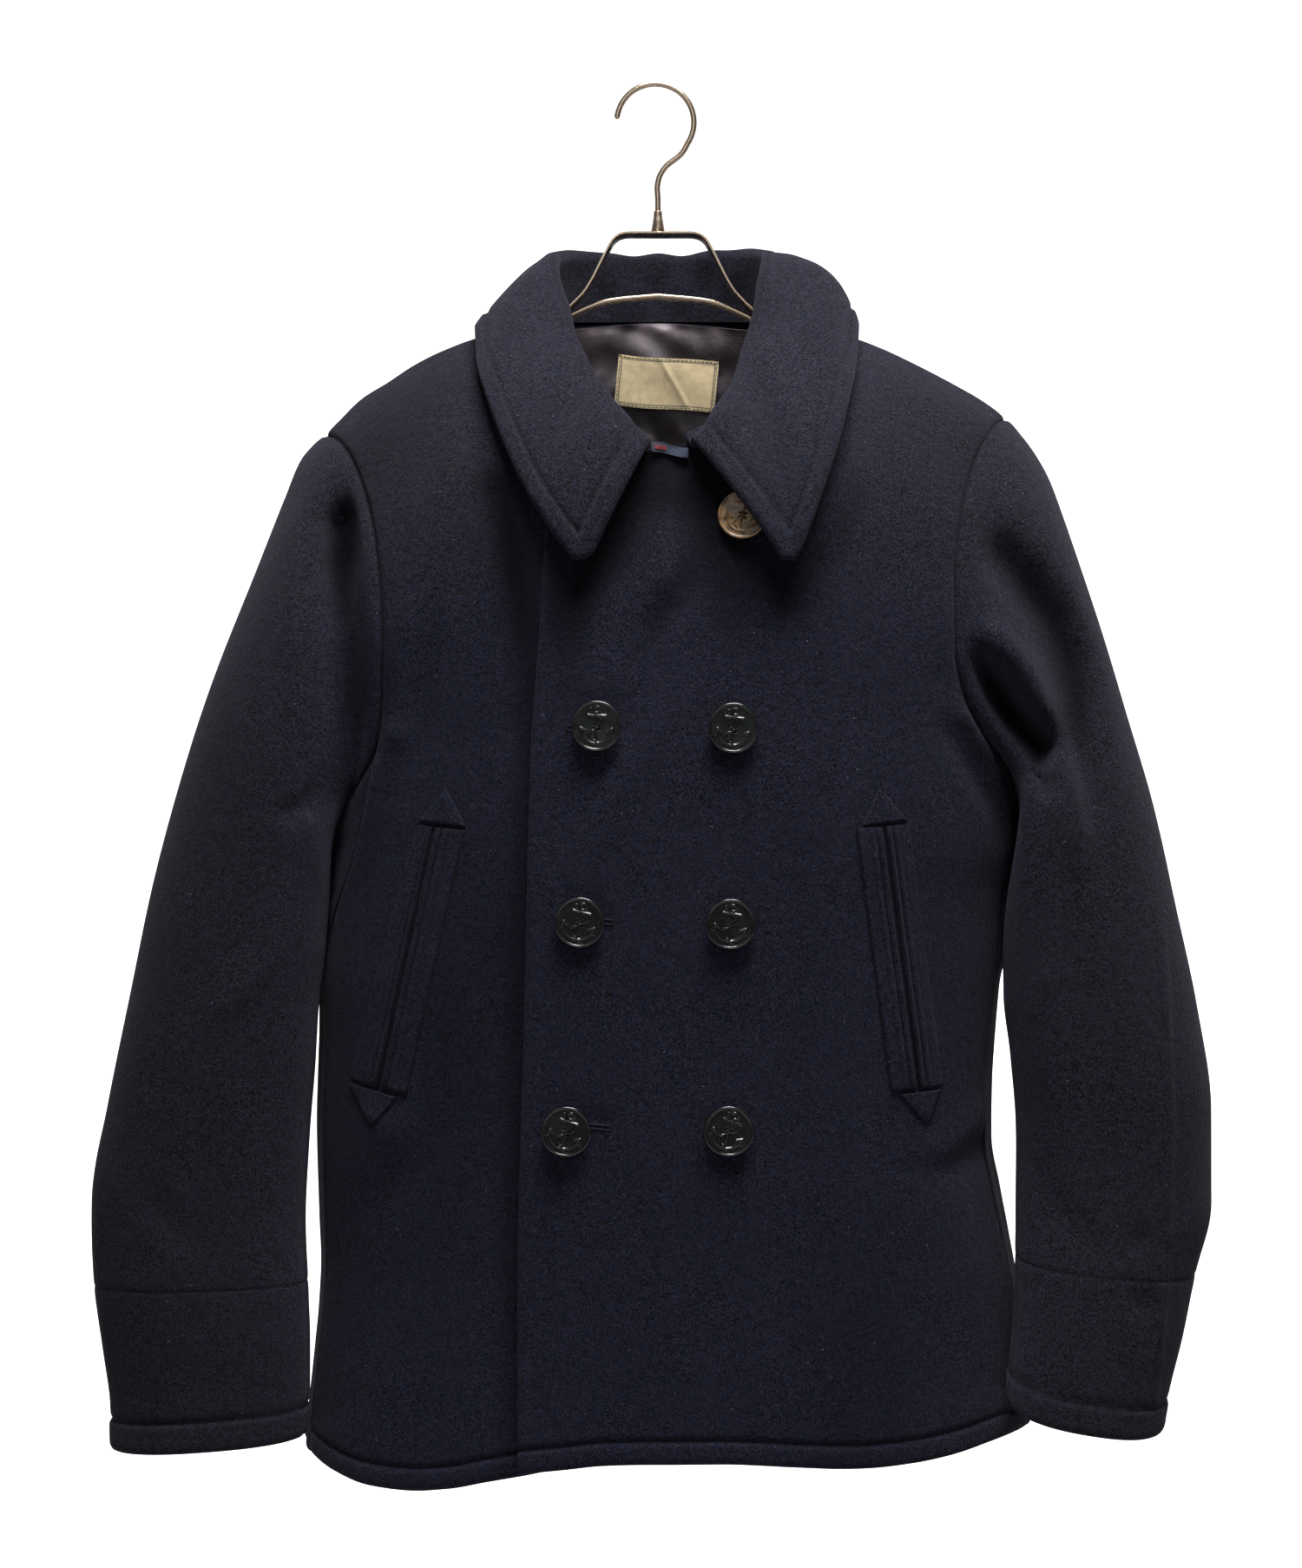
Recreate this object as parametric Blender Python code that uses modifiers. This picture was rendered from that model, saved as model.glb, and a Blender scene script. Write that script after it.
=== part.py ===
"""A double-breasted pea coat of heavy wool, hanging on a metal hanger.

Units in the tables are millimetres, +Z is up, the coat faces -Y and the wearer's
left is at +X. The origin is the inside top of the hanger's hook. Every cloth piece
is a wall of its own: a grid of outer points, a grid of inner points, and a rim.
"""

import math

import bmesh
import bpy
import numpy as np
from mathutils import Matrix

MM = 0.001

# Cloth
WALL = 3.0
COLLAR_WALL = 5.0
LINING_WALL = 0.8
SEAM_GAP = 0.34
LAY_GAP = 0.5
LAP_LIFT = WALL + 1.7

# Fronts
NECK_HALF_WIDTH = 76.0
NECK_CENTRE_Z = -233.0
NECK_POINT_Z = -146.0
NECK_FRONT_Y = -74.0
NECK_BACK_Y = 67.0
NECK_BACK_Z = -139.0
NECK_POINT_Y = 8.0
CHEST_Z = -411.0
LAP_REACH = 80.0
SEAM_T = 0.70
SECTION_POWER = 2.5
HEM_EDGE_Z = -835.0
SIDE_HEM_SHARE = 0.975
UPPER_ROWS = 7
LOWER_ROWS = 8
SIDE_COLUMNS = 4

# Buttons
BUTTON_RADIUS = 15.0
BUTTON_THICKNESS = 3.4
BUTTON_SHANK = 1.6

# Pockets
WELT_THICKNESS = 1.6
ARROW_THICKNESS = 1.4

# Hanger
HOOK_WIRE = 1.9
HOOK_RADIUS = 24.0
HOOK_CENTRE_X = -1.6
STRIP_WIDTH = 22.0
STRIP_Y = 3.0
BAR_WIDTH = 12.0
STRIP_THICKNESS = 2.2
BAR_THICKNESS = 3.2


class Table:
    """A short table with named columns, read between its rows along a smooth curve."""

    def __init__(self, names, rows):
        self.names = names.split()
        self.rows = np.array(rows, float)

    def column(self, name):
        return self.rows[:, self.names.index(name)]

    def at(self, name, where):
        return smooth_curve(where, self.rows[:, 0], self.column(name))


def smooth_curve(where, knots, values):
    """A curve through the values that never overshoots them."""
    order = np.argsort(knots)
    knots = np.asarray(knots, float)[order]
    values = np.asarray(values, float)[order]
    where = np.clip(np.asarray(where, float), knots[0], knots[-1])
    step = np.diff(knots)
    rise = np.diff(values) / step
    slope = np.empty_like(values)
    slope[0] = rise[0]
    slope[-1] = rise[-1]
    same = rise[:-1] * rise[1:] > 0
    mean = 2 * rise[:-1] * rise[1:] / np.where(same, rise[:-1] + rise[1:], 1)
    slope[1:-1] = np.where(same, mean, 0)
    i = np.clip(np.searchsorted(knots, where, side="right") - 1, 0, len(step) - 1)
    h = step[i]
    f = (where - knots[i]) / h
    a = (1 + 2 * f) * (1 - f) ** 2
    b = f * (1 - f) ** 2
    c = f * f * (3 - 2 * f)
    d = f * f * (f - 1)
    return a * values[i] + b * h * slope[i] + c * values[i + 1] + d * h * slope[i + 1]


def ease(value, low, high):
    """0 below low, 1 above high and a soft step between."""
    f = np.clip((np.asarray(value, float) - low) / (high - low), 0, 1)
    return f * f * (3 - 2 * f)


def unit(vectors):
    length = np.linalg.norm(vectors, axis=-1, keepdims=True)
    return vectors / np.maximum(length, 1e-9)


# The two sides of the coat, by the sign of X. The shoulder, underarm and armhole are
# given as distances from the middle; "t" runs from the shoulder point to the underarm.
SHOULDER = {
    -1: {"x": 208.0, "z": -216.0, "under_x": 204.0, "under_z": -456.0},
    1: {"x": 217.0, "z": -206.5, "under_x": 223.0, "under_z": -452.0},
}

ARMHOLE_FRONT = {
    -1: Table(
        "t x y",
        [
            (0.00, 208.0, 0),
            (0.14, 192.0, -28),
            (0.25, 180.5, -45),
            (0.35, 172.0, -58),
            (0.45, 167.5, -67),
            (0.55, 166.0, -71),
            (0.65, 167.0, -70),
            (0.72, 171.0, -66),
            (0.80, 182.0, -54),
            (0.90, 196.0, -28),
            (1.00, 204.0, 4),
        ],
    ),
    1: Table(
        "t x y",
        [
            (0.00, 217.0, 0),
            (0.14, 203.0, -28),
            (0.25, 191.0, -45),
            (0.35, 183.5, -58),
            (0.45, 179.0, -66),
            (0.56, 179.0, -70),
            (0.63, 184.0, -67),
            (0.70, 195.0, -59),
            (0.74, 206.0, -50),
            (0.79, 215.0, -39),
            (0.88, 221.0, -21),
            (1.00, 223.0, 4),
        ],
    ),
}

ARMHOLE_BACK = Table(
    "t inward y",
    [
        (0.00, 0, 0),
        (0.15, 13, 30),
        (0.30, 26, 51),
        (0.50, 33, 64),
        (0.65, 30, 62),
        (0.80, 17, 46),
        (0.90, 6, 27),
        (1.00, 0, 4),
    ],
)

# Half width of the coat at the side, and where the front's seam lies on it.
SIDE_WIDTH = {
    -1: Table(
        "z x",
        [
            (-380, 202.0),
            (-456, 204.0),
            (-526, 207.5),
            (-560, 210.0),
            (-594, 209.5),
            (-648, 210.5),
            (-702, 209.5),
            (-729, 208.5),
            (-756, 210.0),
            (-783, 213.0),
            (-810, 216.0),
            (-837, 218.5),
            (-870, 219.0),
        ],
    ),
    1: Table(
        "z x",
        [
            (-380, 222.0),
            (-452, 225.0),
            (-471, 224.0),
            (-500, 217.5),
            (-540, 214.0),
            (-585, 209.5),
            (-617, 207.0),
            (-654, 206.0),
            (-684, 211.0),
            (-714, 217.0),
            (-740, 222.0),
            (-790, 229.0),
            (-828, 232.0),
            (-870, 233.0),
        ],
    ),
}

FRONT_SEAM = {
    -1: Table(
        "z share",
        [
            (-400, 0.830),
            (-430, 0.864),
            (-460, 0.889),
            (-484, 0.916),
            (-505, 0.950),
            (-540, 0.972),
            (-870, 0.975),
        ],
    ),
    1: Table(
        "z share",
        [(-395, 0.862), (-425, 0.925), (-448, 0.965), (-480, 0.975), (-870, 0.975)],
    ),
}

BACK_SEAM = Table(
    "z share",
    [(-390, 0.870), (-430, 0.930), (-470, 0.965), (-520, 0.975), (-870, 0.975)],
)

DEPTH_FRONT = Table(
    "z y",
    [(-225, -73), (-270, -81), (-330, -87), (-430, -90), (-560, -88), (-700, -87), (-870, -93)],
)

DEPTH_BACK = Table(
    "z y",
    [(-135, 66), (-180, 75), (-250, 80), (-330, 82), (-450, 80), (-560, 76), (-700, 79), (-870, 87)],
)

SHOULDER_LINE = {
    -1: Table(
        "x z",
        [(76, -146), (112, -155), (137, -165), (153, -173.5), (169, -184), (185, -193.5), (208, -216)],
    ),
    1: Table(
        "x z",
        [(76, -146), (122, -155.5), (139, -162), (155, -169.5), (187, -186), (204, -196), (217, -206.5)],
    ),
}

HEM_UNDER = Table(
    "x z",
    [
        (-219, -840),
        (-211, -844.5),
        (-200, -850),
        (-175, -857),
        (-150, -858.5),
        (-126, -856),
        (-103, -851),
        (-84, -847.5),
        (-40, -840),
        (90, -838),
    ],
)

HEM_OVER = Table(
    "x z",
    [
        (-90, -846),
        (-56, -842.5),
        (-33, -840),
        (0, -839),
        (38, -839),
        (84, -841.5),
        (107, -842.5),
        (130, -843),
        (155, -841.5),
        (179, -838),
        (204, -832),
        (233, -826),
    ],
)

HEM_BACK = Table(
    "x z",
    [(-219, -840), (-185, -845), (-120, -847), (0, -847), (120, -844), (192, -836), (233, -826)],
)

LAP_EDGE = Table(
    "z x",
    [(-230, -66), (-300, -69.5), (-420, -76), (-580, -80), (-700, -83.5), (-760, -84), (-870, -83)],
)


def armhole_height(side, t):
    top = SHOULDER[side]["z"]
    low = SHOULDER[side]["under_z"]
    return top + (low - top) * (1 - np.cos(math.pi * np.asarray(t, float))) / 2


def section_share(share):
    """Depth share of a rounded-oblong section at this share of its half width."""
    inside = np.clip(1 - np.clip(np.abs(share), 0, 1) ** SECTION_POWER, 0, 1)
    return inside ** (1 / SECTION_POWER)


def side_width(side, z):
    return SIDE_WIDTH[side].at("x", z)


def seam_share(face, side, z):
    if face < 0:
        return FRONT_SEAM[side].at("share", z)
    return BACK_SEAM.at("share", z)


def depth(face, z):
    table = DEPTH_FRONT if face < 0 else DEPTH_BACK
    return table.at("y", z)


def armhole_raw(face, side, t):
    """X distance and Y of the armhole, before its lower end is set on the side seam."""
    if face < 0:
        table = ARMHOLE_FRONT[side]
        return table.at("x", t), table.at("y", t)
    top = SHOULDER[side]["x"]
    low = SHOULDER[side]["under_x"]
    t = np.asarray(t, float)
    return top + (low - top) * t - ARMHOLE_BACK.at("inward", t), ARMHOLE_BACK.at("y", t)


def armhole(face, side, t):
    """Points of the armhole: it passes through the panel's seam at SEAM_T."""
    t = np.asarray(t, float)
    x, y = armhole_raw(face, side, t)
    z = armhole_height(side, t)
    z_seam = armhole_height(side, SEAM_T)
    x_seam, y_seam = armhole_raw(face, side, SEAM_T)
    wide = side_width(side, z_seam)
    share = seam_share(face, side, z_seam)
    near = np.exp(-(((t - SEAM_T) / 0.16) ** 2))
    x = x + near * (wide * share - x_seam)
    y = y + near * (depth(face, z_seam) * section_share(share) - y_seam)
    return np.stack([side * x, y, z], -1)


def top_line(face, side, x):
    """Y and Z of the shoulder seam, and inside the neck points of the neckline."""
    x = np.abs(np.asarray(x, float))
    along = np.sqrt(np.clip(1 - (x / NECK_HALF_WIDTH) ** 2, 0, 1))
    shoulder_z = SHOULDER_LINE[side].at("z", x)
    out = np.clip((x - NECK_HALF_WIDTH) / (SHOULDER[side]["x"] - NECK_HALF_WIDTH), 0, 1)
    shoulder_y = NECK_POINT_Y * (1 - out)
    if face < 0:
        y = NECK_POINT_Y + (NECK_FRONT_Y - NECK_POINT_Y) * along
        z = NECK_POINT_Z + (NECK_CENTRE_Z - NECK_POINT_Z) * along**1.3
    else:
        y = NECK_POINT_Y + (NECK_BACK_Y - NECK_POINT_Y) * along
        z = NECK_POINT_Z + (NECK_BACK_Z - NECK_POINT_Z) * along
    inside = x < NECK_HALF_WIDTH
    return np.where(inside, y, shoulder_y), np.where(inside, z, shoulder_z)


def hem_height(face, side, x, over):
    if face > 0:
        return HEM_BACK.at("z", x)
    if over:
        return HEM_OVER.at("z", x)
    return HEM_UNDER.at("z", x)


def panel(face, side, share, row, over=False):
    """A point of the front (face -1) or back (face 1) of the coat.

    share is the distance from the middle over that of the panel's edge. row runs from
    0 at the shoulder and neck to 1 at the chest and from there to 2 at the hem.
    """
    share, row = np.broadcast_arrays(np.asarray(share, float), np.asarray(row, float))
    upper = np.clip(row, 0, 1)
    lower = np.clip(row - 1, 0, 1)

    edge = armhole(face, side, SEAM_T * upper)
    edge_seam = armhole(face, side, SEAM_T)
    drop = upper**1.45
    reach = np.sin(math.pi / 2 * np.clip(upper / 0.62, 0, 1))
    shoulder_x = SHOULDER[side]["x"]
    top_y, top_z = top_line(face, side, share * shoulder_x)
    chest_z = CHEST_Z + (edge_seam[..., 2] - CHEST_Z) * share**2
    neck_z = NECK_CENTRE_Z if face < 0 else NECK_BACK_Z
    middle_z = neck_z + (CHEST_Z - neck_z) * drop
    far = depth(face, middle_z)
    edge_x = np.abs(edge[..., 0])
    edge_share = np.clip(edge[..., 1] / np.where(reach < 1e-6, 1, reach * far), 0, 0.97)
    wide = edge_x / section_share_inverse(edge_share)
    x_up = share * edge_x
    y_up = (1 - reach) * top_y + reach * far * section_share(x_up / wide)
    lift = edge[..., 2] - ((1 - drop) * SHOULDER[side]["z"] + drop * edge_seam[..., 2])
    z_up = (1 - drop) * top_z + drop * chest_z + lift * share**3

    edge_low = edge_seam[..., 2] + (hem_edge(face, side) - edge_seam[..., 2]) * lower
    width_low = side_width(side, edge_low) * seam_share(face, side, edge_low)
    x_low = share * width_low
    hem_width = SIDE_HEM_SHARE * side_width(side, HEM_EDGE_Z)
    hem = hem_height(face, side, side * share * hem_width, over)
    z_low = chest_z + (hem - chest_z) * lower
    y_low = depth(face, z_low) * section_share(x_low / side_width(side, z_low))

    low = row > 1
    x = np.where(low, x_low, x_up)
    y = np.where(low, y_low, y_up)
    z = np.where(low, z_low, z_up)
    return np.stack([side * x, y, z], -1)


def section_share_inverse(depth_share):
    """Width share of the section where it has this share of its depth."""
    return np.clip(1 - depth_share**SECTION_POWER, 1e-6, 1) ** (1 / SECTION_POWER)


def hem_edge(face, side):
    """Height of the hem at the panel's side seam."""
    x = side * SIDE_HEM_SHARE * side_width(side, HEM_EDGE_Z)
    return float(hem_height(face, side, x, side > 0))


def edge_width(face, side, row):
    """Distance of the panel's edge from the middle at each row."""
    return np.abs(panel(face, side, 1.0, row, side > 0)[..., 0])


def row_at_height(face, side, x, z, over):
    """Row number of the panel where it reaches height z at distance x."""
    rows = np.linspace(0, 2, 161)
    widths = edge_width(face, side, rows)
    points = panel(face, side, np.clip(abs(x) / widths, 0, 1), rows, over)
    return float(np.interp(-z, -points[:, 2], rows))


def grid_normals(points, outward, wrap=False):
    """Unit normals of a grid of points, turned to the side that outward points to."""
    if wrap:
        padded = np.concatenate([points[-1:], points, points[:1]])
        along = padded[2:] - padded[:-2]
    else:
        along = np.gradient(points, axis=0)
    across = np.gradient(points, axis=1)
    normals = unit(np.cross(along, across))
    if np.sum(normals * outward) < 0:
        normals = -normals
    return normals


def lap_top(x):
    """Height of the upper edge of a front where it runs on past the middle."""
    return NECK_CENTRE_Z - 4.0 * ease(abs(x), 0, 25) - 0.12 * abs(x)


def lap_lift(x, z):
    """How far the over front stands off its panel to clear the front below it."""
    return LAP_LIFT * (1 - ease(x, 98, 140)) * (1 - ease(z, -218, -172))


def shoulder_shares(side):
    """Column positions from the panel's edge to the middle, as shares of the width."""
    neck = NECK_HALF_WIDTH / SHOULDER[side]["x"]
    out = list(1 - (1 - neck) * np.linspace(0, 1, 6))
    inside = list(neck * np.cos(np.radians([15, 30, 45, 60, 75, 90])))
    inside[-1] = 0.0
    return out + inside


def front_grid(side):
    """Outer points of one front: rows down, columns from its seam to its free edge."""
    over = side > 0
    rows = np.concatenate(
        [np.linspace(0, 1, UPPER_ROWS + 1), 1 + np.linspace(0, 1, LOWER_ROWS + 1)[1:]]
    )
    columns = []
    for share in shoulder_shares(side):
        columns.append(panel(-1, side, share, rows, over))
    reach = [0.36, 0.68, 1.0] if not over else [0.3, 0.6, 0.85, 1.0]
    for part in reach:
        if over:
            edge_x = -LAP_EDGE.at("x", panel(-1, side, 0.0, rows, over)[:, 2]) * part
        else:
            edge_x = np.full(len(rows), LAP_REACH * part)
        start = row_at_height(-1, -side, edge_x[0], lap_top(edge_x[0]), over)
        down = start + (rows[: UPPER_ROWS + 1] / 1.0) * (1 - start)
        line = np.concatenate([down, rows[UPPER_ROWS + 1 :]])
        widths = edge_width(-1, -side, line)
        columns.append(panel(-1, -side, edge_x / widths, line, over))
    return np.stack(columns, 0)


def back_grid():
    """Outer points of the back, from the left seam to the right seam."""
    rows = np.concatenate(
        [np.linspace(0, 1, UPPER_ROWS + 1), 1 + np.linspace(0, 1, LOWER_ROWS + 1)[1:]]
    )
    left = [panel(1, -1, share, rows) for share in shoulder_shares(-1)]
    right = [panel(1, 1, share, rows) for share in shoulder_shares(1)[:-1]]
    return np.stack(left + right[::-1], 0)


def side_grid(side):
    """Outer points of a side body, from the front's seam round to the back's."""
    count = SIDE_COLUMNS
    part = np.linspace(-1, 1, count + 1)
    t = 1 - (1 - SEAM_T) * np.abs(part)
    front_top = armhole(-1, side, t)
    back_top = armhole(1, side, t)
    top = np.where((part < 0)[:, None], front_top, back_top)
    hems = np.where(part < 0, hem_edge(-1, side), hem_edge(1, side))
    hems[count // 2] = (hem_edge(-1, side) + hem_edge(1, side)) / 2
    fall = np.linspace(0, 1, LOWER_ROWS + 1)
    z = top[:, None, 2] + (hems[:, None] - top[:, None, 2]) * fall[None, :]
    front = part[:, None] < 0
    share = np.where(front, seam_share(-1, side, z), seam_share(1, side, z))
    y_seam = np.where(front, depth(-1, z), depth(1, z)) * section_share(share)
    y = y_seam * np.abs(part[:, None]) ** 1.1
    full = np.where(front, depth(-1, z), depth(1, z))
    x = side * side_width(side, z) * section_share(np.abs(y / full))
    points = np.stack([x, y, z], -1)
    miss = top - points[:, 0]
    fade = (1 - fall) ** 5
    return points + miss[:, None, :] * fade[None, :, None]


# Sleeves: outer edge, inner edge, half depth and forward shift of each ring. The ring
# number runs from the armhole, 0, through the cuff seam, 12, to the sleeve's end, 15.
SLEEVE = {
    -1: Table(
        "ring ox oz ix iz half shift lean dip",
        [
            (0, 208.0, -216.0, 204.0, -456.0, 71, 0, 0, 0),
            (1, 222.0, -230.0, 205.6, -463.0, 70, 0, 4, 0),
            (2, 233.0, -256.0, 206.6, -471.0, 69, 0, 8, 0),
            (3, 243.9, -284.1, 207.1, -480.0, 68, -1, 11, 0),
            (4, 253.8, -310.1, 207.4, -489.9, 67, -2, 13, 0),
            (5, 270.5, -355.1, 207.8, -504.9, 66, -4, 14, 0),
            (6, 289.1, -410.1, 208.1, -521.7, 63, -7, 13, 0),
            (7, 303.6, -460.9, 209.1, -541.5, 60, -10, 12, 0),
            (8, 317.1, -514.5, 211.3, -567.2, 57, -13, 10, 0),
            (9, 328.1, -571.0, 212.8, -602.8, 54, -16, 8, 0),
            (10, 339.1, -630.3, 216.2, -648.1, 50, -19, 6, 0),
            (11, 347.9, -689.3, 216.8, -694.3, 46, -23, 5, 0),
            (12, 345.8, -740.2, 215.2, -737.2, 43, -27, 4, 1),
            (13, 340.3, -777.3, 213.3, -773.3, 41, -30, 3, 1.5),
            (14, 335.1, -810.4, 213.9, -805.5, 39, -32, 3, 2),
            (15, 333.8, -838.6, 215.7, -829.8, 38, -34, 3, 2),
        ],
    ),
    1: Table(
        "ring ox oz ix iz half shift lean dip",
        [
            (0, 217.0, -206.5, 223.0, -452.0, 70, 0, 0, 0),
            (1, 231.0, -223.0, 226.4, -460.0, 69, 0, 3, 0),
            (2, 243.0, -243.0, 227.4, -468.0, 68, 0, 6, 0),
            (3, 251.9, -266.1, 226.9, -477.0, 67, -1, 8, 0),
            (4, 260.6, -292.2, 223.8, -487.9, 66, -3, 10, 0),
            (5, 273.2, -332.3, 219.6, -502.8, 65, -6, 11, 0),
            (6, 288.8, -385.2, 216.6, -519.6, 63, -9, 11, 0),
            (7, 306.2, -444.9, 214.9, -539.4, 60, -13, 10, 0),
            (8, 319.5, -507.4, 214.6, -565.0, 57, -17, 8, 0),
            (9, 331.6, -568.6, 218.3, -599.3, 54, -22, 7, 0),
            (10, 339.1, -631.5, 220.6, -642.3, 50, -28, 5, 1),
            (11, 339.0, -687.9, 219.9, -685.9, 46, -35, 4, 3),
            (12, 328.0, -730.2, 218.7, -719.4, 43, -42, 3, 5),
            (13, 318.7, -768.4, 216.0, -757.6, 41, -49, 2, 6.5),
            (14, 310.1, -798.8, 212.6, -788.1, 39, -54, 2, 7.5),
            (15, 305.3, -821.7, 211.8, -806.1, 38, -57, 2, 8),
        ],
    ),
}

# Folds pressed into the fronts of the sleeves. Each has its points in X and Z, its
# width and the depth of its trough at each point; a ridge has a negative depth.
SLEEVE_FOLDS = {
    -1: [
        (13.0, [(193, -258, 9), (194, -282, 23), (193, -320, 19), (192, -365, 16), (192, -410, 12)]),
    ],
    1: [
        (14.0, [(204, -276, 6), (231, -305, 9), (246, -335, 9), (249, -372, 8), (247, -400, 3)]),
        (8.0, [(196, -338, -4), (217, -348, -6), (233, -363, -6), (245, -388, -3)]),
        (11.0, [(196, -354, 10), (209, -377, 18), (219, -400, 18), (228, -428, 10)]),
    ],
}


def fold_depth(points, width, line):
    """Depth of one fold at these points, by their distance from its line in X and Z."""
    line = np.array(line, float)
    best = np.full(points.shape[:-1], 1e9)
    amount = np.zeros(points.shape[:-1])
    flat = points[..., [0, 2]]
    for start, end in zip(line[:-1], line[1:]):
        run = end[:2] - start[:2]
        f = np.clip(np.sum((flat - start[:2]) * run, -1) / np.dot(run, run), 0, 1)
        gap = np.linalg.norm(flat - (start[:2] + f[..., None] * run), axis=-1)
        near = gap < best
        best = np.where(near, gap, best)
        amount = np.where(near, start[2] + (end[2] - start[2]) * f, amount)
    return amount * np.exp(-((best / width) ** 2))


def sleeve_ring_angles(side, count_upper):
    """Angles round a ring that meet the armhole's own points, front first."""
    front = SEAM_T * np.linspace(0, 1, count_upper + 1)
    part = np.linspace(-1, 1, SIDE_COLUMNS + 1)[1:-1]
    under = 1 - (1 - SEAM_T) * np.abs(part)
    down = list(front * math.pi)
    for t, p in zip(under, part):
        down.append(t * math.pi if p <= 0 else 2 * math.pi - t * math.pi)
    back = list(2 * math.pi - front[::-1] * math.pi)[:-1]
    return np.array(down + back)


def armhole_loop(side, count_upper):
    """The armhole's points in the same order as the ring's angles."""
    front = armhole(-1, side, SEAM_T * np.linspace(0, 1, count_upper + 1))
    under = side_grid(side)[1:-1, 0]
    back = armhole(1, side, SEAM_T * np.linspace(0, 1, count_upper + 1))[::-1][:-1]
    return np.concatenate([front, under, back])


def sleeve_base(side, ring, angle):
    """A point of the sleeve before it is drawn to the armhole and folded."""
    ring, angle = np.broadcast_arrays(np.asarray(ring, float), np.asarray(angle, float))
    table = SLEEVE[side]
    ox, oz = table.at("ox", ring), table.at("oz", ring)
    ix, iz = table.at("ix", ring), table.at("iz", ring)
    half, shift = table.at("half", ring), table.at("shift", ring)
    lean = table.at("lean", ring)
    power = 2 / 2.35
    c = np.sign(np.cos(angle)) * np.abs(np.cos(angle)) ** power
    s = np.sign(np.sin(angle)) * np.abs(np.sin(angle)) ** power
    x = (ox + ix) / 2 + (ox - ix) / 2 * c - lean * s * (1 - 0.4 * c)
    z = (oz + iz) / 2 + (oz - iz) / 2 * c - table.at("dip", ring) * s
    y = shift - half * s
    return np.stack([side * x, y, z], -1)


def sleeve_grid(side, rings):
    """Outer points of the sleeve, round each ring and then down the rings."""
    angles = sleeve_ring_angles(side, UPPER_ROWS)
    base = sleeve_base(side, rings[None, :], angles[:, None])
    start = sleeve_base(side, 0.0, angles)
    pull = (1 - np.clip(rings / 5, 0, 1)) ** 2
    points = base + (armhole_loop(side, UPPER_ROWS) - start)[:, None, :] * pull[None, :, None]
    mirrored = points * np.array([side, 1, 1])
    clear = ease(rings, 0.0, 1.2)[None, :]
    facing = ease(np.sin(angles), 0.0, 0.35)[:, None]
    for width, line in SLEEVE_FOLDS[side]:
        points[..., 1] += fold_depth(mirrored, width, line) * clear * facing
    return points


def thicken(outer, normals, wall):
    return outer - normals * wall


def wall_faces(count_i, count_j, wrap):
    """Quads of a closed wall: outer grid, inner grid and the rim between them."""
    size = count_i * count_j
    faces = []
    last_i = count_i if wrap else count_i - 1
    for i in range(last_i):
        k = (i + 1) % count_i
        for j in range(count_j - 1):
            a, b = i * count_j + j, k * count_j + j
            faces.append((a, b, b + 1, a + 1))
            faces.append((size + a, size + a + 1, size + b + 1, size + b))
    for i in range(last_i):
        k = (i + 1) % count_i
        a, b = i * count_j, k * count_j
        faces.append((a, size + a, size + b, b))
        a, b = a + count_j - 1, b + count_j - 1
        faces.append((a, b, size + b, size + a))
    if not wrap:
        for j in range(count_j - 1):
            faces.append((j, j + 1, size + j + 1, size + j))
            a = (count_i - 1) * count_j + j
            faces.append((a, size + a, size + a + 1, a + 1))
    return faces


def link(obj, material):
    obj.data.materials.append(material)
    COAT.objects.link(obj)
    return obj


def make_wall(name, outer, inner, material, wrap=False, sharp=40.0):
    """A closed wall between two grids of points, its faces turned outward."""
    count_i, count_j = outer.shape[:2]
    points = np.concatenate([outer.reshape(-1, 3), inner.reshape(-1, 3)]) * MM
    mesh = bpy.data.meshes.new(name)
    mesh.from_pydata(points.tolist(), [], wall_faces(count_i, count_j, wrap))
    bm = bmesh.new()
    bm.from_mesh(mesh)
    bmesh.ops.triangulate(bm, faces=bm.faces, quad_method="SHORT_EDGE")
    bmesh.ops.recalc_face_normals(bm, faces=bm.faces)
    if bm.calc_volume(signed=True) < 0:
        bmesh.ops.reverse_faces(bm, faces=bm.faces)
    bm.to_mesh(mesh)
    bm.free()
    mesh.shade_smooth()
    mesh.set_sharp_from_angle(angle=math.radians(sharp))
    return link(bpy.data.objects.new(name, mesh), material)


def make_material(name, colour, roughness, metallic=0.0):
    material = bpy.data.materials.new(name)
    material.use_nodes = True
    shader = material.node_tree.nodes["Principled BSDF"]
    shader.inputs["Base Color"].default_value = (*colour, 1.0)
    shader.inputs["Roughness"].default_value = roughness
    shader.inputs["Metallic"].default_value = metallic
    return material


def draw_back(grid, edge):
    """Move one edge of a grid of points back by half of the seam's gap."""
    if edge == "first":
        step = unit(grid[1] - grid[0])
        grid[0] += step * SEAM_GAP / 2
    elif edge == "last":
        step = unit(grid[-2] - grid[-1])
        grid[-1] += step * SEAM_GAP / 2
    elif edge == "top":
        step = unit(grid[:, 1] - grid[:, 0])
        grid[:, 0] += step * SEAM_GAP / 2


def share_normals(first, second):
    """Give two meeting edges the same normals, longer where the cloth turns there."""
    both = unit(first + second)
    turn = np.clip(np.sum(both * first, -1, keepdims=True), 0.75, 1)
    return both / turn


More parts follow.
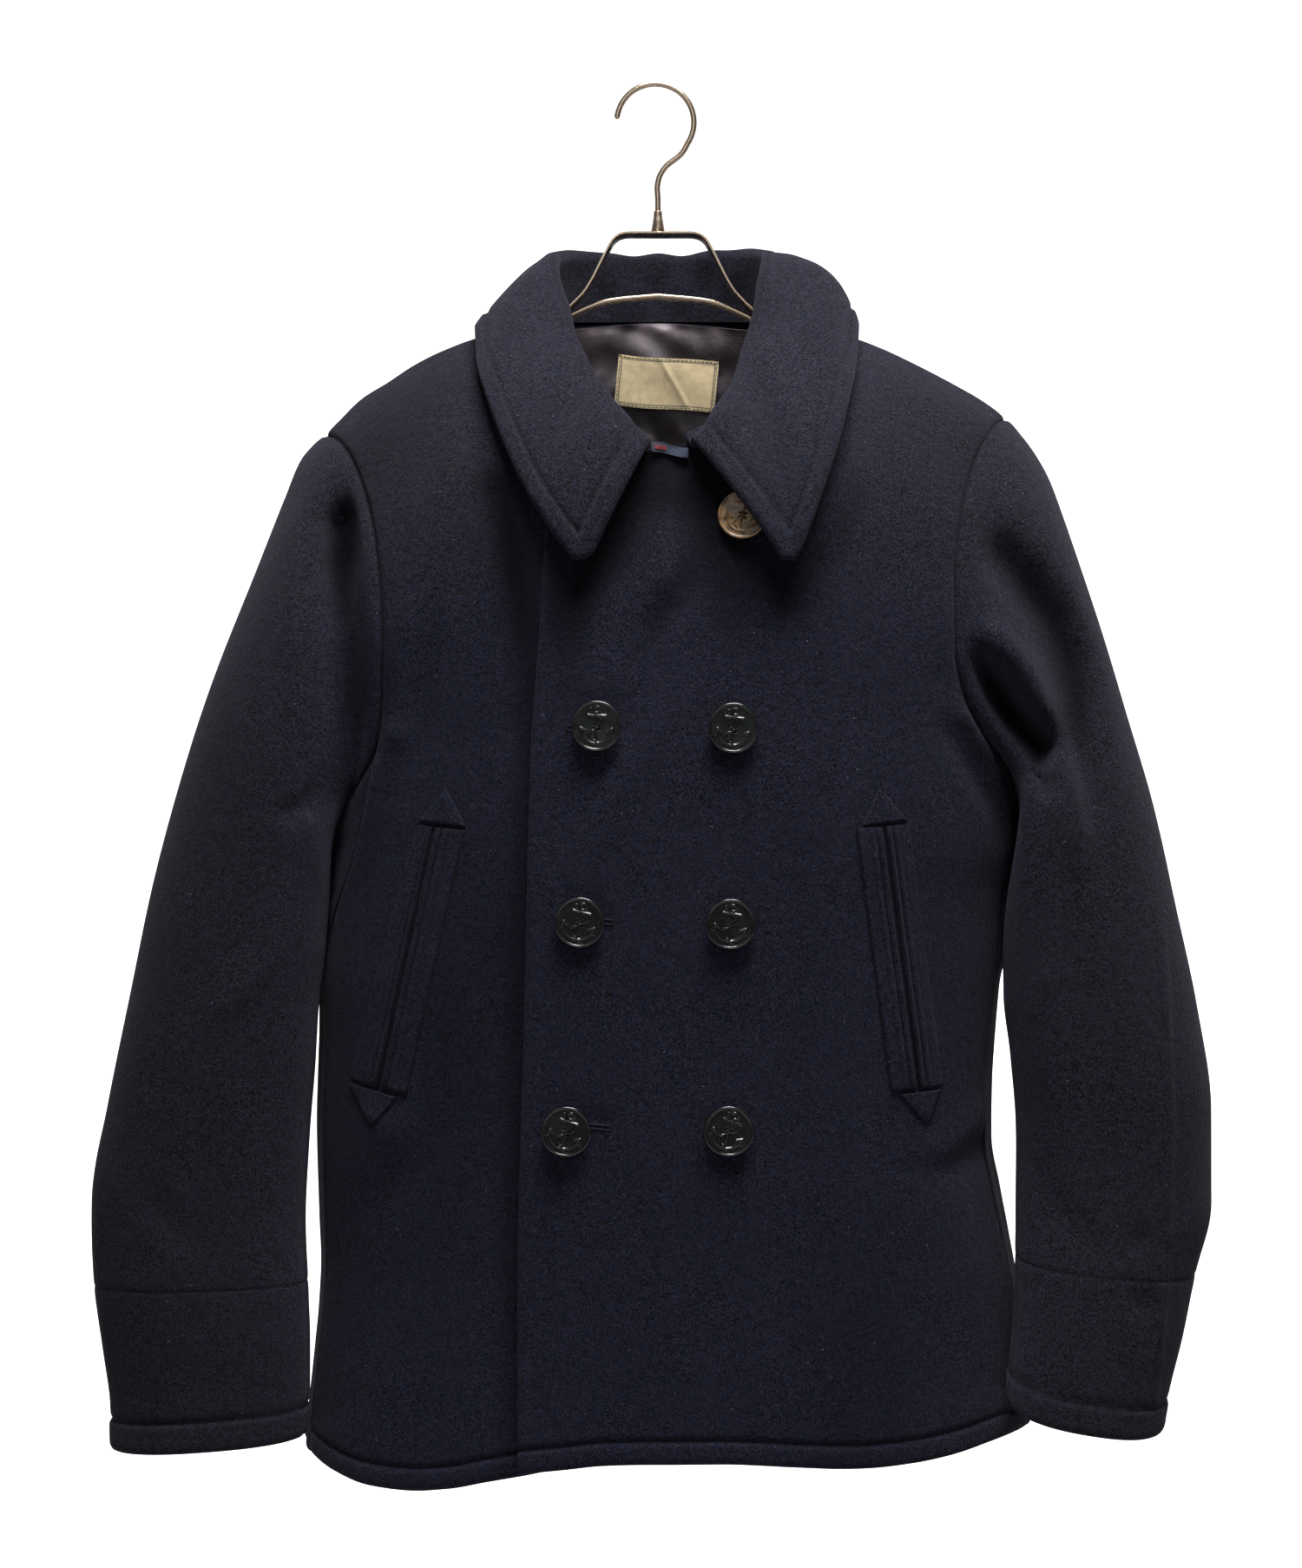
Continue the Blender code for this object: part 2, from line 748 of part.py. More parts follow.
def build_cloth(wool):
    """The body, sleeves and cuffs."""
    fronts = {side: front_grid(side) for side in (-1, 1)}
    back = back_grid()
    sides = {side: side_grid(side) for side in (-1, 1)}
    rings = np.array([0, 0.45, 1, 1.6, 2.3, 3, 3.8, 4.8, 6, 7.2, 8.5, 9.8, 11, 12])
    sleeves = {side: sleeve_grid(side, rings) for side in (-1, 1)}
    cuff_rings = np.array([12, 13, 14, 15.0])
    cuffs = {side: sleeve_grid(side, cuff_rings) for side in (-1, 1)}

    normal = {}
    for side in (-1, 1):
        facing = fronts[side] * 0 + np.array([0, -1.0, 0])
        normal["front", side] = grid_normals(fronts[side], facing)
        facing = sides[side] * 0 + np.array([side, 0.0, 0])
        normal["side", side] = grid_normals(sides[side], facing)
        middle = sleeves[side].mean(0, keepdims=True)
        normal["sleeve", side] = grid_normals(sleeves[side], sleeves[side] - middle, True)
        middle = cuffs[side].mean(0, keepdims=True)
        normal["cuff", side] = grid_normals(cuffs[side], cuffs[side] - middle, True)
    normal["back"] = grid_normals(back, back * 0 + np.array([0, 1.0, 0]))

    sh = 5
    for side in (-1, 1):
        front, flank = normal["front", side], normal["side", side]
        sleeve = normal["sleeve", side]
        back_cols = normal["back"] if side < 0 else normal["back"][::-1]
        # shoulder seam
        shared = share_normals(front[: sh + 1, 0], back_cols[: sh + 1, 0])
        front[: sh + 1, 0] = shared
        back_cols[: sh + 1, 0] = shared
        # side seams
        up = UPPER_ROWS
        shared = share_normals(front[0, up:], flank[0])
        front[0, up:] = shared
        flank[0] = shared
        shared = share_normals(back_cols[0, up:], flank[-1])
        back_cols[0, up:] = shared
        flank[-1] = shared
        # armhole, where the sleeve goes on in the panel's direction
        count = len(sleeve)
        for i in range(1, up + 1):
            both = share_normals(front[0, i], sleeve[i, 0])
            front[0, i] = both
            sleeve[i, 0] = both
            both = share_normals(back_cols[0, i], sleeve[count - i, 0])
            back_cols[0, i] = both
            sleeve[count - i, 0] = both
        flank[0, 0] = front[0, up]
        flank[-1, 0] = back_cols[0, up]
        both = share_normals(front[0, 0], sleeve[0, 0])
        front[0, 0] = both
        back_cols[0, 0] = both
        sleeve[0, 0] = both
        shared = share_normals(sleeve[:, -1], normal["cuff", side][:, 0])
        sleeve[:, -1] = shared
        normal["cuff", side][:, 0] = shared

    for side in (-1, 1):
        inward = np.array([side * 0.45, 0, 0])
        draw_back(fronts[side], "first")
        draw_back(fronts[side][: sh + 1], "top")
        draw_back(sides[side], "first")
        draw_back(sides[side], "last")
        draw_back(sides[side], "top")
        draw_back(sleeves[side], "top")
        loop = sleeves[side]
        low = slice(UPPER_ROWS, UPPER_ROWS + SIDE_COLUMNS + 1)
        loop[low, 0] += inward
        sleeves[side][:, -1, 2] += SEAM_GAP / 2
        cuffs[side][:, 0, 2] -= SEAM_GAP / 2
    draw_back(back, "first")
    draw_back(back, "last")
    draw_back(back[: sh + 1], "top")
    draw_back(back[-sh - 1 :], "top")

    over_outer = fronts[1].copy()
    lift = lap_lift(over_outer[..., 0], over_outer[..., 2])
    over_outer += normal["front", 1] * lift[..., None]
    names = {-1: "front_under", 1: "front_over"}
    outers = {-1: fronts[-1], 1: over_outer}
    for side in (-1, 1):
        outer = outers[side]
        inner = thicken(outer, normal["front", side], WALL)
        make_wall(names[side], outer, inner, wool)
    make_wall("back", back, thicken(back, normal["back"], WALL), wool)
    sides_of = {-1: "right", 1: "left"}
    for side in (-1, 1):
        word = sides_of[side]
        inner = thicken(sides[side], normal["side", side], WALL)
        make_wall("side_" + word, sides[side], inner, wool)
        inner = thicken(sleeves[side], normal["sleeve", side], WALL)
        make_wall("sleeve_" + word, sleeves[side], inner, wool, wrap=True)
        inner = thicken(cuffs[side], normal["cuff", side], WALL)
        make_wall("cuff_" + word, cuffs[side], inner, wool, wrap=True)


# The collar, by the angle round the neck: 90 at the front, 0 at the neck point and -90
# at the back. r is the roll, where it turns over, and e the middle of its free edge.
COLLAR = {
    -1: Table(
        "angle rx ry rz ex ey ez bow",
        [
            (84.0, 4.5, -80, -226, 39.5, -100, -299.5, 4),
            (80.0, 9.0, -78, -221.5, 49.0, -101, -300.5, 4),
            (75.0, 14.0, -75, -216.5, 56.0, -100, -293.5, 4),
            (67.5, 21.0, -69, -206, 64.6, -98, -282, 4),
            (60.0, 28.0, -62, -196, 74.3, -95, -267, 4),
            (52.5, 34.0, -54, -186, 83.2, -90, -251, 4),
            (45.0, 40.0, -46, -175, 91.3, -83, -233, 4),
            (37.5, 46.0, -37, -163, 98.0, -75, -217, 4),
            (30.0, 50.5, -28, -151, 103.4, -65, -201, 5),
            (15.0, 57.0, -11, -126, 110.0, -38, -178, 5),
            (0.0, 61.0, 6, -107, 112.5, -6, -153, 3.5),
            (-15.0, 61.0, 19, -100, 111.5, 18, -152, 3.5),
            (-30.0, 56.0, 33, -97, 107, 38, -156, 4),
            (-45.0, 47.0, 46, -95, 95, 57, -161, 4),
            (-60.0, 34.0, 56, -94, 75, 72, -166, 3),
            (-75.0, 18.0, 63, -94, 43, 82, -170, 3),
            (-90.0, 0.0, 66, -94, 0, 86, -172, 3),
        ],
    ),
    1: Table(
        "angle rx ry rz ex ey ez bow",
        [
            (77.0, 19.0, -81, -225, 73.4, -104, -300.7, 4),
            (72.0, 26.0, -77, -219, 80.3, -104, -301.2, 4),
            (67.5, 31.0, -72, -211, 86.0, -103, -292, 4),
            (60.0, 37.5, -63, -200, 92.0, -101, -277, 4),
            (52.5, 42.5, -54, -190, 98.4, -97, -259, 4),
            (45.0, 46.5, -45, -178.5, 104.5, -91, -241, 4),
            (37.5, 50.5, -36, -167, 110.2, -83, -223, 4),
            (30.0, 54.5, -27, -154, 114.5, -71, -205, 5),
            (15.0, 60.5, -10, -126, 120.0, -42, -178, 9),
            (0.0, 64.0, 8, -105, 122.0, -8, -152, 14),
            (-15.0, 64.5, 21, -98, 121.0, 18, -152, 15),
            (-30.0, 59.0, 34, -95.5, 116, 38, -157, 13),
            (-45.0, 49.0, 46, -94, 101, 57, -161, 9),
            (-60.0, 35.5, 56, -93.5, 77, 72, -166, 5),
            (-75.0, 18.5, 63, -94, 44, 82, -170, 3),
            (-90.0, 0.0, 66, -94, 0, 86, -172, 3),
        ],
    ),
}
ROLL_RADIUS = 3.9

# Distance of the stand's foot from the neckline.
SEAM_RISE = Table(
    "angle gap",
    [(-90, 0.7), (-15, 0.8), (0, 1.0), (15, 1.2), (35, 1.6), (50, 2.2), (60, 1.6), (72, 2.6), (90, 2.8)],
)


def neck_seat(side, angle):
    """Middle of the neckline's rim and the direction in which the cloth would go on."""
    face = -1 if angle > 0 else 1
    radians = math.radians(abs(angle))
    wide = SHOULDER[side]["x"]
    low = math.floor(abs(angle) / 15) * 15
    ends = []
    for degrees in (low, low + 15):
        share = NECK_HALF_WIDTH * math.cos(math.radians(min(degrees, 90))) / wide
        ends.append((share, panel(face, side, share, 0.0), panel(face, side, share, 0.04)))
    share = NECK_HALF_WIDTH * math.cos(radians) / wide
    span = ends[1][0] - ends[0][0]
    f = 0.0 if abs(span) < 1e-9 else (share - ends[0][0]) / span
    point = ends[0][1] * (1 - f) + ends[1][1] * f
    below = ends[0][2] * (1 - f) + ends[1][2] * f
    along = unit(ends[1][1] - ends[0][1])
    onward = point - below
    onward = unit(onward - along * np.dot(onward, along))
    inward = np.array([-side * math.cos(radians), -face * math.sin(radians), 1.0])
    inward = unit(inward - along * np.dot(inward, along))
    near = math.exp(-(((angle - 10) / 20) ** 2))
    onward = unit(onward * (1 - near) + inward * near)
    normal = unit(np.cross(along, onward))
    if np.dot(normal, np.array([0, face, 0.35])) < 0:
        normal = -normal
    height = -WALL / 2
    if face < 0 and side > 0:
        height += float(lap_lift(point[0], point[2]))
    return point + normal * height, onward


def collar_station(side, angle, row):
    """Middle line of the collar at one angle: up the stand, over the roll, down the leaf."""
    roll = np.array([side * row["rx"], row["ry"], row["rz"]])
    edge = np.array([side * row["ex"], row["ey"], row["ez"]])
    seat, onward = neck_seat(side, angle)
    radians = math.radians(angle)
    out = np.array([side * math.cos(radians), -math.sin(radians), 0])
    if angle <= 0:
        out = unit((edge - roll) * np.array([1, 1, 0]))
    fall = edge[2] - roll[2]
    reach = float(np.dot(edge - roll, out))
    up = np.array([0, 0, 1.0])
    outer = ROLL_RADIUS + COLLAR_WALL / 2
    centre = roll + out * outer - up * outer
    start = centre - out * ROLL_RADIUS
    lean = unit(start - seat)
    turn = math.sqrt(max(0.0, 1 - float(np.dot(lean, onward)) ** 2))
    foot = seat + onward * (float(SEAM_RISE.at("gap", angle)) + COLLAR_WALL / 2 * turn)
    stand = [foot + (start - foot) * f for f in (0.0, 0.34, 0.67)]
    slope = math.atan2(-fall, reach)
    last = math.pi / 2 + slope * 0.9
    arc = []
    for f in (0.0, 0.25, 0.5, 0.75, 1.0):
        a = last * f
        arc.append(centre + (up * math.sin(a) - out * math.cos(a)) * ROLL_RADIUS)
    end = arc[-1]
    across = unit(np.cross(edge - end, np.cross(out, up)))
    if across[2] < 0:
        across = -across
    leaf = []
    for f in (0.2, 0.4, 0.6, 0.8, 1.0):
        leaf.append(end + (edge - end) * f + across * row["bow"] * math.sin(math.pi * f) ** 0.9)
    return np.array(stand + arc + leaf)


def collar_grid():
    """Middle surface of the collar, from the right front round the back to the left."""
    names = ("rx", "ry", "rz", "ex", "ey", "ez", "bow")
    stations = []
    for side in (-1, 1):
        table = COLLAR[side]
        line = []
        for angle in table.column("angle"):
            row = {name: float(table.at(name, angle)) for name in names}
            line.append(collar_station(side, angle, row))
        stations.append(line)
    return np.array(stations[0] + stations[1][::-1][1:])


def build_collar(wool):
    middle = collar_grid()
    along = np.gradient(middle, axis=0)
    across = np.gradient(middle, axis=1)
    normal = unit(np.cross(along, across))
    if normal[len(normal) // 2, 5, 2] < 0:
        normal = -normal
    half = COLLAR_WALL / 2
    make_wall("collar", middle + normal * half, middle - normal * half, wool, sharp=60)


def front_surface(side, x, z):
    """Point and normal of the front's outer face at this place in front view."""
    over = side > 0 or x > LAP_EDGE.at("x", z)

    def point(px, pz):
        half = 1 if px >= 0 else -1
        row = row_at_height(-1, half, px, pz, over)
        share = abs(px) / float(edge_width(-1, half, np.array([row]))[0])
        found = panel(-1, half, min(share, 1.0), row, over)
        return np.array([px, found[1], pz])

    here = point(x, z)
    normal = unit(np.cross(point(x, z + 2) - point(x, z - 2), point(x + 2, z) - point(x - 2, z)))
    if normal[1] > 0:
        normal = -normal
    if over:
        here = here + normal * float(lap_lift(x, z))
    return here, normal


# Buttons on the over front, with the turn of each about its own axis.
BUTTONS = Table(
    "x z turn brown",
    [
        (-36.5, -399.2, 3, 0),
        (44.4, -400.4, 8, 0),
        (-46.5, -515.7, 14, 0),
        (42.7, -516.7, 10, 0),
        (-54.5, -640.5, 19, 0),
        (41.7, -640.2, 22, 0),
        (52.0, -274.6, 12, 1),
    ],
)

# Pocket welts: the ends of the two lips and the slit between them, in front view.
POCKETS = {
    -1: {"top": (-145.5, -457.6, -115.0, -461.4), "foot": (-187.9, -612.6, -151.0, -620.8)},
    1: {"top": (117.5, -460.2, 151.0, -457.0), "foot": (139.5, -618.6, 173.2, -616.5)},
}
ARROWS = {
    -1: {
        "top": (-143.8, -455.7, -115.4, -459.2, -127.8, -435.6),
        "foot": (-187.7, -615.0, -156.6, -622.4, -172.3, -640.7),
    },
    1: {
        "top": (122.0, -458.5, 149.3, -455.3, 132.5, -435.8),
        "foot": (145.0, -620.5, 170.9, -618.3, 162.3, -639.1),
    },
}


def lay_on_front(name, side, corners, columns, rows, thickness, material, gap=LAY_GAP):
    """A patch that follows the front's face; its four corners are given in front view."""
    a, b, c, d = (np.array(p) for p in corners)
    outer = np.zeros((columns + 1, rows + 1, 3))
    inner = np.zeros_like(outer)
    for i in range(columns + 1):
        for j in range(rows + 1):
            u, v = i / columns, j / rows
            top = a + (b - a) * u
            foot = c + (d - c) * u
            x, z = top + (foot - top) * v
            point, normal = front_surface(side, x, z)
            outer[i, j] = point + normal * (gap + thickness)
            inner[i, j] = point + normal * gap
    return make_wall(name, outer, inner, material)


def build_pockets(wool):
    for side, word in ((-1, "right"), (1, "left")):
        x1, z1, x2, z2 = POCKETS[side]["top"]
        x3, z3, x4, z4 = POCKETS[side]["foot"]
        parts = {"outer": (0.0, 0.43), "inner": (0.49, 1.0)}
        if side > 0:
            parts = {"inner": (0.0, 0.48), "outer": (0.54, 1.0)}
        for kind, (low, high) in parts.items():
            corners = [
                (x1 + (x2 - x1) * low, z1 + (z2 - z1) * low),
                (x1 + (x2 - x1) * high, z1 + (z2 - z1) * high),
                (x3 + (x4 - x3) * low, z3 + (z4 - z3) * low),
                (x3 + (x4 - x3) * high, z3 + (z4 - z3) * high),
            ]
            lay_on_front(f"pocket_{word}_welt_{kind}", side, corners, 2, 8, WELT_THICKNESS, wool)
        for place in ("top", "foot"):
            ax, az, bx, bz, cx, cz = ARROWS[side][place]
            tip = 0.06
            corners = [
                (ax, az),
                (bx, bz),
                (cx + (ax - cx) * tip, cz + (az - cz) * tip),
                (cx + (bx - cx) * tip, cz + (bz - cz) * tip),
            ]
            lay_on_front(
                f"pocket_{word}_arrow_{place}", side, corners, 4, 4, ARROW_THICKNESS, wool
            )


def turned(name, profile, material, steps=20):
    """A round solid turned about Z from a profile of radius and height."""
    mesh = bpy.data.meshes.new(name)
    points = [(r * MM, 0, z * MM) for r, z in profile]
    mesh.from_pydata(points, [(i, i + 1) for i in range(len(points) - 1)], [])
    obj = link(bpy.data.objects.new(name, mesh), material)
    screw = obj.modifiers.new("turn", "SCREW")
    screw.steps = steps
    screw.render_steps = steps
    screw.use_merge_vertices = True
    screw.merge_threshold = 0.00002
    screw.use_smooth_shade = True
    return obj


def button_profile():
    """Rounded rim, dished face and the short neck of thread that holds it on."""
    r, t, s = BUTTON_RADIUS, BUTTON_THICKNESS, BUTTON_SHANK
    return [
        (0, s + t - 1.5),
        (r - 4.2, s + t - 1.3),
        (r - 2.6, s + t - 0.2),
        (r - 1.3, s + t),
        (r, s + t - 1.3),
        (r - 0.4, s + 0.6),
        (r - 2.2, s),
        (2.6, s),
        (2.2, 0),
        (0, 0),
    ]


def build_buttons(black, brown):
    words = [
        "chest_right",
        "chest_left",
        "waist_right",
        "waist_left",
        "hip_right",
        "hip_left",
        "collar_left",
    ]
    for name, (x, z, turn, is_brown) in zip(words, BUTTONS.rows):
        point, normal = front_surface(1, x, z)
        place = point + normal * LAY_GAP
        obj = turned("button_" + name, button_profile(), brown if is_brown else black)
        across = unit(np.cross(np.array([0, 0, 1.0]), normal))
        up = np.cross(normal, across)
        a = math.radians(-turn)
        right = across * math.cos(a) + up * math.sin(a)
        over = np.cross(normal, right)
        obj.matrix_world = matrix_of(right, over, normal, place)


def matrix_of(x, y, z, place):
    rows = [[x[i], y[i], z[i], place[i] * MM] for i in range(3)]
    return Matrix(rows + [[0, 0, 0, 1]])


def build_lining(lining_cloth, label_cloth):
    """The lining behind the neck, and the woven label on it."""
    shares = np.linspace(-0.32, 0.32, 9)
    rows = np.linspace(0.014, 0.80, 8)
    points = np.zeros((len(shares), len(rows), 3))
    for i, share in enumerate(shares):
        half = 1 if share >= 0 else -1
        points[i] = panel(1, half, abs(share), rows)
    normals = grid_normals(points, points * 0 + np.array([0, 1.0, 0]))
    outer = points - normals * (WALL + 0.9)
    inner = outer - normals * LINING_WALL
    make_wall("back_lining", outer, inner, lining_cloth)
    label = np.zeros((3, 3, 3))
    tilt = math.radians(-3)
    for i, u in enumerate((-32.0, 0.0, 32.0)):
        for j, v in enumerate((0.0, -16.0, -32.0)):
            x = 5.0 + u * math.cos(tilt) - v * math.sin(tilt)
            z = LABEL_TOP_Z + u * math.sin(tilt) + v * math.cos(tilt)
            half = 1 if x >= 0 else -1
            row = row_at_height(1, half, x, z, False)
            share = abs(x) / float(edge_width(1, half, np.array([row]))[0])
            label[i, j] = [x, panel(1, half, share, row)[1] - WALL - 0.5 - LINING_WALL - 1.1, z]
    make_wall("neck_label", label, label - np.array([0, 0.6, 0]), label_cloth)


LABEL_TOP_Z = -160.0


def ribbon(name, line, width, thickness, material):
    """A strip bent along a line of X, middle Y and Z, its width along Y."""
    mesh = bpy.data.meshes.new(name)
    points = [(x * MM, (y + half) * MM, z * MM) for x, y, z in line for half in (-width / 2, width / 2)]
    count = len(line)
    mesh.from_pydata(points, [], [(2 * i, 2 * i + 1, 2 * i + 3, 2 * i + 2) for i in range(count - 1)])
    obj = link(bpy.data.objects.new(name, mesh), material)
    solid = obj.modifiers.new("thickness", "SOLIDIFY")
    solid.thickness = thickness * MM
    solid.offset = 0
    solid.use_even_offset = True
    return obj


def wire(name, line, radius, material):
    """A round wire along a line of X and Z at Y 0."""
    curve = bpy.data.curves.new(name, "CURVE")
    curve.dimensions = "3D"
    curve.bevel_depth = radius * MM
    curve.bevel_resolution = 2
    curve.use_fill_caps = True
    spline = curve.splines.new("POLY")
    spline.points.add(len(line) - 1)
    for point, (x, z) in zip(spline.points, line):
        point.co = (x * MM, 0, z * MM, 1)
    return link(bpy.data.objects.new(name, curve), material)


def hook_line():
    """The hook: most of a circle, then a soft bend down to the upright stem."""
    middle_z = HOOK_WIRE - HOOK_RADIUS
    line = []
    for degrees in np.linspace(171, -28, 18):
        a = math.radians(degrees)
        line.append((HOOK_CENTRE_X + HOOK_RADIUS * math.cos(a), middle_z + HOOK_RADIUS * math.sin(a)))
    bend = Table(
        "z x",
        [(-33.0, 19.6), (-41, 15.2), (-50, 4.6), (-57, 0.6), (-63, -0.4), (-71, 0), (-77.5, 0)],
    )
    for z in (-37.5, -42.5, -47, -51, -55, -59, -64, -70, -76.6):
        line.append((float(bend.at("x", z)), z))
    return line


# Half of the long bar where it crosses the neck, before it runs under the shoulder.
BAR_NECK = Table("x z", [(0, -129.5), (30, -132.5), (54, -141.5), (63, -147.0), (70, -154.5), (90, -161)])
BAR_BELOW = 8.0


def bar_line():
    """The long bar: a low arc through the neck, then under each shoulder seam."""
    line = []
    outer = [84, 98, 112, 126, 140, 154, 168, 182, 194]
    inner = [0, 13, 26, 38, 48, 56, 63, 70, 77]
    half = inner + outer
    for x in [-x for x in half[:0:-1]] + half:
        side = 1 if x >= 0 else -1
        under = SHOULDER_LINE[side].at("z", abs(x)) - WALL - BAR_THICKNESS / 2 - BAR_BELOW
        blend = float(ease(abs(x), 76, 92))
        z = float(BAR_NECK.at("z", abs(x)) * (1 - blend) + under * blend)
        out = max(abs(x) - NECK_HALF_WIDTH, 0) / (SHOULDER[side]["x"] - NECK_HALF_WIDTH)
        line.append((x, NECK_POINT_Y * (1 - out), z))
    return line


def neck_line():
    """The hanger's neck: down one leg from the bar, over the flat top and back."""
    half = [
        (-60.0, -141.0),
        (-54.0, -135.8),
        (-46.5, -128.0),
        (-41.0, -119.0),
        (-36.5, -110.0),
        (-32.0, -101.0),
        (-29.5, -96.5),
        (-26.5, -93.2),
        (-22.0, -91.6),
    ]
    centre = 1.0
    left = [(x + centre, STRIP_Y, z) for x, z in half]
    right = [(-x + centre, STRIP_Y, z) for x, z in half[::-1]]
    return left + right


def build_hanger(metal):
    wire("hanger_hook", hook_line(), HOOK_WIRE, metal)
    ferrule = turned(
        "hanger_ferrule",
        [(0, 13.2), (2.0, 13.2), (2.6, 12.3), (3.4, 6.4), (4.4, 0.8), (4.4, 0), (0, 0)],
        metal,
        16,
    )
    ferrule.location = (0, 0, (-91.6 + STRIP_THICKNESS / 2 + 0.3) * MM)
    ribbon("hanger_neck", neck_line(), STRIP_WIDTH, STRIP_THICKNESS, metal)
    ribbon("hanger_bar", bar_line(), BAR_WIDTH, BAR_THICKNESS, metal)


def clear_scene():
    for obj in list(bpy.data.objects):
        bpy.data.objects.remove(obj, do_unlink=True)


clear_scene()
COAT = bpy.data.collections.new("pea_coat")
bpy.context.scene.collection.children.link(COAT)

WOOL = make_material("navy_wool", (0.012, 0.013, 0.022), 0.95)
LINING = make_material("satin_lining", (0.035, 0.026, 0.032), 0.4)
LABEL = make_material("label_cloth", (0.46, 0.37, 0.21), 0.8)
BUTTON = make_material("button_black", (0.010, 0.011, 0.011), 0.18)
BUTTON_BROWN = make_material("button_brown", (0.10, 0.055, 0.025), 0.3)
METAL = make_material("hanger_metal", (0.72, 0.67, 0.60), 0.22, 1.0)

build_cloth(WOOL)
build_collar(WOOL)
build_pockets(WOOL)
build_buttons(BUTTON, BUTTON_BROWN)
build_lining(LINING, LABEL)
build_hanger(METAL)
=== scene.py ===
import math

import bmesh
import bpy
import numpy as np
from bpy.props import FloatProperty, FloatVectorProperty, PointerProperty
from mathutils import Matrix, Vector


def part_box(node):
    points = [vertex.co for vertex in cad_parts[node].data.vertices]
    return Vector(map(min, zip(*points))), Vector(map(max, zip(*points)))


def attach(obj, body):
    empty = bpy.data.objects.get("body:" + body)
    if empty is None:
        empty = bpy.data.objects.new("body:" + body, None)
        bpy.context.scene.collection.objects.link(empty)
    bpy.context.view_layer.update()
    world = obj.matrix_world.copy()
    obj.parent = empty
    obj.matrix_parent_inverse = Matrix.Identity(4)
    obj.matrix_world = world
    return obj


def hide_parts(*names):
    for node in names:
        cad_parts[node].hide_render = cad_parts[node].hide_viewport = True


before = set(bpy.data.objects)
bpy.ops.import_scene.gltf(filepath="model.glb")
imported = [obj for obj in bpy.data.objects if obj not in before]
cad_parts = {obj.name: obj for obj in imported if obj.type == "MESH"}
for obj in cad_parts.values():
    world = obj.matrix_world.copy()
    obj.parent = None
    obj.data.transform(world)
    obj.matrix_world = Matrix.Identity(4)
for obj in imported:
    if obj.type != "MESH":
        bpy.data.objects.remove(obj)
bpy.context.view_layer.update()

bl_info = {
    "name": "Pea coat",
    "version": (1, 0, 0),
    "blender": (4, 5, 0),
    "location": "View3D > Sidebar > Pea Coat",
    "description": "Builds the cloth, buttons, pockets and hanger of a wool pea coat",
    "category": "Object",
}

# Shape tables are in millimetres in the frame of the model: +Z up, the coat faces -Y
# and the wearer's left is at +X. The origin is the inside top of the hanger's hook.
MM = 0.001

NECK_HALF_WIDTH = 76.0
NECK_CENTRE_Z = -233.0
NECK_POINT_Z = -146.0
NECK_FRONT_Y = -74.0
NECK_BACK_Y = 67.0
NECK_BACK_Z = -139.0
NECK_POINT_Y = 8.0
CHEST_Z = -411.0
LAP_REACH = 80.0
SEAM_T = 0.70
SECTION_POWER = 2.5
HEM_EDGE_Z = -835.0
SIDE_HEM_SHARE = 0.975
WALL = 3.0
LAP_LIFT = WALL + 1.7
LAY_GAP = 0.5
BUTTON_THICKNESS = 3.4
BUTTON_SHANK = 1.6


# ---------------------------------------------------------------- curves and tables


class Table:
    """A short table with named columns, read between its rows along a smooth curve. Its rows
    are given as text, parted by commas."""

    def __init__(self, names, rows):
        self.names = names.split()
        self.rows = np.array([row.split() for row in rows.split(",")], float)

    def column(self, name):
        return self.rows[:, self.names.index(name)]

    def at(self, name, where):
        return smooth_curve(where, self.rows[:, 0], self.column(name))


def smooth_curve(where, knots, values):
    """A cubic through the values whose slopes never let it overshoot them."""
    order = np.argsort(knots)
    knots = np.asarray(knots, float)[order]
    values = np.asarray(values, float)[order]
    where = np.clip(np.asarray(where, float), knots[0], knots[-1])
    step = np.diff(knots)
    rise = np.diff(values) / step
    slope = np.empty_like(values)
    slope[0] = rise[0]
    slope[-1] = rise[-1]
    same = rise[:-1] * rise[1:] > 0
    mean = 2 * rise[:-1] * rise[1:] / np.where(same, rise[:-1] + rise[1:], 1)
    slope[1:-1] = np.where(same, mean, 0)
    i = np.clip(np.searchsorted(knots, where, side="right") - 1, 0, len(step) - 1)
    h = step[i]
    f = (where - knots[i]) / h
    a = (1 + 2 * f) * (1 - f) ** 2
    b = f * (1 - f) ** 2
    c = f * f * (3 - 2 * f)
    d = f * f * (f - 1)
    return a * values[i] + b * h * slope[i] + c * values[i + 1] + d * h * slope[i + 1]


def ease(value, low, high):
    """0 below low, 1 above high and a soft step between."""
    f = np.clip((np.asarray(value, float) - low) / (high - low), 0, 1)
    return f * f * (3 - 2 * f)


def bell(distance, width):
    """1 at no distance and less to either side, by the squared distance over the width."""
    return np.exp(-((distance / width) ** 2))


def full_turn(count):
    """Evenly spaced angles round a circle."""
    return np.linspace(0, 2 * math.pi, count + 1)[:-1]


def unit(vectors):
    """The vectors over their own lengths."""
    length = np.linalg.norm(vectors, axis=-1, keepdims=True)
    return vectors / np.maximum(length, 1e-9)


# ---------------------------------------------------------------- the coat's pattern

SHOULDER = {
    -1: {"x": 208.0, "z": -216.0, "under_x": 204.0, "under_z": -456.0},
    1: {"x": 217.0, "z": -206.5, "under_x": 223.0, "under_z": -452.0},
}

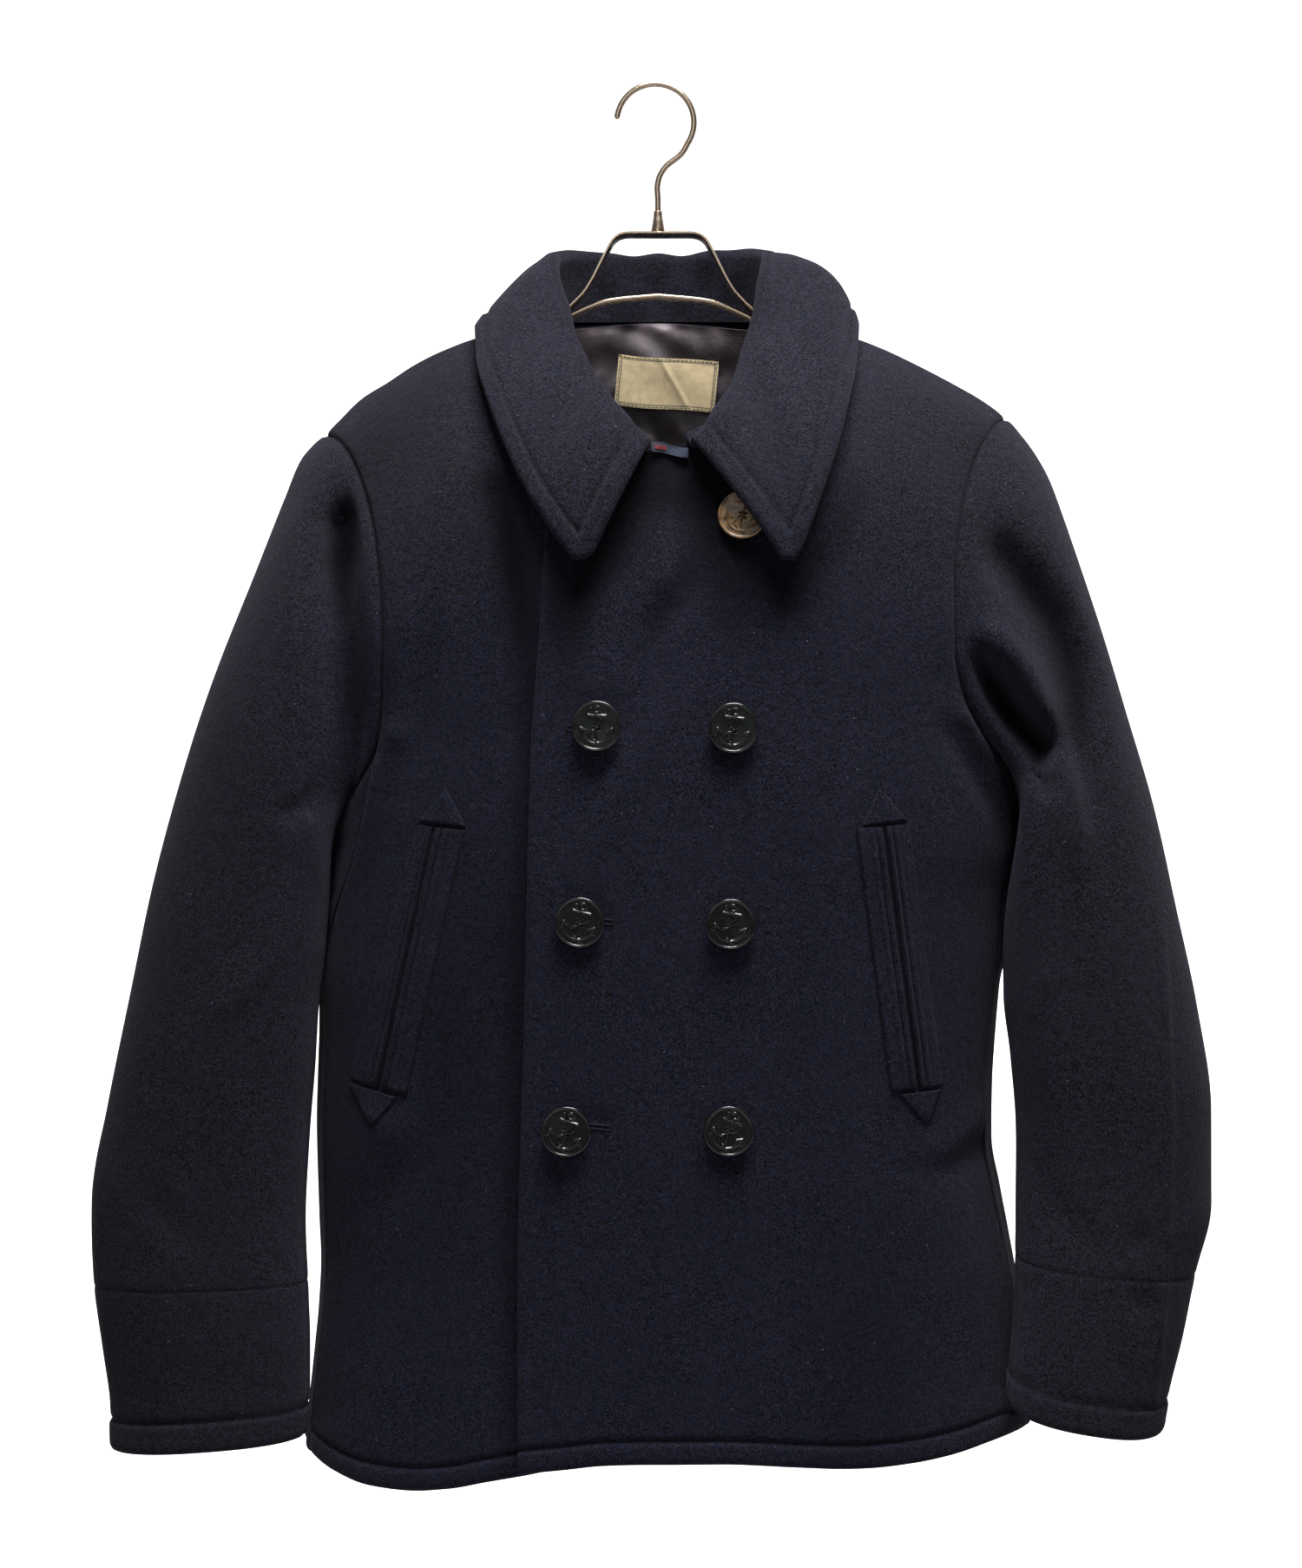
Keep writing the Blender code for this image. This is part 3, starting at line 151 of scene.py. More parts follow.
ARMHOLE_FRONT = {
    -1: Table(
        "t x y",
        """0 208 0, 0.14 192 -28, 0.25 180.5 -45, 0.35 172 -58, 0.45 167.5 -67, 0.55 166 -71,
        0.65 167 -70, 0.72 171 -66, 0.8 182 -54, 0.9 196 -28, 1 204 4""",
    ),
    1: Table(
        "t x y",
        """0 217 0, 0.14 203 -28, 0.25 191 -45, 0.35 183.5 -58, 0.45 179 -66, 0.56 179 -70,
        0.63 184 -67, 0.7 195 -59, 0.74 206 -50, 0.79 215 -39, 0.88 221 -21, 1 223 4""",
    ),
}

ARMHOLE_BACK = Table(
    "t inward y",
    """0 0 0, 0.15 13 30, 0.3 26 51, 0.5 33 64, 0.65 30 62, 0.8 17 46, 0.9 6 27, 1 0 4""",
)

SIDE_WIDTH = {
    -1: Table(
        "z x",
        """-380 202, -456 204, -526 207.5, -560 210, -594 209.5, -648 210.5, -702 209.5,
        -729 208.5, -756 210, -783 213, -810 216, -837 218.5, -870 219""",
    ),
    1: Table(
        "z x",
        """-380 222, -452 225, -471 224, -500 217.5, -540 214, -585 209.5, -617 207, -654 206,
        -684 211, -714 217, -740 222, -790 229, -828 232, -870 233""",
    ),
}

FRONT_SEAM = {
    -1: Table(
        "z share",
        """-400 0.83, -430 0.864, -460 0.889, -484 0.916, -505 0.95, -540 0.972, -870 0.975""",
    ),
    1: Table("z share", "-395 0.862, -425 0.925, -448 0.965, -480 0.975, -870 0.975"),
}

BACK_SEAM = Table("z share", "-390 0.87, -430 0.93, -470 0.965, -520 0.975, -870 0.975")

DEPTH_FRONT = Table(
    "z y", "-225 -73, -270 -81, -330 -87, -430 -90, -560 -88, -700 -87, -870 -93"
)

DEPTH_BACK = Table(
    "z y", "-135 66, -180 75, -250 80, -330 82, -450 80, -560 76, -700 79, -870 87"
)

SHOULDER_LINE = {
    -1: Table("x z", "76 -146, 112 -155, 137 -165, 153 -173.5, 169 -184, 185 -193.5, 208 -216"),
    1: Table("x z", "76 -146, 122 -155.5, 139 -162, 155 -169.5, 187 -186, 204 -196, 217 -206.5"),
}

HEM_UNDER = Table(
    "x z",
    """-219 -840, -211 -844.5, -200 -850, -175 -857, -150 -858.5, -126 -856, -103 -851, -84 -847.5,
    -40 -840, 90 -838""",
)

HEM_OVER = Table(
    "x z",
    """-90 -846, -56 -842.5, -33 -840, 0 -839, 38 -839, 84 -841.5, 107 -842.5, 130 -843,
    155 -841.5, 179 -838, 204 -832, 233 -826""",
)

HEM_BACK = Table("x z", "-219 -840, -185 -845, -120 -847, 0 -847, 120 -844, 192 -836, 233 -826")

LAP_EDGE = Table(
    "z x", "-230 -66, -300 -69.5, -420 -76, -580 -80, -700 -83.5, -760 -84, -870 -83"
)

SLEEVE_NAMES = "ring ox oz ix iz half shift lean dip"
SLEEVE = {
    -1: Table(
        SLEEVE_NAMES,
        """0 208 -216 204 -456 71 0 0 0, 1 222 -230 205.6 -463 70 0 4 0,
        2 233 -256 206.6 -471 69 0 8 0, 3 243.9 -284.1 207.1 -480 68 -1 11 0,
        4 253.8 -310.1 207.4 -489.9 67 -2 13 0, 5 270.5 -355.1 207.8 -504.9 66 -4 14 0,
        6 289.1 -410.1 208.1 -521.7 63 -7 13 0, 7 303.6 -460.9 209.1 -541.5 60 -10 12 0,
        8 317.1 -514.5 211.3 -567.2 57 -13 10 0, 9 328.1 -571 213 -602.8 54 -16 8 0,
        10 339.1 -630.3 216 -648.1 50 -19 6 0, 11 347.9 -689.3 217.2 -694.3 46 -23 5 0,
        12 345.8 -740.2 215.4 -737.2 43 -27 4 1, 13 340.3 -777.3 213.7 -773.3 41 -30 3 1.5,
        14 335.1 -810.4 213.5 -805.5 39 -32 3 2, 15 333.8 -838.6 215.7 -829.8 38 -34 3 2""",
    ),
    1: Table(
        SLEEVE_NAMES,
        """0 217 -206.5 223 -452 70 0 0 0, 1 231 -223 226.4 -460 69 0 3 0,
        2 243 -243 227.4 -468 68 0 6 0, 3 251.9 -266.1 226.9 -477 67 -1 8 0,
        4 260.6 -292.2 223.8 -487.9 66 -3 10 0, 5 273.2 -332.3 219.6 -502.8 65 -6 11 0,
        6 288.8 -385.2 216.6 -519.6 63 -9 11 0, 7 306.2 -444.9 214.9 -539.4 60 -13 10 0,
        8 319.5 -507.4 214.6 -565 57 -17 8 0, 9 331.6 -568.6 218.3 -599.3 54 -22 7 0,
        10 339.1 -631.5 220.6 -642.3 50 -28 5 1, 11 339 -687.9 219.9 -685.9 46 -35 4 3,
        12 328 -730.2 218.7 -719.4 43 -42 3 5, 13 318.7 -768.4 216 -757.6 41 -49 2 6.5,
        14 310.1 -798.8 212.6 -788.1 39 -54 2 7.5, 15 305.3 -821.7 211.8 -806.1 38 -57 2 8""",
    ),
}

COLLAR_NAMES = "angle rx ry rz ex ey ez bow"
COLLAR = {
    -1: Table(
        COLLAR_NAMES,
        """84 4.5 -80 -226 39.5 -100 -299.5 4, 80 9 -78 -221.5 49 -101 -300.5 4,
        75 14 -75 -216.5 56 -100 -293.5 4, 67.5 21 -69 -206 64.6 -98 -282 4,
        60 28 -62 -196 74.3 -95 -267 4, 52.5 34 -54 -186 83.2 -90 -251 4,
        45 40 -46 -175 91.3 -83 -233 4, 37.5 46 -37 -163 98 -75 -217 4,
        30 50.5 -28 -151 103.4 -65 -201 5, 15 57 -11 -126 110 -38 -178 5,
        0 61 6 -107 112.5 -6 -153 3.5, -15 61 19 -100 111.5 18 -152 3.5,
        -30 56 33 -97 107 38 -156 4, -45 47 46 -95 95 57 -161 4, -60 34 56 -94 75 72 -166 3,
        -75 18 63 -94 43 82 -170 3, -90 0 66 -94 0 86 -172 3""",
    ),
    1: Table(
        COLLAR_NAMES,
        """77 19 -81 -225 73.4 -104 -300.7 4, 72 26 -77 -219 80.3 -104 -301.2 4,
        67.5 31 -72 -211 86 -103 -292 4, 60 37.5 -63 -200 92 -101 -277 4,
        52.5 42.5 -54 -190 98.4 -97 -259 4, 45 46.5 -45 -178.5 104.5 -91 -241 4,
        37.5 50.5 -36 -167 110.2 -83 -223 4, 30 54.5 -27 -154 114.5 -71 -205 5,
        15 60.5 -10 -126 120 -42 -178 9, 0 64 8 -105 122 -8 -152 14,
        -15 64.5 21 -98 121 18 -152 15, -30 59 34 -95.5 116 38 -157 13,
        -45 49 46 -94 101 57 -161 9, -60 35.5 56 -93.5 77 72 -166 5,
        -75 18.5 63 -94 44 82 -170 3, -90 0 66 -94 0 86 -172 3""",
    ),
}
ROLL_RADIUS = 3.9

SEAM_RISE = Table(
    "angle gap", "-90 0.7, -15 0.8, 0 1, 15 1.2, 35 1.6, 50 2.2, 60 1.6, 72 2.6, 90 2.8"
)

BUTTONS = Table(
    "x z turn brown",
    """-36.5 -399.2 3 0, 44.4 -400.4 8 0, -46.5 -515.7 14 0, 42.7 -516.7 10 0, -54.5 -640.5 19 0,
    41.7 -640.2 22 0, 52 -274.6 12 1""",
)
BUTTON_NAMES = (
    "chest_right chest_left waist_right waist_left hip_right hip_left collar_left".split()
)

# Welts of the pockets, as X and Z of their upper and lower ends, and the arrowheads.
POCKETS = {
    -1: {"top": (-145.5, -457.6, -115.0, -461.4), "foot": (-187.9, -612.6, -151.0, -620.8)},
    1: {"top": (117.5, -460.2, 151.0, -457.0), "foot": (139.5, -618.6, 173.2, -616.5)},
}
ARROWS = {
    -1: {
        "top": (-143.8, -455.7, -115.4, -459.2, -127.8, -435.6),
        "foot": (-187.7, -615.0, -156.6, -622.4, -172.3, -640.7),
    },
    1: {
        "top": (122.0, -458.5, 149.3, -455.3, 132.5, -435.8),
        "foot": (145.0, -620.5, 170.9, -618.3, 162.3, -639.1),
    },
}


def folds(text):
    """Lines from their text: a width, then points of three numbers each."""
    found = []
    for part in text.split(";"):
        width, line = part.split(":")
        points = [tuple(float(v) for v in point.split()) for point in line.split(",")]
        found.append((float(width), points))
    return found


# Creases, each a width and points of X, Z and depth. A ridge has a negative
# depth. "left" and "right" are the wearer's; X is a distance from the middle on the
# sleeves and sides, and a signed place on the fronts and back.
SLEEVE_FOLDS = {
    -1: folds("""
    12: 191 -256 7, 193 -275 19, 193 -300 12, 191 -325 4;
    18: 192 -305 7, 187 -345 13, 186 -395 13, 191 -438 8"""),
    1: folds("""
    17: 199 -280 6, 208 -294 14, 224 -314 19, 239 -336 20, 248 -358 20, 252 -380 18,
        253 -402 14, 258 -440 4;
    8: 191 -340 -3, 206 -346 -8, 223 -365 -10, 234 -388 -9, 239 -402 -2;
    8: 194 -362 12, 204 -376 24, 216 -393 27, 231 -411 20"""),
}

CREASES = {
    "front_over": folds("""
    13: 4 -262 -1, 4.5 -285 -3.2, 5 -312 -3.4, 8 -332 -0.8;
    9: 22 -305 1, 16 -316 2.6, 7 -329 3, -5 -343 2.4, -16 -362 0.8;
    5: 10 -266 1, 11 -290 1.8, 12 -314 0.8;
    15: -5 -372 0.6, -20 -398 1.8, -34 -428 2, -58 -470 0.6;
    13: 10 -378 -0.4, -8 -405 -1.8, -22 -434 -2, -44 -480 -0.6;
    7: 172 -383 -0.6, 185 -394 -3.2, 200 -414 -3.6, 214 -436 -1;
    7: 178 -404 1, 190 -422 3, 203 -446 2.6, 210 -470 0.6;
    9: 150 -652 -0.5, 172 -654 -1.7, 193 -641 -1.7, 207 -622 -0.5;
    9: 152 -668 0.4, 178 -669 1.7, 201 -653 1.7, 214 -634 0.5;
    12: 196 -650 0.8, 198 -690 2.6, 200 -722 1;
    22: 88 -480 0.5, 84 -560 1.8, 80 -650 2.2, 82 -760 1.4, 84 -840 1.2;
    24: 120 -660 -0.5, 122 -740 -1.8, 118 -842 -2.4;
    20: 8 -560 -0.4, 4 -680 -1.4, 2 -838 -1.6;
    16: 100 -330 0.4, 112 -390 1.4, 104 -440 0.5;
    14: 140 -240 0.3, 150 -290 1.6, 148 -345 0.6"""),
    "front_under": folds("""
    12: -95 -262 5, -88 -300 7.5, -82 -345 6, -79 -385 3, -80 -425 1;
    8: -149 -306 -0.8, -151 -330 -2.8, -155 -356 -3.4, -158 -404 -2.6;
    8: -158 -404 -2.6, -167 -430 -3, -174 -456 -2.4, -182 -484 -0.8;
    9: -138 -310 0.6, -141 -350 2.2, -146 -400 2.2, -154 -440 1;
    14: -97 -520 0.5, -96 -540 2.6, -94 -585 3.2, -98 -632 1;
    14: -152 -628 -0.8, -164 -642 -3, -176 -656 -0.8;
    12: -150 -668 0.6, -168 -684 1.8, -188 -700 0.6;
    22: -140 -690 0.4, -142 -770 1.6, -140 -856 1.8;
    22: -112 -660 -0.4, -110 -760 -1.6, -108 -850 -1.8;
    20: -120 -470 -0.3, -124 -540 -1.6, -130 -600 -0.5;
    14: -112 -262 0.4, -118 -300 1.6, -116 -345 0.5;
    12: -196 -560 0.4, -198 -640 1.6, -196 -720 0.5"""),
    "back": folds("""
    26: -14 -210 0.4, -12 -320 1.8, -6 -450 2.6, 2 -600 2, 6 -840 2.2;
    22: -70 -300 -0.4, -82 -400 -2.2, -90 -520 -2, -96 -700 -2.6, -98 -842 -3;
    24: 66 -320 -0.3, 80 -420 -2, 86 -560 -2.4, 94 -720 -2, 98 -840 -2.8;
    18: -132 -470 0.3, -138 -580 2.2, -142 -720 2.6, -140 -842 3.2;
    18: 138 -500 0.4, 142 -620 2.4, 148 -740 2.2, 150 -838 3;
    10: -168 -300 1, -156 -345 3.2, -150 -395 2.4, -156 -440 0.6;
    10: 160 -290 0.8, 150 -340 3, 147 -385 2.6, 154 -430 0.6;
    8: -178 -380 -0.6, -166 -412 -2.6, -150 -448 -2, -128 -480 -0.5;
    9: 176 -372 -0.5, 160 -408 -2.4, 142 -440 -1.8, 120 -470 -0.5;
    12: -60 -186 0.4, -20 -194 1.6, 30 -193 1.8, 72 -186 0.5"""),
    "sleeve_right": folds("""
    3.6: 220 -258 -0.4, 221 -275 -2, 220 -300 -2.2, 222 -330 -1.8, 222 -360 -0.5;
    9: 190 -250 1, 191 -268 5, 190 -292 5, 192 -330 2;
    16: 262 -420 0.4, 268 -500 1.8, 276 -590 2, 284 -680 1;
    9: 236 -470 0.5, 242 -500 2.2, 254 -530 1.6, 270 -548 0.4;
    8: 226 -520 -0.4, 238 -548 -1.8, 256 -566 -1.4, 272 -574 -0.4;
    10: 318 -660 0.5, 304 -690 2, 286 -706 1.6, 268 -712 0.4;
    5: 338 -600 -0.5, 342 -660 -1.4, 342 -720 -1.6, 334 -800 -1.2, 331 -834 -0.8;
    6: 205 -432 1, 212 -446 4, 222 -452 3, 232 -450 0.6"""),
    "sleeve_left": folds("""
    10: 256 -395 1.6, 262 -430 3, 268 -465 2.6, 272 -505 0.8;
    9: 238 -400 -0.5, 246 -430 -2.4, 252 -465 -2.2, 256 -500 -0.6;
    6.5: 224 -418 2, 229 -426 9, 234 -435 6;
    9: 246 -420 -1, 249 -447 -3.4, 250 -476 -1;
    2.8: 305 -515 -0.4, 306 -545 -1.9, 307 -585 -2.1, 308 -640 -2, 306 -705 -1.9;
    2.8: 306 -705 -1.9, 303 -745 -2, 300 -775 -1.9, 297 -806 -1.3;
    8: 282 -700 0.4, 290 -708 2.8, 298 -712 0.6;
    8: 280 -738 0.4, 290 -745 2.6, 298 -748 0.6;
    18: 232 -510 -0.6, 235 -550 -2.4, 235 -605 -2, 240 -650 -0.4;
    12: 260 -560 0.5, 266 -610 2, 268 -670 1.8, 262 -720 0.6;
    9: 226 -660 0.4, 240 -690 1.8, 262 -712 1.4, 280 -720 0.3"""),
    "sleeve_back": folds("""
    10: 214 -300 1, 226 -330 5, 236 -368 5.5, 240 -410 3, 238 -440 0.8;
    9: 236 -300 -0.5, 250 -335 -2.6, 258 -380 -2.6, 258 -430 -0.8;
    10: 300 -520 0.4, 284 -548 2.6, 262 -566 2.8, 240 -572 0.6;
    8: 304 -548 -0.4, 286 -574 -2, 262 -590 -1.8, 242 -594 -0.4;
    11: 318 -610 0.4, 300 -640 2.2, 276 -660 2.4, 252 -666 0.5;
    3: 312 -500 -0.4, 322 -580 -1.6, 326 -660 -1.8, 322 -740 -1.6, 314 -806 -1;
    12: 236 -640 0.4, 240 -690 1.8, 246 -740 1.2"""),
    "side": folds("""
    6: -34 -462 -1.4, -10 -464 -2.4, 26 -466 -1.4;
    12: -32 -490 -1.2, -4 -492 -2, 26 -490 -1.2;
    13: -32 -514 -1.8, -4 -516 -2.8, 26 -514 -1.8;
    10: -32 -538 -1.6, -4 -540 -2.4, 26 -538 -1.6;
    12: -20 -500 0.4, -14 -560 2.4, -12 -640 2.6, -10 -740 1.6, -8 -836 1.8;
    12: 22 -480 0.3, 24 -560 2, 26 -660 2.2, 24 -760 1.6, 22 -836 1.4;
    10: 4 -520 -0.4, 6 -600 -2, 8 -700 -2.2, 8 -836 -2"""),
}


# Places that little light reaches: under the collar's leaves, beside the lap and round
# the buttonholes. The third number of a point is how dark it is, from 0 to 1.
SHADES = {
    "front_over": folds("""
    13: -8 -240 0.8, -12 -262 0.85, -26 -290 0.9, -45 -318 0.9, -53 -348 0.55, -56 -378 0.15;
    10: -62 -292 0.5, -62 -320 0.55, -60 -345 0.3;
    15: 20 -244 0.8, 34 -272 0.8, 54 -300 0.8, 78 -322 0.65;
    11: 92 -304 0.5, 106 -282 0.45, 118 -255 0.35;
    14: -4 -240 0.8, 2 -262 0.7;
    14: -22 -258 0.6, -30 -296 0.5;
    15: 24 -262 0.6, 34 -300 0.6, 44 -334 0.4;
    34: 150 -196 0.15, 196 -226 0.15;
    8: 18 -300 0.3, 12 -322 0.45, -2 -342 0.4, -14 -362 0.15;
    6: -38 -502 0.45, -28 -508 0.3;
    6: -42 -626 0.45, -28 -631 0.35;
    9: -52 -380 0.25, -30 -381 0.3;
    34: 120 -690 0.1, 124 -760 0.3, 120 -840 0.3"""),
    "front_under": folds("""
    13: -97 -252 0.7, -88 -300 0.8, -82 -345 0.7, -79 -380 0.4;
    7: -79 -370 0.35, -82 -450 0.5, -86 -580 0.5, -89 -700 0.5, -90 -850 0.35;
    34: -130 -176 0.3, -160 -212 0.35, -196 -226 0.25;
    32: -118 -470 0.15, -120 -540 0.3, -118 -620 0.3, -112 -700 0.1"""),
}


def crease_depth(across, up, width, line):
    """Depth of one crease: its own depth, read along its line, times a bell of the distance
    from the line."""
    line = np.array(line, float)
    best = np.full(across.shape, 1e9)
    amount = np.zeros(across.shape)
    flat = np.stack([across, up], -1)
    for start, end in zip(line[:-1], line[1:]):
        run = end[:2] - start[:2]
        f = np.clip(np.sum((flat - start[:2]) * run, -1) / np.dot(run, run), 0, 1)
        gap = np.linalg.norm(flat - (start[:2] + f[..., None] * run), axis=-1)
        near = gap < best
        best = np.where(near, gap, best)
        amount = np.where(near, start[2] + (end[2] - start[2]) * f, amount)
    return amount * bell(best, width)


def creases(name, across, up):
    """Sum of the named set of creases at these places."""
    total = np.zeros(across.shape)
    for width, line in CREASES[name]:
        total += crease_depth(across, up, width, line)
    return total


def shade(name, across, up):
    """How dark the named set of shades makes the cloth at these places."""
    lit = np.ones(across.shape)
    for width, line in SHADES[name]:
        lit *= 1 - crease_depth(across, up, width, line)
    return 1 - lit


def hang(points):
    """Slow uneven waves of hanging cloth: sines of unlike lengths over X, Y and Z."""
    x, y, z = points[..., 0], points[..., 1], points[..., 2]
    wave = 0.50 * np.sin(x / 33 + z / 118 + 0.7)
    wave += 0.38 * np.sin(z / 41 - x / 88 + y / 60 + 2.1)
    wave += 0.26 * np.sin(x / 17 + y / 29 - z / 150 + 4.0)
    wave += 0.20 * np.sin(z / 19 + x / 47 - y / 37 + 1.3)
    return wave * 0.8


def armhole_height(side, t):
    """Height down the armhole: half a cosine wave from the shoulder to the underarm."""
    top = SHOULDER[side]["z"]
    low = SHOULDER[side]["under_z"]
    return top + (low - top) * (1 - np.cos(math.pi * np.asarray(t, float))) / 2


def section_share(share):
    """Depth share of a rounded-oblong section at this share of its half width."""
    inside = np.clip(1 - np.clip(np.abs(share), 0, 1) ** SECTION_POWER, 0, 1)
    return inside ** (1 / SECTION_POWER)


def section_share_inverse(depth_share):
    """Share of the half width at which the section has this share of its depth."""
    return np.clip(1 - depth_share**SECTION_POWER, 1e-6, 1) ** (1 / SECTION_POWER)


def side_width(side, z):
    return SIDE_WIDTH[side].at("x", z)


def seam_share(face, side, z):
    """Where the panel's side seam lies, as a share of the body's half width."""
    if face < 0:
        return FRONT_SEAM[side].at("share", z)
    return BACK_SEAM.at("share", z)


def depth(face, z):
    """Y of the body's middle at a height."""
    table = DEPTH_FRONT if face < 0 else DEPTH_BACK
    return table.at("y", z)


def armhole_raw(face, side, t):
    """X and Y of the armhole: from its table in front, and behind a straight line drawn in."""
    if face < 0:
        table = ARMHOLE_FRONT[side]
        return table.at("x", t), table.at("y", t)
    top = SHOULDER[side]["x"]
    low = SHOULDER[side]["under_x"]
    t = np.asarray(t, float)
    return top + (low - top) * t - ARMHOLE_BACK.at("inward", t), ARMHOLE_BACK.at("y", t)


def armhole(face, side, t):
    """Points of the armhole: its table's curve, drawn onto the panel's seam near SEAM_T."""
    t = np.asarray(t, float)
    x, y = armhole_raw(face, side, t)
    z = armhole_height(side, t)
    z_seam = armhole_height(side, SEAM_T)
    x_seam, y_seam = armhole_raw(face, side, SEAM_T)
    wide = side_width(side, z_seam)
    share = seam_share(face, side, z_seam)
    near = bell(t - SEAM_T, 0.16)
    x = x + near * (wide * share - x_seam)
    y = y + near * (depth(face, z_seam) * section_share(share) - y_seam)
    return np.stack([side * x, y, z], -1)


def top_line(face, side, x):
    """Y and Z of the shoulder seam, and inside the neck points a round neckline."""
    x = np.abs(np.asarray(x, float))
    along = np.sqrt(np.clip(1 - (x / NECK_HALF_WIDTH) ** 2, 0, 1))
    shoulder_z = SHOULDER_LINE[side].at("z", x)
    out = np.clip((x - NECK_HALF_WIDTH) / (SHOULDER[side]["x"] - NECK_HALF_WIDTH), 0, 1)
    shoulder_y = NECK_POINT_Y * (1 - out)
    if face < 0:
        y = NECK_POINT_Y + (NECK_FRONT_Y - NECK_POINT_Y) * along
        z = NECK_POINT_Z + (NECK_CENTRE_Z - NECK_POINT_Z) * along**1.3
    else:
        y = NECK_POINT_Y + (NECK_BACK_Y - NECK_POINT_Y) * along
        z = NECK_POINT_Z + (NECK_BACK_Z - NECK_POINT_Z) * along
    inside = x < NECK_HALF_WIDTH
    return np.where(inside, y, shoulder_y), np.where(inside, z, shoulder_z)


def hem_height(face, x, over):
    if face > 0:
        return HEM_BACK.at("z", x)
    if over:
        return HEM_OVER.at("z", x)
    return HEM_UNDER.at("z", x)


def hem_edge(face, side):
    """Height of the hem at the panel's side seam."""
    x = side * SIDE_HEM_SHARE * side_width(side, HEM_EDGE_Z)
    return float(hem_height(face, x, side > 0))


def panel(face, side, share, row, over=False):
    """A point of the front (face -1) or back (face 1) of the coat.

    share is the distance from the middle over that of the panel's edge. row runs from
    0 at the shoulder and neck to 1 at the chest and from there to 2 at the hem. Above
    the chest a row joins the shoulder line to the chest line along the armhole; below
    it a row is a slice of the rounded-oblong body that widens to the hem.
    """
    share, row = np.broadcast_arrays(np.asarray(share, float), np.asarray(row, float))
    upper = np.clip(row, 0, 1)
    lower = np.clip(row - 1, 0, 1)

    edge = armhole(face, side, SEAM_T * upper)
    edge_seam = armhole(face, side, SEAM_T)
    drop = upper**1.45
    reach = np.sin(math.pi / 2 * np.clip(upper / 0.62, 0, 1))
    shoulder_x = SHOULDER[side]["x"]
    top_y, top_z = top_line(face, side, share * shoulder_x)
    chest_z = CHEST_Z + (edge_seam[..., 2] - CHEST_Z) * share**2
    neck_z = NECK_CENTRE_Z if face < 0 else NECK_BACK_Z
    middle_z = neck_z + (CHEST_Z - neck_z) * drop
    far = depth(face, middle_z)
    edge_x = np.abs(edge[..., 0])
    edge_share = np.clip(edge[..., 1] / np.where(reach < 1e-6, 1, reach * far), 0, 0.97)
    wide = edge_x / section_share_inverse(edge_share)
    x_up = share * edge_x
    y_up = (1 - reach) * top_y + reach * far * section_share(x_up / wide)
    lift = edge[..., 2] - ((1 - drop) * SHOULDER[side]["z"] + drop * edge_seam[..., 2])
    z_up = (1 - drop) * top_z + drop * chest_z + lift * share**3

    edge_low = edge_seam[..., 2] + (hem_edge(face, side) - edge_seam[..., 2]) * lower
    width_low = side_width(side, edge_low) * seam_share(face, side, edge_low)
    x_low = share * width_low
    hem_width = SIDE_HEM_SHARE * side_width(side, HEM_EDGE_Z)
    hem = hem_height(face, side * share * hem_width, over)
    z_low = chest_z + (hem - chest_z) * lower
    y_low = depth(face, z_low) * section_share(x_low / side_width(side, z_low))

    low = row > 1
    x = np.where(low, x_low, x_up)
    y = np.where(low, y_low, y_up)
    z = np.where(low, z_low, z_up)
    return np.stack([side * x, y, z], -1)


def edge_width(face, side, row):
    """Distance of a row's seam edge from the middle."""
    return np.abs(panel(face, side, 1.0, row, side > 0)[..., 0])


def rows_at_height(face, side, x, z, over):
    """Row numbers where the panel reaches heights z at distances x."""
    rows = np.linspace(0, 2, 161)
    widths = edge_width(face, side, rows)
    shares = np.clip(np.abs(x)[:, None] / widths, 0, 1)
    heights = panel(face, side, shares, rows[None, :], over)[..., 2]
    return np.array([np.interp(-v, -line, rows) for v, line in zip(z, heights)])


def grid_normals(points, outward, wrap=False):
    """Unit normals of a grid of points, turned to the side that outward points to."""
    if wrap:
        padded = np.concatenate([points[-1:], points, points[:1]])
        along = padded[2:] - padded[:-2]
    else:
        along = np.gradient(points, axis=0)
    across = np.gradient(points, axis=1)
    normals = unit(np.cross(along, across))
    if np.sum(normals * outward) < 0:
        normals = -normals
    return normals


def lap_top(x):
    """Top of the lap: the neck's middle height, lower by an ease and a slope to the side."""
    return NECK_CENTRE_Z - 4.0 * ease(np.abs(x), 0, 25) - 0.12 * np.abs(x)


def lap_lift(x, z):
    """How far the over front stands off its panel to clear the front below it."""
    return LAP_LIFT * (1 - ease(x, 98, 140)) * (1 - ease(z, -218, -172))


# Distances from a free edge at which a grid has its lines: close together in the
# rounded edge and where the topstitched groove lies.
EDGE_PLACES = Table(
    "gap", "0, 0.35, 0.9, 1.7, 2.7, 4.2, 6, 8, 9.8, 11.2, 12.3, 13.2, 14, 14.8, 15.7, 16.8, 18.4, "
    "20.6, 23.5",
).column("gap")
SEAM_PLACES = np.array([0, 0.5, 1.1, 1.9, 2.9, 4.2, 6.0, 8.4])
CUFF_MORE = 4.5
# A distance where there is no free edge near, and the turns, as shares of half a turn, at
# which a sleeve's two seams run down it.
FAR = 99.0
SLEEVE_SEAM_TURNS = (0.93, 1.62)


def places(length, start, end, step):
    """Distances from 0 to length: those of start, then even steps, then those of end mirrored."""
    low, high = start[-1], length - end[-1]
    count = max(2, int(round((high - low) / step)))
    middle = np.linspace(low, high, count + 1)[1:-1]
    return np.concatenate([start, middle, (length - end)[::-1]])


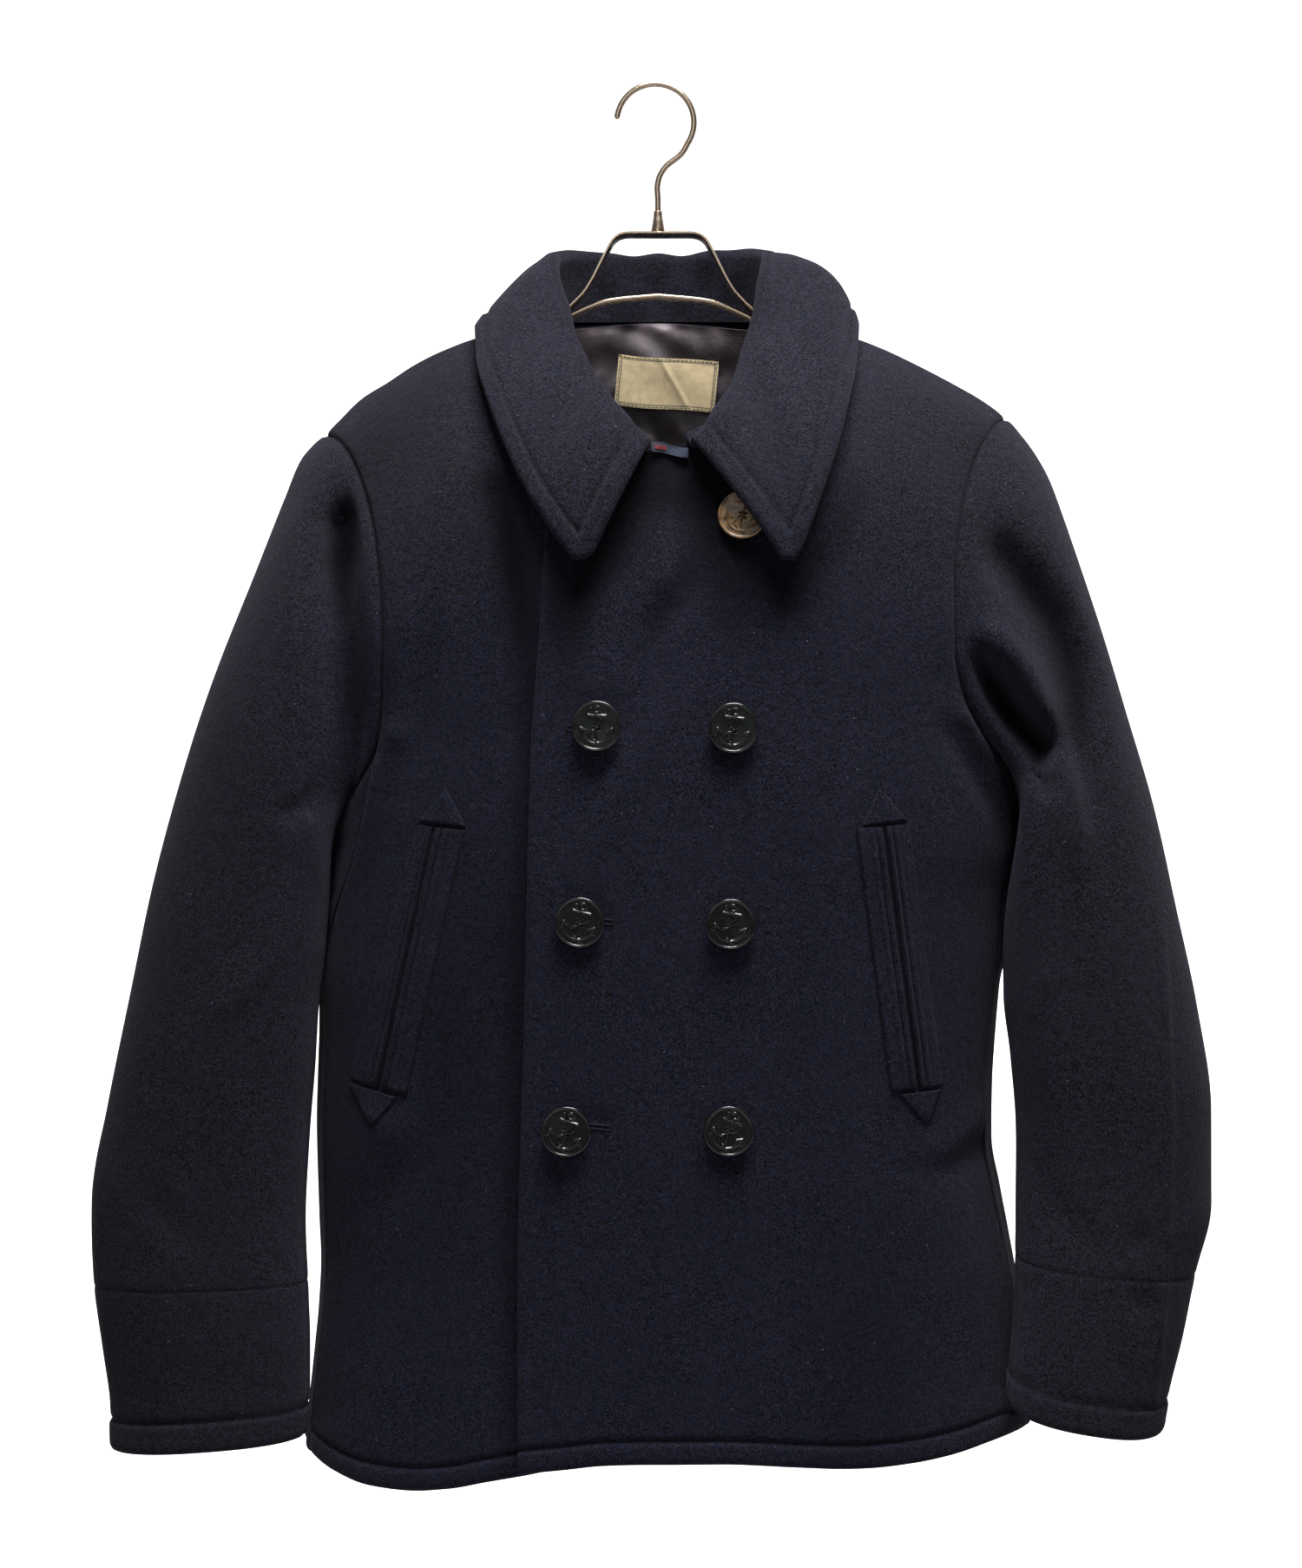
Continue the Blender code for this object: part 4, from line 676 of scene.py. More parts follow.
PLAIN = np.array([0.0])
UPPER = places(1.0, SEAM_PLACES / 230, PLAIN, 4.2 / 230)
LOWER = places(1.0, PLAIN, EDGE_PLACES / 434, 4.2 / 434)
ROWS = np.concatenate([UPPER, 1 + LOWER[1:]])
PARTS = np.concatenate(
    [
        -1 + places(1.0, SEAM_PLACES / 60, PLAIN, 4.0 / 60),
        (1 - places(1.0, SEAM_PLACES / 60, PLAIN, 4.0 / 60))[::-1][1:],
    ]
)


def shoulder_shares(side):
    """Columns from the panel's seam edge to the middle, close together at the seam and the
    neck point."""
    wide = SHOULDER[side]["x"]
    out = places(wide - NECK_HALF_WIDTH, SEAM_PLACES, np.array([0, 1.2, 3.0]), 4.2)
    inside = np.array([75.6, 74.6, 73.0, 70.6, 67.4, 63.8])
    rest = np.linspace(60, 0, 16)
    return np.concatenate([(wide - out) / wide, inside / wide, rest / wide])


SHOULDER_COUNT = {
    side: int(np.sum(shoulder_shares(side) * SHOULDER[side]["x"] > NECK_HALF_WIDTH - 0.01))
    for side in (-1, 1)
}


def front_grid(side):
    """Outer points of one front: columns from its seam to its free edge, rows down it."""
    over = side > 0
    main = panel(-1, side, shoulder_shares(side)[:, None], ROWS[None, :], over)
    if over:
        part = 1 - places(80.0, EDGE_PLACES, PLAIN, 4.0)[:-1][::-1] / 80.0
        middle = panel(-1, side, 0.0, ROWS, over)[:, 2]
        edge_x = -LAP_EDGE.at("x", middle)[None, :] * part[:, None]
    else:
        part = np.linspace(0, 1, 20)[1:]
        edge_x = LAP_REACH * part[:, None] + 0 * ROWS[None, :]
    first = edge_x[:, 0]
    start = rows_at_height(-1, -side, first, lap_top(first), over)[:, None]
    down = start + UPPER[None, :] * (1 - start)
    line = np.concatenate([down, np.broadcast_to(1 + LOWER[1:], (len(part), len(LOWER) - 1))], 1)
    widths = edge_width(-1, -side, line)
    lap = panel(-1, -side, edge_x / widths, line, over)
    return np.concatenate([main, lap], 0)


def back_grid():
    """Outer points of the back, from the wearer's right seam to the left seam."""
    right = panel(1, -1, shoulder_shares(-1)[:, None], ROWS[None, :])
    left = panel(1, 1, shoulder_shares(1)[:-1, None], ROWS[None, :])
    return np.concatenate([right, left[::-1]], 0)


def side_grid(side):
    """Outer points of a side body, from the front's seam round to the back's."""
    part = PARTS
    t = 1 - (1 - SEAM_T) * np.abs(part)
    front_top = armhole(-1, side, t)
    back_top = armhole(1, side, t)
    top = np.where((part < 0)[:, None], front_top, back_top)
    mix = ease(part, -0.5, 0.5)
    hems = hem_edge(-1, side) * (1 - mix) + hem_edge(1, side) * mix
    z = top[:, None, 2] + (hems[:, None] - top[:, None, 2]) * LOWER[None, :]
    front = part[:, None] < 0
    share = np.where(front, seam_share(-1, side, z), seam_share(1, side, z))
    y_seam = np.where(front, depth(-1, z), depth(1, z)) * section_share(share)
    y = y_seam * np.abs(part[:, None]) ** 1.1
    full = np.where(front, depth(-1, z), depth(1, z))
    x = side * side_width(side, z) * section_share(np.abs(y / full))
    points = np.stack([x, y, z], -1)
    miss = top - points[:, 0]
    fade = (1 - LOWER) ** 5
    return points + miss[:, None, :] * fade[None, :, None]


def sleeve_angles():
    """Turns of a ring's columns: down the front armhole, round below and up the back."""
    front = SEAM_T * UPPER
    part = PARTS[1:-1]
    under = 1 - (1 - SEAM_T) * np.abs(part)
    down = np.where(part <= 0, under * math.pi, 2 * math.pi - under * math.pi)
    back = (2 * math.pi - front[::-1] * math.pi)[:-1]
    return np.concatenate([front * math.pi, down, back])


def armhole_loop(side):
    """Points round the whole armhole, in the order of a ring's columns."""
    front = armhole(-1, side, SEAM_T * UPPER)
    under = side_grid(side)[1:-1, 0]
    back = armhole(1, side, SEAM_T * UPPER)[::-1][:-1]
    return np.concatenate([front, under, back])


def sleeve_base(side, ring, angle):
    """An oblong ring: a superellipse between the sleeve's outer and inner edge, leaning forward."""
    ring, angle = np.broadcast_arrays(np.asarray(ring, float), np.asarray(angle, float))
    ox, oz, ix, iz, half, shift, lean, dip = (
        SLEEVE[side].at(name, ring) for name in SLEEVE_NAMES.split()[1:]
    )
    power = 2 / 2.35
    c = np.sign(np.cos(angle)) * np.abs(np.cos(angle)) ** power
    s = np.sign(np.sin(angle)) * np.abs(np.sin(angle)) ** power
    x = (ox + ix) / 2 + (ox - ix) / 2 * c - lean * s * (1 - 0.4 * c)
    z = (oz + iz) / 2 + (oz - iz) / 2 * c - dip * s
    y = shift - half * s
    return np.stack([side * x, y, z], -1)


def sleeve_grid(side, rings):
    """Outer points of the sleeve, round each ring and then down the rings."""
    angles = sleeve_angles()
    base = sleeve_base(side, rings[None, :], angles[:, None])
    start = sleeve_base(side, 0.0, angles)
    pull = (1 - np.clip(rings / 5, 0, 1)) ** 2
    points = base + (armhole_loop(side) - start)[:, None, :] * pull[None, :, None]
    clear = ease(rings, 0.0, 1.2)[None, :]
    facing = ease(np.sin(angles), 0.0, 0.35)[:, None]
    for width, line in SLEEVE_FOLDS[side]:
        hollow = crease_depth(side * points[..., 0], points[..., 2], width, line)
        points[..., 1] += hollow * clear * facing
    return points


def ring_places(low, high, first, last):
    """Ring numbers about 4 mm apart down the sleeve's outer edge, closer at its ends."""
    fine = np.linspace(low, high, 400)
    table = SLEEVE[1]
    line = np.stack([table.at("ox", fine), table.at("oz", fine)], -1)
    run = lengths(line, 0)
    return np.interp(places(run[-1], first, last, 4.4), run, fine)


def lengths(points, axis):
    """Distance run along one axis of a grid, from its first line."""
    step = np.linalg.norm(np.diff(points, axis=axis), axis=-1)
    shape = list(step.shape)
    shape[axis] = 1
    return np.concatenate([np.zeros(shape), np.cumsum(step, axis=axis)], axis=axis)


def to_end(points, axis):
    """Distance run along one axis of a grid, to its last line."""
    return np.flip(lengths(np.flip(points, axis), axis), axis)


def from_line(points, line):
    """Distance of every point from a broken line, the least over its stretches."""
    flat = points.reshape(-1, 3)
    best = np.full(len(flat), 1e18)
    for start, end in zip(line[:-1], line[1:]):
        run = end - start
        f = np.clip((flat - start) @ run / max(np.dot(run, run), 1e-9), 0, 1)
        gap = flat - start - f[:, None] * run
        best = np.minimum(best, np.einsum("ij,ij->i", gap, gap))
    return np.sqrt(best).reshape(points.shape[:-1])


def pinch(gap, deep=1.5, wide=1.3):
    """The dip where two panels are sewn: a narrow bell at the seam and a swell beside it."""
    return deep * bell(gap, wide) - 0.26 * deep * bell(gap - 6.5, 4)


def border(gap, inset, deep):
    """A turned edge: swollen between the edge and a narrow groove of topstitching."""
    swell = 1.0 * ease(gap, 0, 4) * (1 - ease(gap, inset - 3.5, inset))
    return deep * bell(gap - inset, 1.9) - swell


def seam_painted_shade(gap, wide=1.1):
    """How dark the cloth is beside a seam: 1 in the seam and 0 a little way off."""
    return 0.62 * bell(gap, wide)


def stitch_painted_shade(gap, inset):
    """How dark the groove of the topstitching is: a narrow bell at its distance."""
    return 0.30 * bell(gap - inset, 1.7)


def hollow_painted_shade(hollow):
    """How dark a hollow is: nothing for a shallow one, half for a deep one."""
    return 0.95 * ease(hollow, 6.0, 22.0)


def edge_half(gap, half):
    """Half thickness of the cloth at a distance from a free edge: a quarter circle."""
    inside = np.clip(1 - gap / half, 0, 1)
    return half * np.sqrt(np.clip(1 - inside**2, 0.02, 1))


# ---------------------------------------------------------------- meshes


def wall_faces(count_i, count_j, wrap):
    """Quads of a closed wall: outer grid, inner grid and the rim between them."""
    size = count_i * count_j
    index = np.arange(size).reshape(count_i, count_j)
    nxt = np.roll(index, -1, axis=0)
    a = index if wrap else index[:-1]
    b = nxt if wrap else nxt[:-1]
    faces = [
        np.stack([a[:, :-1], b[:, :-1], b[:, 1:], a[:, 1:]], -1).reshape(-1, 4),
        np.stack([a[:, :-1], a[:, 1:], b[:, 1:], b[:, :-1]], -1).reshape(-1, 4) + size,
        np.stack([a[:, 0], a[:, 0] + size, b[:, 0] + size, b[:, 0]], -1),
        np.stack([a[:, -1], b[:, -1], b[:, -1] + size, a[:, -1] + size], -1),
    ]
    if not wrap:
        first, last = index[0], index[-1]
        faces.append(np.stack([first[:-1], first[1:], first[1:] + size, first[:-1] + size], -1))
        faces.append(np.stack([last[:-1], last[:-1] + size, last[1:] + size, last[1:]], -1))
    return np.concatenate(faces)


def add_object(name, data):
    """A new object of the scene, at the origin."""
    obj = bpy.data.objects.new(name, data)
    bpy.context.scene.collection.objects.link(obj)
    return obj


def make_mesh(name, points, faces, material, sharp=None, uv=None, dark=None):
    """A mesh in metres from points in millimetres and quads or triangles."""
    mesh = bpy.data.meshes.new(name)
    points = np.asarray(points, np.float64) * MM
    faces = np.asarray(faces, np.int32)
    corners = faces.shape[1]
    mesh.vertices.add(len(points))
    mesh.vertices.foreach_set("co", points.astype(np.float32).ravel())
    mesh.loops.add(faces.size)
    mesh.loops.foreach_set("vertex_index", faces.ravel())
    mesh.polygons.add(len(faces))
    mesh.polygons.foreach_set("loop_start", np.arange(len(faces), dtype=np.int32) * corners)
    mesh.update(calc_edges=True)
    if uv is not None:
        layer = mesh.uv_layers.new(name="UVMap")
        layer.data.foreach_set("uv", np.asarray(uv, np.float32)[faces.ravel()].ravel())
    # The groove attribute carries painted shade: seams, stitching, hollows, slits and places little
    # light reaches.
    if dark is not None:
        layer = mesh.attributes.new("groove", "FLOAT", "POINT")
        layer.data.foreach_set("value", np.asarray(dark, np.float32))
    mesh.shade_smooth()
    if sharp is not None:
        mesh.set_sharp_from_angle(angle=math.radians(sharp))
    mesh.validate()
    obj = add_object(name, mesh)
    mesh.materials.append(material)
    return obj


def turn_outward(points, faces):
    """Flip all faces if the closed mesh's signed volume is negative."""
    a, b, c = (points[faces[:, k]] for k in (0, 1, 2))
    volume = np.sum(a * np.cross(b, c))
    if faces.shape[1] == 4:
        d = points[faces[:, 3]]
        volume += np.sum(a * np.cross(c, d))
    return faces if volume > 0 else faces[:, ::-1]


def make_wall(name, outer, inner, material, wrap=False, sharp=None, uv=None, dark=None):
    """A closed wall between two grids of points, its faces turned outward."""
    points = np.concatenate([outer.reshape(-1, 3), inner.reshape(-1, 3)])
    faces = turn_outward(points, wall_faces(outer.shape[0], outer.shape[1], wrap))
    if uv is not None:
        uv = np.concatenate([uv.reshape(-1, 2), uv.reshape(-1, 2)])
    if dark is not None:
        dark = np.clip(np.concatenate([dark.ravel(), 0 * dark.ravel()]), 0, 1)
    return make_mesh(name, points, faces, material, sharp=sharp, uv=uv, dark=dark)


def finish_piece(obj, nodes=()):
    """Let the piece ride on the body, name its slot and the CAD nodes that it replaces."""
    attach(obj, "root")
    if nodes:
        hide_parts(*nodes)
    return obj


def flat_size(outer):
    """Width and length in metres that the piece was cut to, and its area."""
    wide = float(lengths(outer, 0)[-1].max()) * MM
    tall = float(lengths(outer, 1)[:, -1].max()) * MM
    a = outer[1:, :-1] - outer[:-1, :-1]
    b = outer[:-1, 1:] - outer[:-1, :-1]
    c = outer[1:, 1:] - outer[1:, :-1]
    d = outer[1:, 1:] - outer[:-1, 1:]
    area = np.linalg.norm(np.cross(a, b), axis=-1) + np.linalg.norm(np.cross(d, c), axis=-1)
    return wide, tall, float(area.sum()) / 2 * MM * MM


def declare_cloth(outer, wrap=False):
    """Tell the frame that this is a hanging sheet of cloth of its own flat size."""
    grid = np.concatenate([outer, outer[:1]]) if wrap else outer
    wide, tall, area = flat_size(grid)
    area = min(max(area, 0.301 * wide * tall), wide * tall)
    round(area, 5) if area < wide * tall else None


# ---------------------------------------------------------------- shaders


class Wire:
    """One output of a node; sums, products and the like add the Math nodes they need."""

    def __init__(self, shader, socket):
        self.shader = shader
        self.socket = socket

    def maths(self, operation, *values):
        return self.shader.node("ShaderNodeMath", {"operation": operation}, dict(enumerate(values)))

    def __add__(self, other):
        return self.maths("ADD", self, other)

    def __sub__(self, other):
        return self.maths("SUBTRACT", self, other)

    def __rsub__(self, other):
        return self.maths("SUBTRACT", other, self)

    def __mul__(self, other):
        return self.maths("MULTIPLY", self, other)

    __radd__ = __add__
    __rmul__ = __mul__

    def __abs__(self):
        return self.maths("ABSOLUTE", self)


class Finish:
    """A material under construction, with one method that adds any node."""

    def __init__(self, name):
        self.material = bpy.data.materials.new(name)
        self.material.use_nodes = True
        self.tree = self.material.node_tree
        self.base = self.tree.nodes["Principled BSDF"]

    def put(self, socket, value):
        if isinstance(value, Wire):
            self.tree.links.new(value.socket, socket)
        else:
            socket.default_value = value

    def node(self, kind, settings=None, inputs=None, output=0):
        made = self.tree.nodes.new(kind)
        for key, value in (settings or {}).items():
            if key == "stops":
                ramp = made.color_ramp
                while len(ramp.elements) < len(value):
                    ramp.elements.new(0.5)
                for element, (place, colour) in zip(ramp.elements, value):
                    element.position = place
                    element.color = colour
            else:
                setattr(made, key, value)
        for key, value in (inputs or {}).items():
            self.put(made.inputs[key], value)
        return Wire(self, made.outputs[output])

    def place(self, scale=(1, 1, 1), turn=(0, 0, 0)):
        """Object coordinates, scaled and turned."""
        where = self.node("ShaderNodeTexCoord", output="Object")
        return self.node(
            "ShaderNodeMapping",
            inputs={"Vector": where, "Scale": scale, "Rotation": turn},
        )

    def noise(self, scale, detail=3.0, rough=0.5, where=None, distort=0.0):
        return self.node(
            "ShaderNodeTexNoise",
            inputs={
                "Vector": where or self.place(),
                "Scale": scale,
                "Detail": detail,
                "Roughness": rough,
                "Distortion": distort,
            },
            output="Fac",
        )

    def wave(self, where, scale, direction, distort, more=()):
        """Straight bands across one direction."""
        return self.node(
            "ShaderNodeTexWave",
            {"wave_type": "BANDS", "bands_direction": direction},
            {"Vector": where, "Scale": scale, "Distortion": distort, **dict(more)},
            "Fac",
        )

    def ramp(self, value, low, high, out_low=0.0, out_high=1.0):
        return self.node(
            "ShaderNodeMapRange",
            {"interpolation_type": "SMOOTHSTEP"},
            {"Value": value, 1: low, 2: high, 3: out_low, 4: out_high},
        )

    def mix(self, share, first, second):
        """A colour between two colours."""
        made = self.tree.nodes.new("ShaderNodeMix")
        made.data_type = "RGBA"
        self.put(made.inputs[0], share)
        self.put(made.inputs[6], first)
        self.put(made.inputs[7], second)
        return Wire(self, made.outputs[2])

    def times(self, first, second):
        """One colour times another."""
        return self.node(
            "ShaderNodeVectorMath", {"operation": "MULTIPLY"}, {0: first, 1: second}
        )

    def bump(self, height, distance, strength=1.0, under=None):
        inputs = {"Height": height, "Distance": distance, "Strength": strength}
        if under is not None:
            inputs["Normal"] = under
        return self.node("ShaderNodeBump", inputs=inputs)

    def maths_min(self, first, second):
        """The smaller of two values."""
        return self.node("ShaderNodeMath", {"operation": "MINIMUM"}, {0: first, 1: second})

    def set(self, **values):
        for key, value in values.items():
            self.put(self.base.inputs[key.replace("_", " ")], value)
        return self.material


def rgba(colour, factor=1.0):
    return (*(channel * factor for channel in colour), 1.0)


def wool_finish(name, colour):
    """Milled wool: dark felted fibres, a cloudy nap, short hairs and a few pale specks of lint."""
    f = Finish(name)
    fibre = f.noise(1150, 2, 0.7, f.place((1, 1, 0.6)))
    hair = f.noise(720, 3, 0.7, f.place((1, 1, 2.0), (0.3, 0.5, 0.8)), 0.8)
    nap = f.noise(260, 4, 0.65)
    cloud = f.noise(22, 3, 0.55)
    dye = f.noise(700, 2, 0.6, f.place((1, 1, 1), (0.5, 0.1, 0.9)))
    tone = fibre * 0.45 + hair * 0.41 + nap * 0.14
    cold = f.mix(f.ramp(dye, 0.40, 0.60), (1.18, 1.0, 0.86, 1), (0.82, 0.98, 1.22, 1))
    base = f.mix(f.ramp(tone, 0.42, 0.59), rgba(colour, 0.10), rgba(colour, 2.4))
    base = f.mix(f.ramp(cloud, 0.3, 0.7, 0.0, 0.28), base, rgba(colour, 1.5))
    # Painted tint of the light: bluer in the middle from the chest down, warmer towards the sides
    # and at the top.
    where = f.node("ShaderNodeSeparateXYZ", inputs={0: f.place()})
    height = Wire(f, where.socket.node.outputs[2])
    painted_light_cast = f.ramp(abs(where), 0.13, 0.27) + f.ramp(height, -0.36, -0.24) * 0.8
    base = f.times(base, cold)
    base = f.times(base, f.mix(f.maths_min(painted_light_cast, 1.0), (0.96, 0.98, 1.08, 1), (1.04, 1.0, 0.85, 1)))
    lint = f.ramp(f.noise(560, 1, 0.4, f.place((1, 1, 1), (0.9, 0.2, 0.4))), 0.77, 0.81)
    thread = f.ramp(f.noise(240, 2, 0.5, f.place((1, 1, 7), (0.2, 1.1, 0.5))), 0.765, 0.79)
    base = f.mix(lint * 0.32 + thread * 0.14, base, (0.12, 0.12, 0.15, 1))
    # Painted shade: the groove attribute darkens seams, stitching, hollows and shadowed places to
    # near black.
    groove = f.node("ShaderNodeAttribute", {"attribute_name": "groove"}, output="Fac")
    base = f.mix(groove * 0.97, base, (0.0004, 0.0004, 0.0008, 1))
    height = fibre * 0.7 + hair * 1.1 + nap * 1.8
    soft = f.bump(f.noise(80, 3, 0.5), 0.0010, 0.45)
    normal = f.bump(height, 0.00075, 0.85, soft)
    return f.set(
        Base_Color=base,
        Roughness=f.ramp(nap, 0.3, 0.7, 0.88, 1.0),
        Specular_IOR_Level=0.03,
        Sheen_Weight=0.032,
        Sheen_Roughness=0.5,
        Sheen_Tint=(0.62, 0.64, 0.80, 1),
        Normal=normal,
    )


def satin_finish(name, colour):
    """Twilled satin lining: fine slanting ribs and a soft broken shine."""
    f = Finish(name)
    ribs = f.wave(f.place(), 420.0, "DIAGONAL", 0.6, {"Detail": 1.0, "Detail Scale": 2.0})
    mottle = f.noise(46, 4, 0.6)
    base = f.mix(f.ramp(mottle, 0.3, 0.7), rgba(colour, 0.62), rgba(colour, 1.5))
    base = f.mix(ribs * 0.25, base, rgba(colour, 2.0))
    normal = f.bump(ribs, 0.00012, 0.5, f.bump(f.noise(70, 3, 0.55), 0.0012, 0.7))
    return f.set(
        Base_Color=base,
        Roughness=f.ramp(mottle, 0.25, 0.75, 0.42, 0.58),
        Specular_IOR_Level=0.42,
        Sheen_Weight=0.08,
        Normal=normal,
    )


def label_finish(name, colour):
    """Woven tape label: a fine plain weave, a thin dark border and a worn crease."""
    f = Finish(name)
    where = f.node("ShaderNodeUVMap", {"uv_map": "UVMap"})
    parts = f.node("ShaderNodeSeparateXYZ", inputs={0: where})
    v = Wire(f, parts.socket.node.outputs[1])
    near_u, near_v = (f.maths_min(way, 1.0 - way) for way in (parts, v))
    edge = f.maths_min(near_u * LABEL_SIZE[0], near_v * LABEL_SIZE[1])
    line = f.ramp(edge, 1.6, 1.9) * (1.0 - f.ramp(edge, 2.5, 2.8))
    weft, warp = f.wave(where, 52.0, "X", 0.3), f.wave(where, 30.0, "Y", 0.3)
    stain = f.noise(190, 4, 0.65)
    base = f.mix(f.ramp(stain, 0.3, 0.75), rgba(colour, 1.10), rgba(colour, 0.84))
    base = f.mix(weft * warp * 0.35, base, rgba(colour, 0.60))
    base = f.mix(line * 0.75, base, (0.035, 0.030, 0.026, 1))
    return f.set(
        Base_Color=base,
        Roughness=f.ramp(stain, 0.3, 0.7, 0.62, 0.8),
        Sheen_Weight=0.1,
        Normal=f.bump(weft + warp, 0.00012, 0.6),
    )


def button_finish(name, colour, rough):
    """Moulded resin: a deep gloss with faint swirls and a very little dust in the hollows."""
    f = Finish(name)
    swirl = f.noise(90, 3, 0.6, distort=1.4)
    dust = f.noise(700, 3, 0.6)
    base = f.mix(f.ramp(swirl, 0.38, 0.62), rgba(colour, 0.6), rgba(colour, 1.9))
    base = f.mix(f.ramp(dust, 0.68, 0.80, 0.0, 0.05), base, (0.06, 0.06, 0.06, 1))
    return f.set(
        Base_Color=base,
        Roughness=f.ramp(dust, 0.35, 0.7, rough, rough + 0.10),
        Specular_IOR_Level=0.34,
        Normal=f.bump(f.noise(160, 2, 0.5), 0.00008, 0.4),
    )


def metal_finish(name, colour):
    """Plated steel: drawn lines, a slightly uneven polish and a few dull spots."""
    f = Finish(name)
    drawn = f.noise(240, 3, 0.6, f.place((0.25, 6, 6)))
    spot = f.noise(110, 4, 0.6)
    base = f.mix(f.ramp(spot, 0.5, 0.8, 0, 0.55), rgba(colour), rgba(colour, 0.5))
    return f.set(
        Base_Color=base,
        Metallic=1.0,
        Roughness=f.ramp(drawn * 0.5 + spot * 0.5, 0.3, 0.7, 0.16, 0.36),
        Normal=f.bump(drawn, 0.00005, 0.4),
    )


def thread_finish(name, colour):
    """Twisted sewing thread: slanting plies across each stitch."""
    f = Finish(name)
    ply = f.noise(1800, 2, 0.5, f.place((1, 1, 1), (0.7, 0.7, 0.2)))
    base = f.mix(f.ramp(ply, 0.35, 0.65), rgba(colour, 0.6), rgba(colour, 1.5))
    return f.set(
        Base_Color=base,
        Roughness=0.9,
        Specular_IOR_Level=0.06,
        Sheen_Weight=0.03,
        Normal=f.bump(ply, 0.0001, 0.6),
    )


def stage_finish(name, colour, glow):
    """Matt painted backdrop, a little uneven, that glows behind the coat and not before it."""
    f = Finish(name)
    paint = f.noise(3, 2, 0.5)
    where = f.node("ShaderNodeSeparateXYZ", inputs={0: f.place()})
    depth = Wire(f, where.socket.node.outputs[1])
    light = f.mix(f.ramp(depth, 0.35, 1.15), (0, 0, 0, 1), (1, 1, 1, 1))
    base = f.mix(f.ramp(paint, 0.3, 0.7), rgba(colour, 0.98), rgba(colour))
    return f.set(
        Base_Color=base,
        Roughness=0.9,
        Emission_Color=light,
        Emission_Strength=glow,
    )


# Each kind of finish: its maker, the material's name, its colour among the coat's
# properties and what else the maker needs.
FINISH_KINDS = {
    "wool": (wool_finish, "navy_wool_cloth", "wool"),
    "lining": (satin_finish, "brown_satin_lining", "lining"),
    "label": (label_finish, "khaki_woven_label", "label"),
    "button": (button_finish, "black_gloss_button", "button", 0.15),
    "button_brown": (button_finish, "brown_gloss_button", "button_brown", 0.26),
    "metal": (metal_finish, "plated_hanger_steel", "metal"),
    "thread": (thread_finish, "navy_sewing_thread", "thread"),
    "tape": (thread_finish, "grey_blue_cotton_tape", "tape"),
    "tape_spot": (thread_finish, "dull_red_bar_tack", "bar_tack"),
}
FINISHES = {}


def finish(kind):
    """The coat's material of this kind, made the first time it is asked for."""
    if kind not in FINISHES:
        make, name, colour, *more = FINISH_KINDS[kind]
        FINISHES[kind] = make(name, getattr(bpy.context.scene.coat_colours, colour), *more)
    return FINISHES[kind]


# ---------------------------------------------------------------- cloth

CLOTH = {}


TUBES = ("sleeve", "cuff")
SLEEVE_RINGS = ring_places(0, 12, SEAM_PLACES, SEAM_PLACES)
CUFF_RINGS = ring_places(12, 15, SEAM_PLACES, EDGE_PLACES)


def join_normals(first, a, second, b):
    """Give two grids of normals, at their places a and b, the mitred mean of both."""
    both = unit(first[a] + second[b])
    both = both / np.clip(np.sum(both * first[a], -1, keepdims=True), 0.75, 1)
    first[a] = both
    second[b] = both


def share_seams(normal):
    """One normal for both sides of every seam, so that the walls meet along it."""
    up = len(UPPER) - 1
    seam = np.arange(1, up + 1)
    under = np.arange(up + 1, up + len(PARTS) - 1)
    for side in (-1, 1):
        sh = SHOULDER_COUNT[side]
        front, flank, sleeve = (normal[kind, side] for kind in ("front", "side", "sleeve"))
        back = normal["back", 0] if side < 0 else normal["back", 0][::-1]
        join_normals(front, np.s_[:sh, 0], back, np.s_[:sh, 0])
        join_normals(front, np.s_[0, up:], flank, 0)
        join_normals(back, np.s_[0, up:], flank, -1)
        join_normals(front, (0, seam), sleeve, (seam, 0))
        join_normals(back, (0, seam), sleeve, (len(sleeve) - seam, 0))
        join_normals(flank, np.s_[1:-1, 0], sleeve, (under, 0))
        flank[0, 0] = front[0, up]
        flank[-1, 0] = back[0, up]
        join_normals(sleeve, np.s_[:, -1], normal["cuff", side], np.s_[:, 0])
        join_normals(front, (0, 0), sleeve, (0, 0))
        back[0, 0] = front[0, 0]


def store(grid, kind, side, shift, dark, gap=None):
    """Keep a grid's shift along its normals, its darkness and its distance from a free edge."""
    grid[kind + "_shift", side] = shift
    grid[kind + "_dark", side] = dark
    grid[kind + "_gap", side] = gap


def side_seam_strength(points):
    """How plain the side seam shows: full at the armhole and faint below the arm."""
    return 0.25 + 0.75 * ease(points[..., 2], -560, -470)


def shape_front(grid, side, inset, deep):
    """A front's shift: hanging waves less creases, seams and hem; the over front is also
    lifted off the under one and swells beside its free edge."""
    name = "front_over" if side > 0 else "front_under"
    p = grid["front", side]
    x, z = p[..., 0], p[..., 2]
    seam_gap = from_line(p, p[0])
    shoulder_gap = from_line(p, p[: SHOULDER_COUNT[side], 0])
    hem_gap, lap_gap = to_end(p, 1), np.full(p.shape[:2], FAR)
    faint = side_seam_strength(p)
    hollow = creases(name, x, z)
    shift = hang(p) - hollow
    shift -= faint * pinch(seam_gap) + pinch(shoulder_gap) + border(hem_gap, inset, deep)
    # Painted shade: the seams, the hem's topstitched groove, the crease hollows and the listed
    # shades.
    dark = np.maximum(faint * seam_painted_shade(seam_gap), seam_painted_shade(shoulder_gap))
    dark = np.clip(dark + stitch_painted_shade(hem_gap, inset) + hollow_painted_shade(hollow), 0, 1)
    dark = 1 - (1 - dark) * (1 - shade(name, x, z))
    if side > 0:
        lap_gap = to_end(p, 0)
        shift += 0.9 * ease(lap_gap, 0, 4) * (1 - ease(lap_gap, 5, 13)) + lap_lift(x, z)
    grid["gaps", side] = (hem_gap, lap_gap)
    store(grid, "front", side, shift, dark, np.minimum(hem_gap, lap_gap))


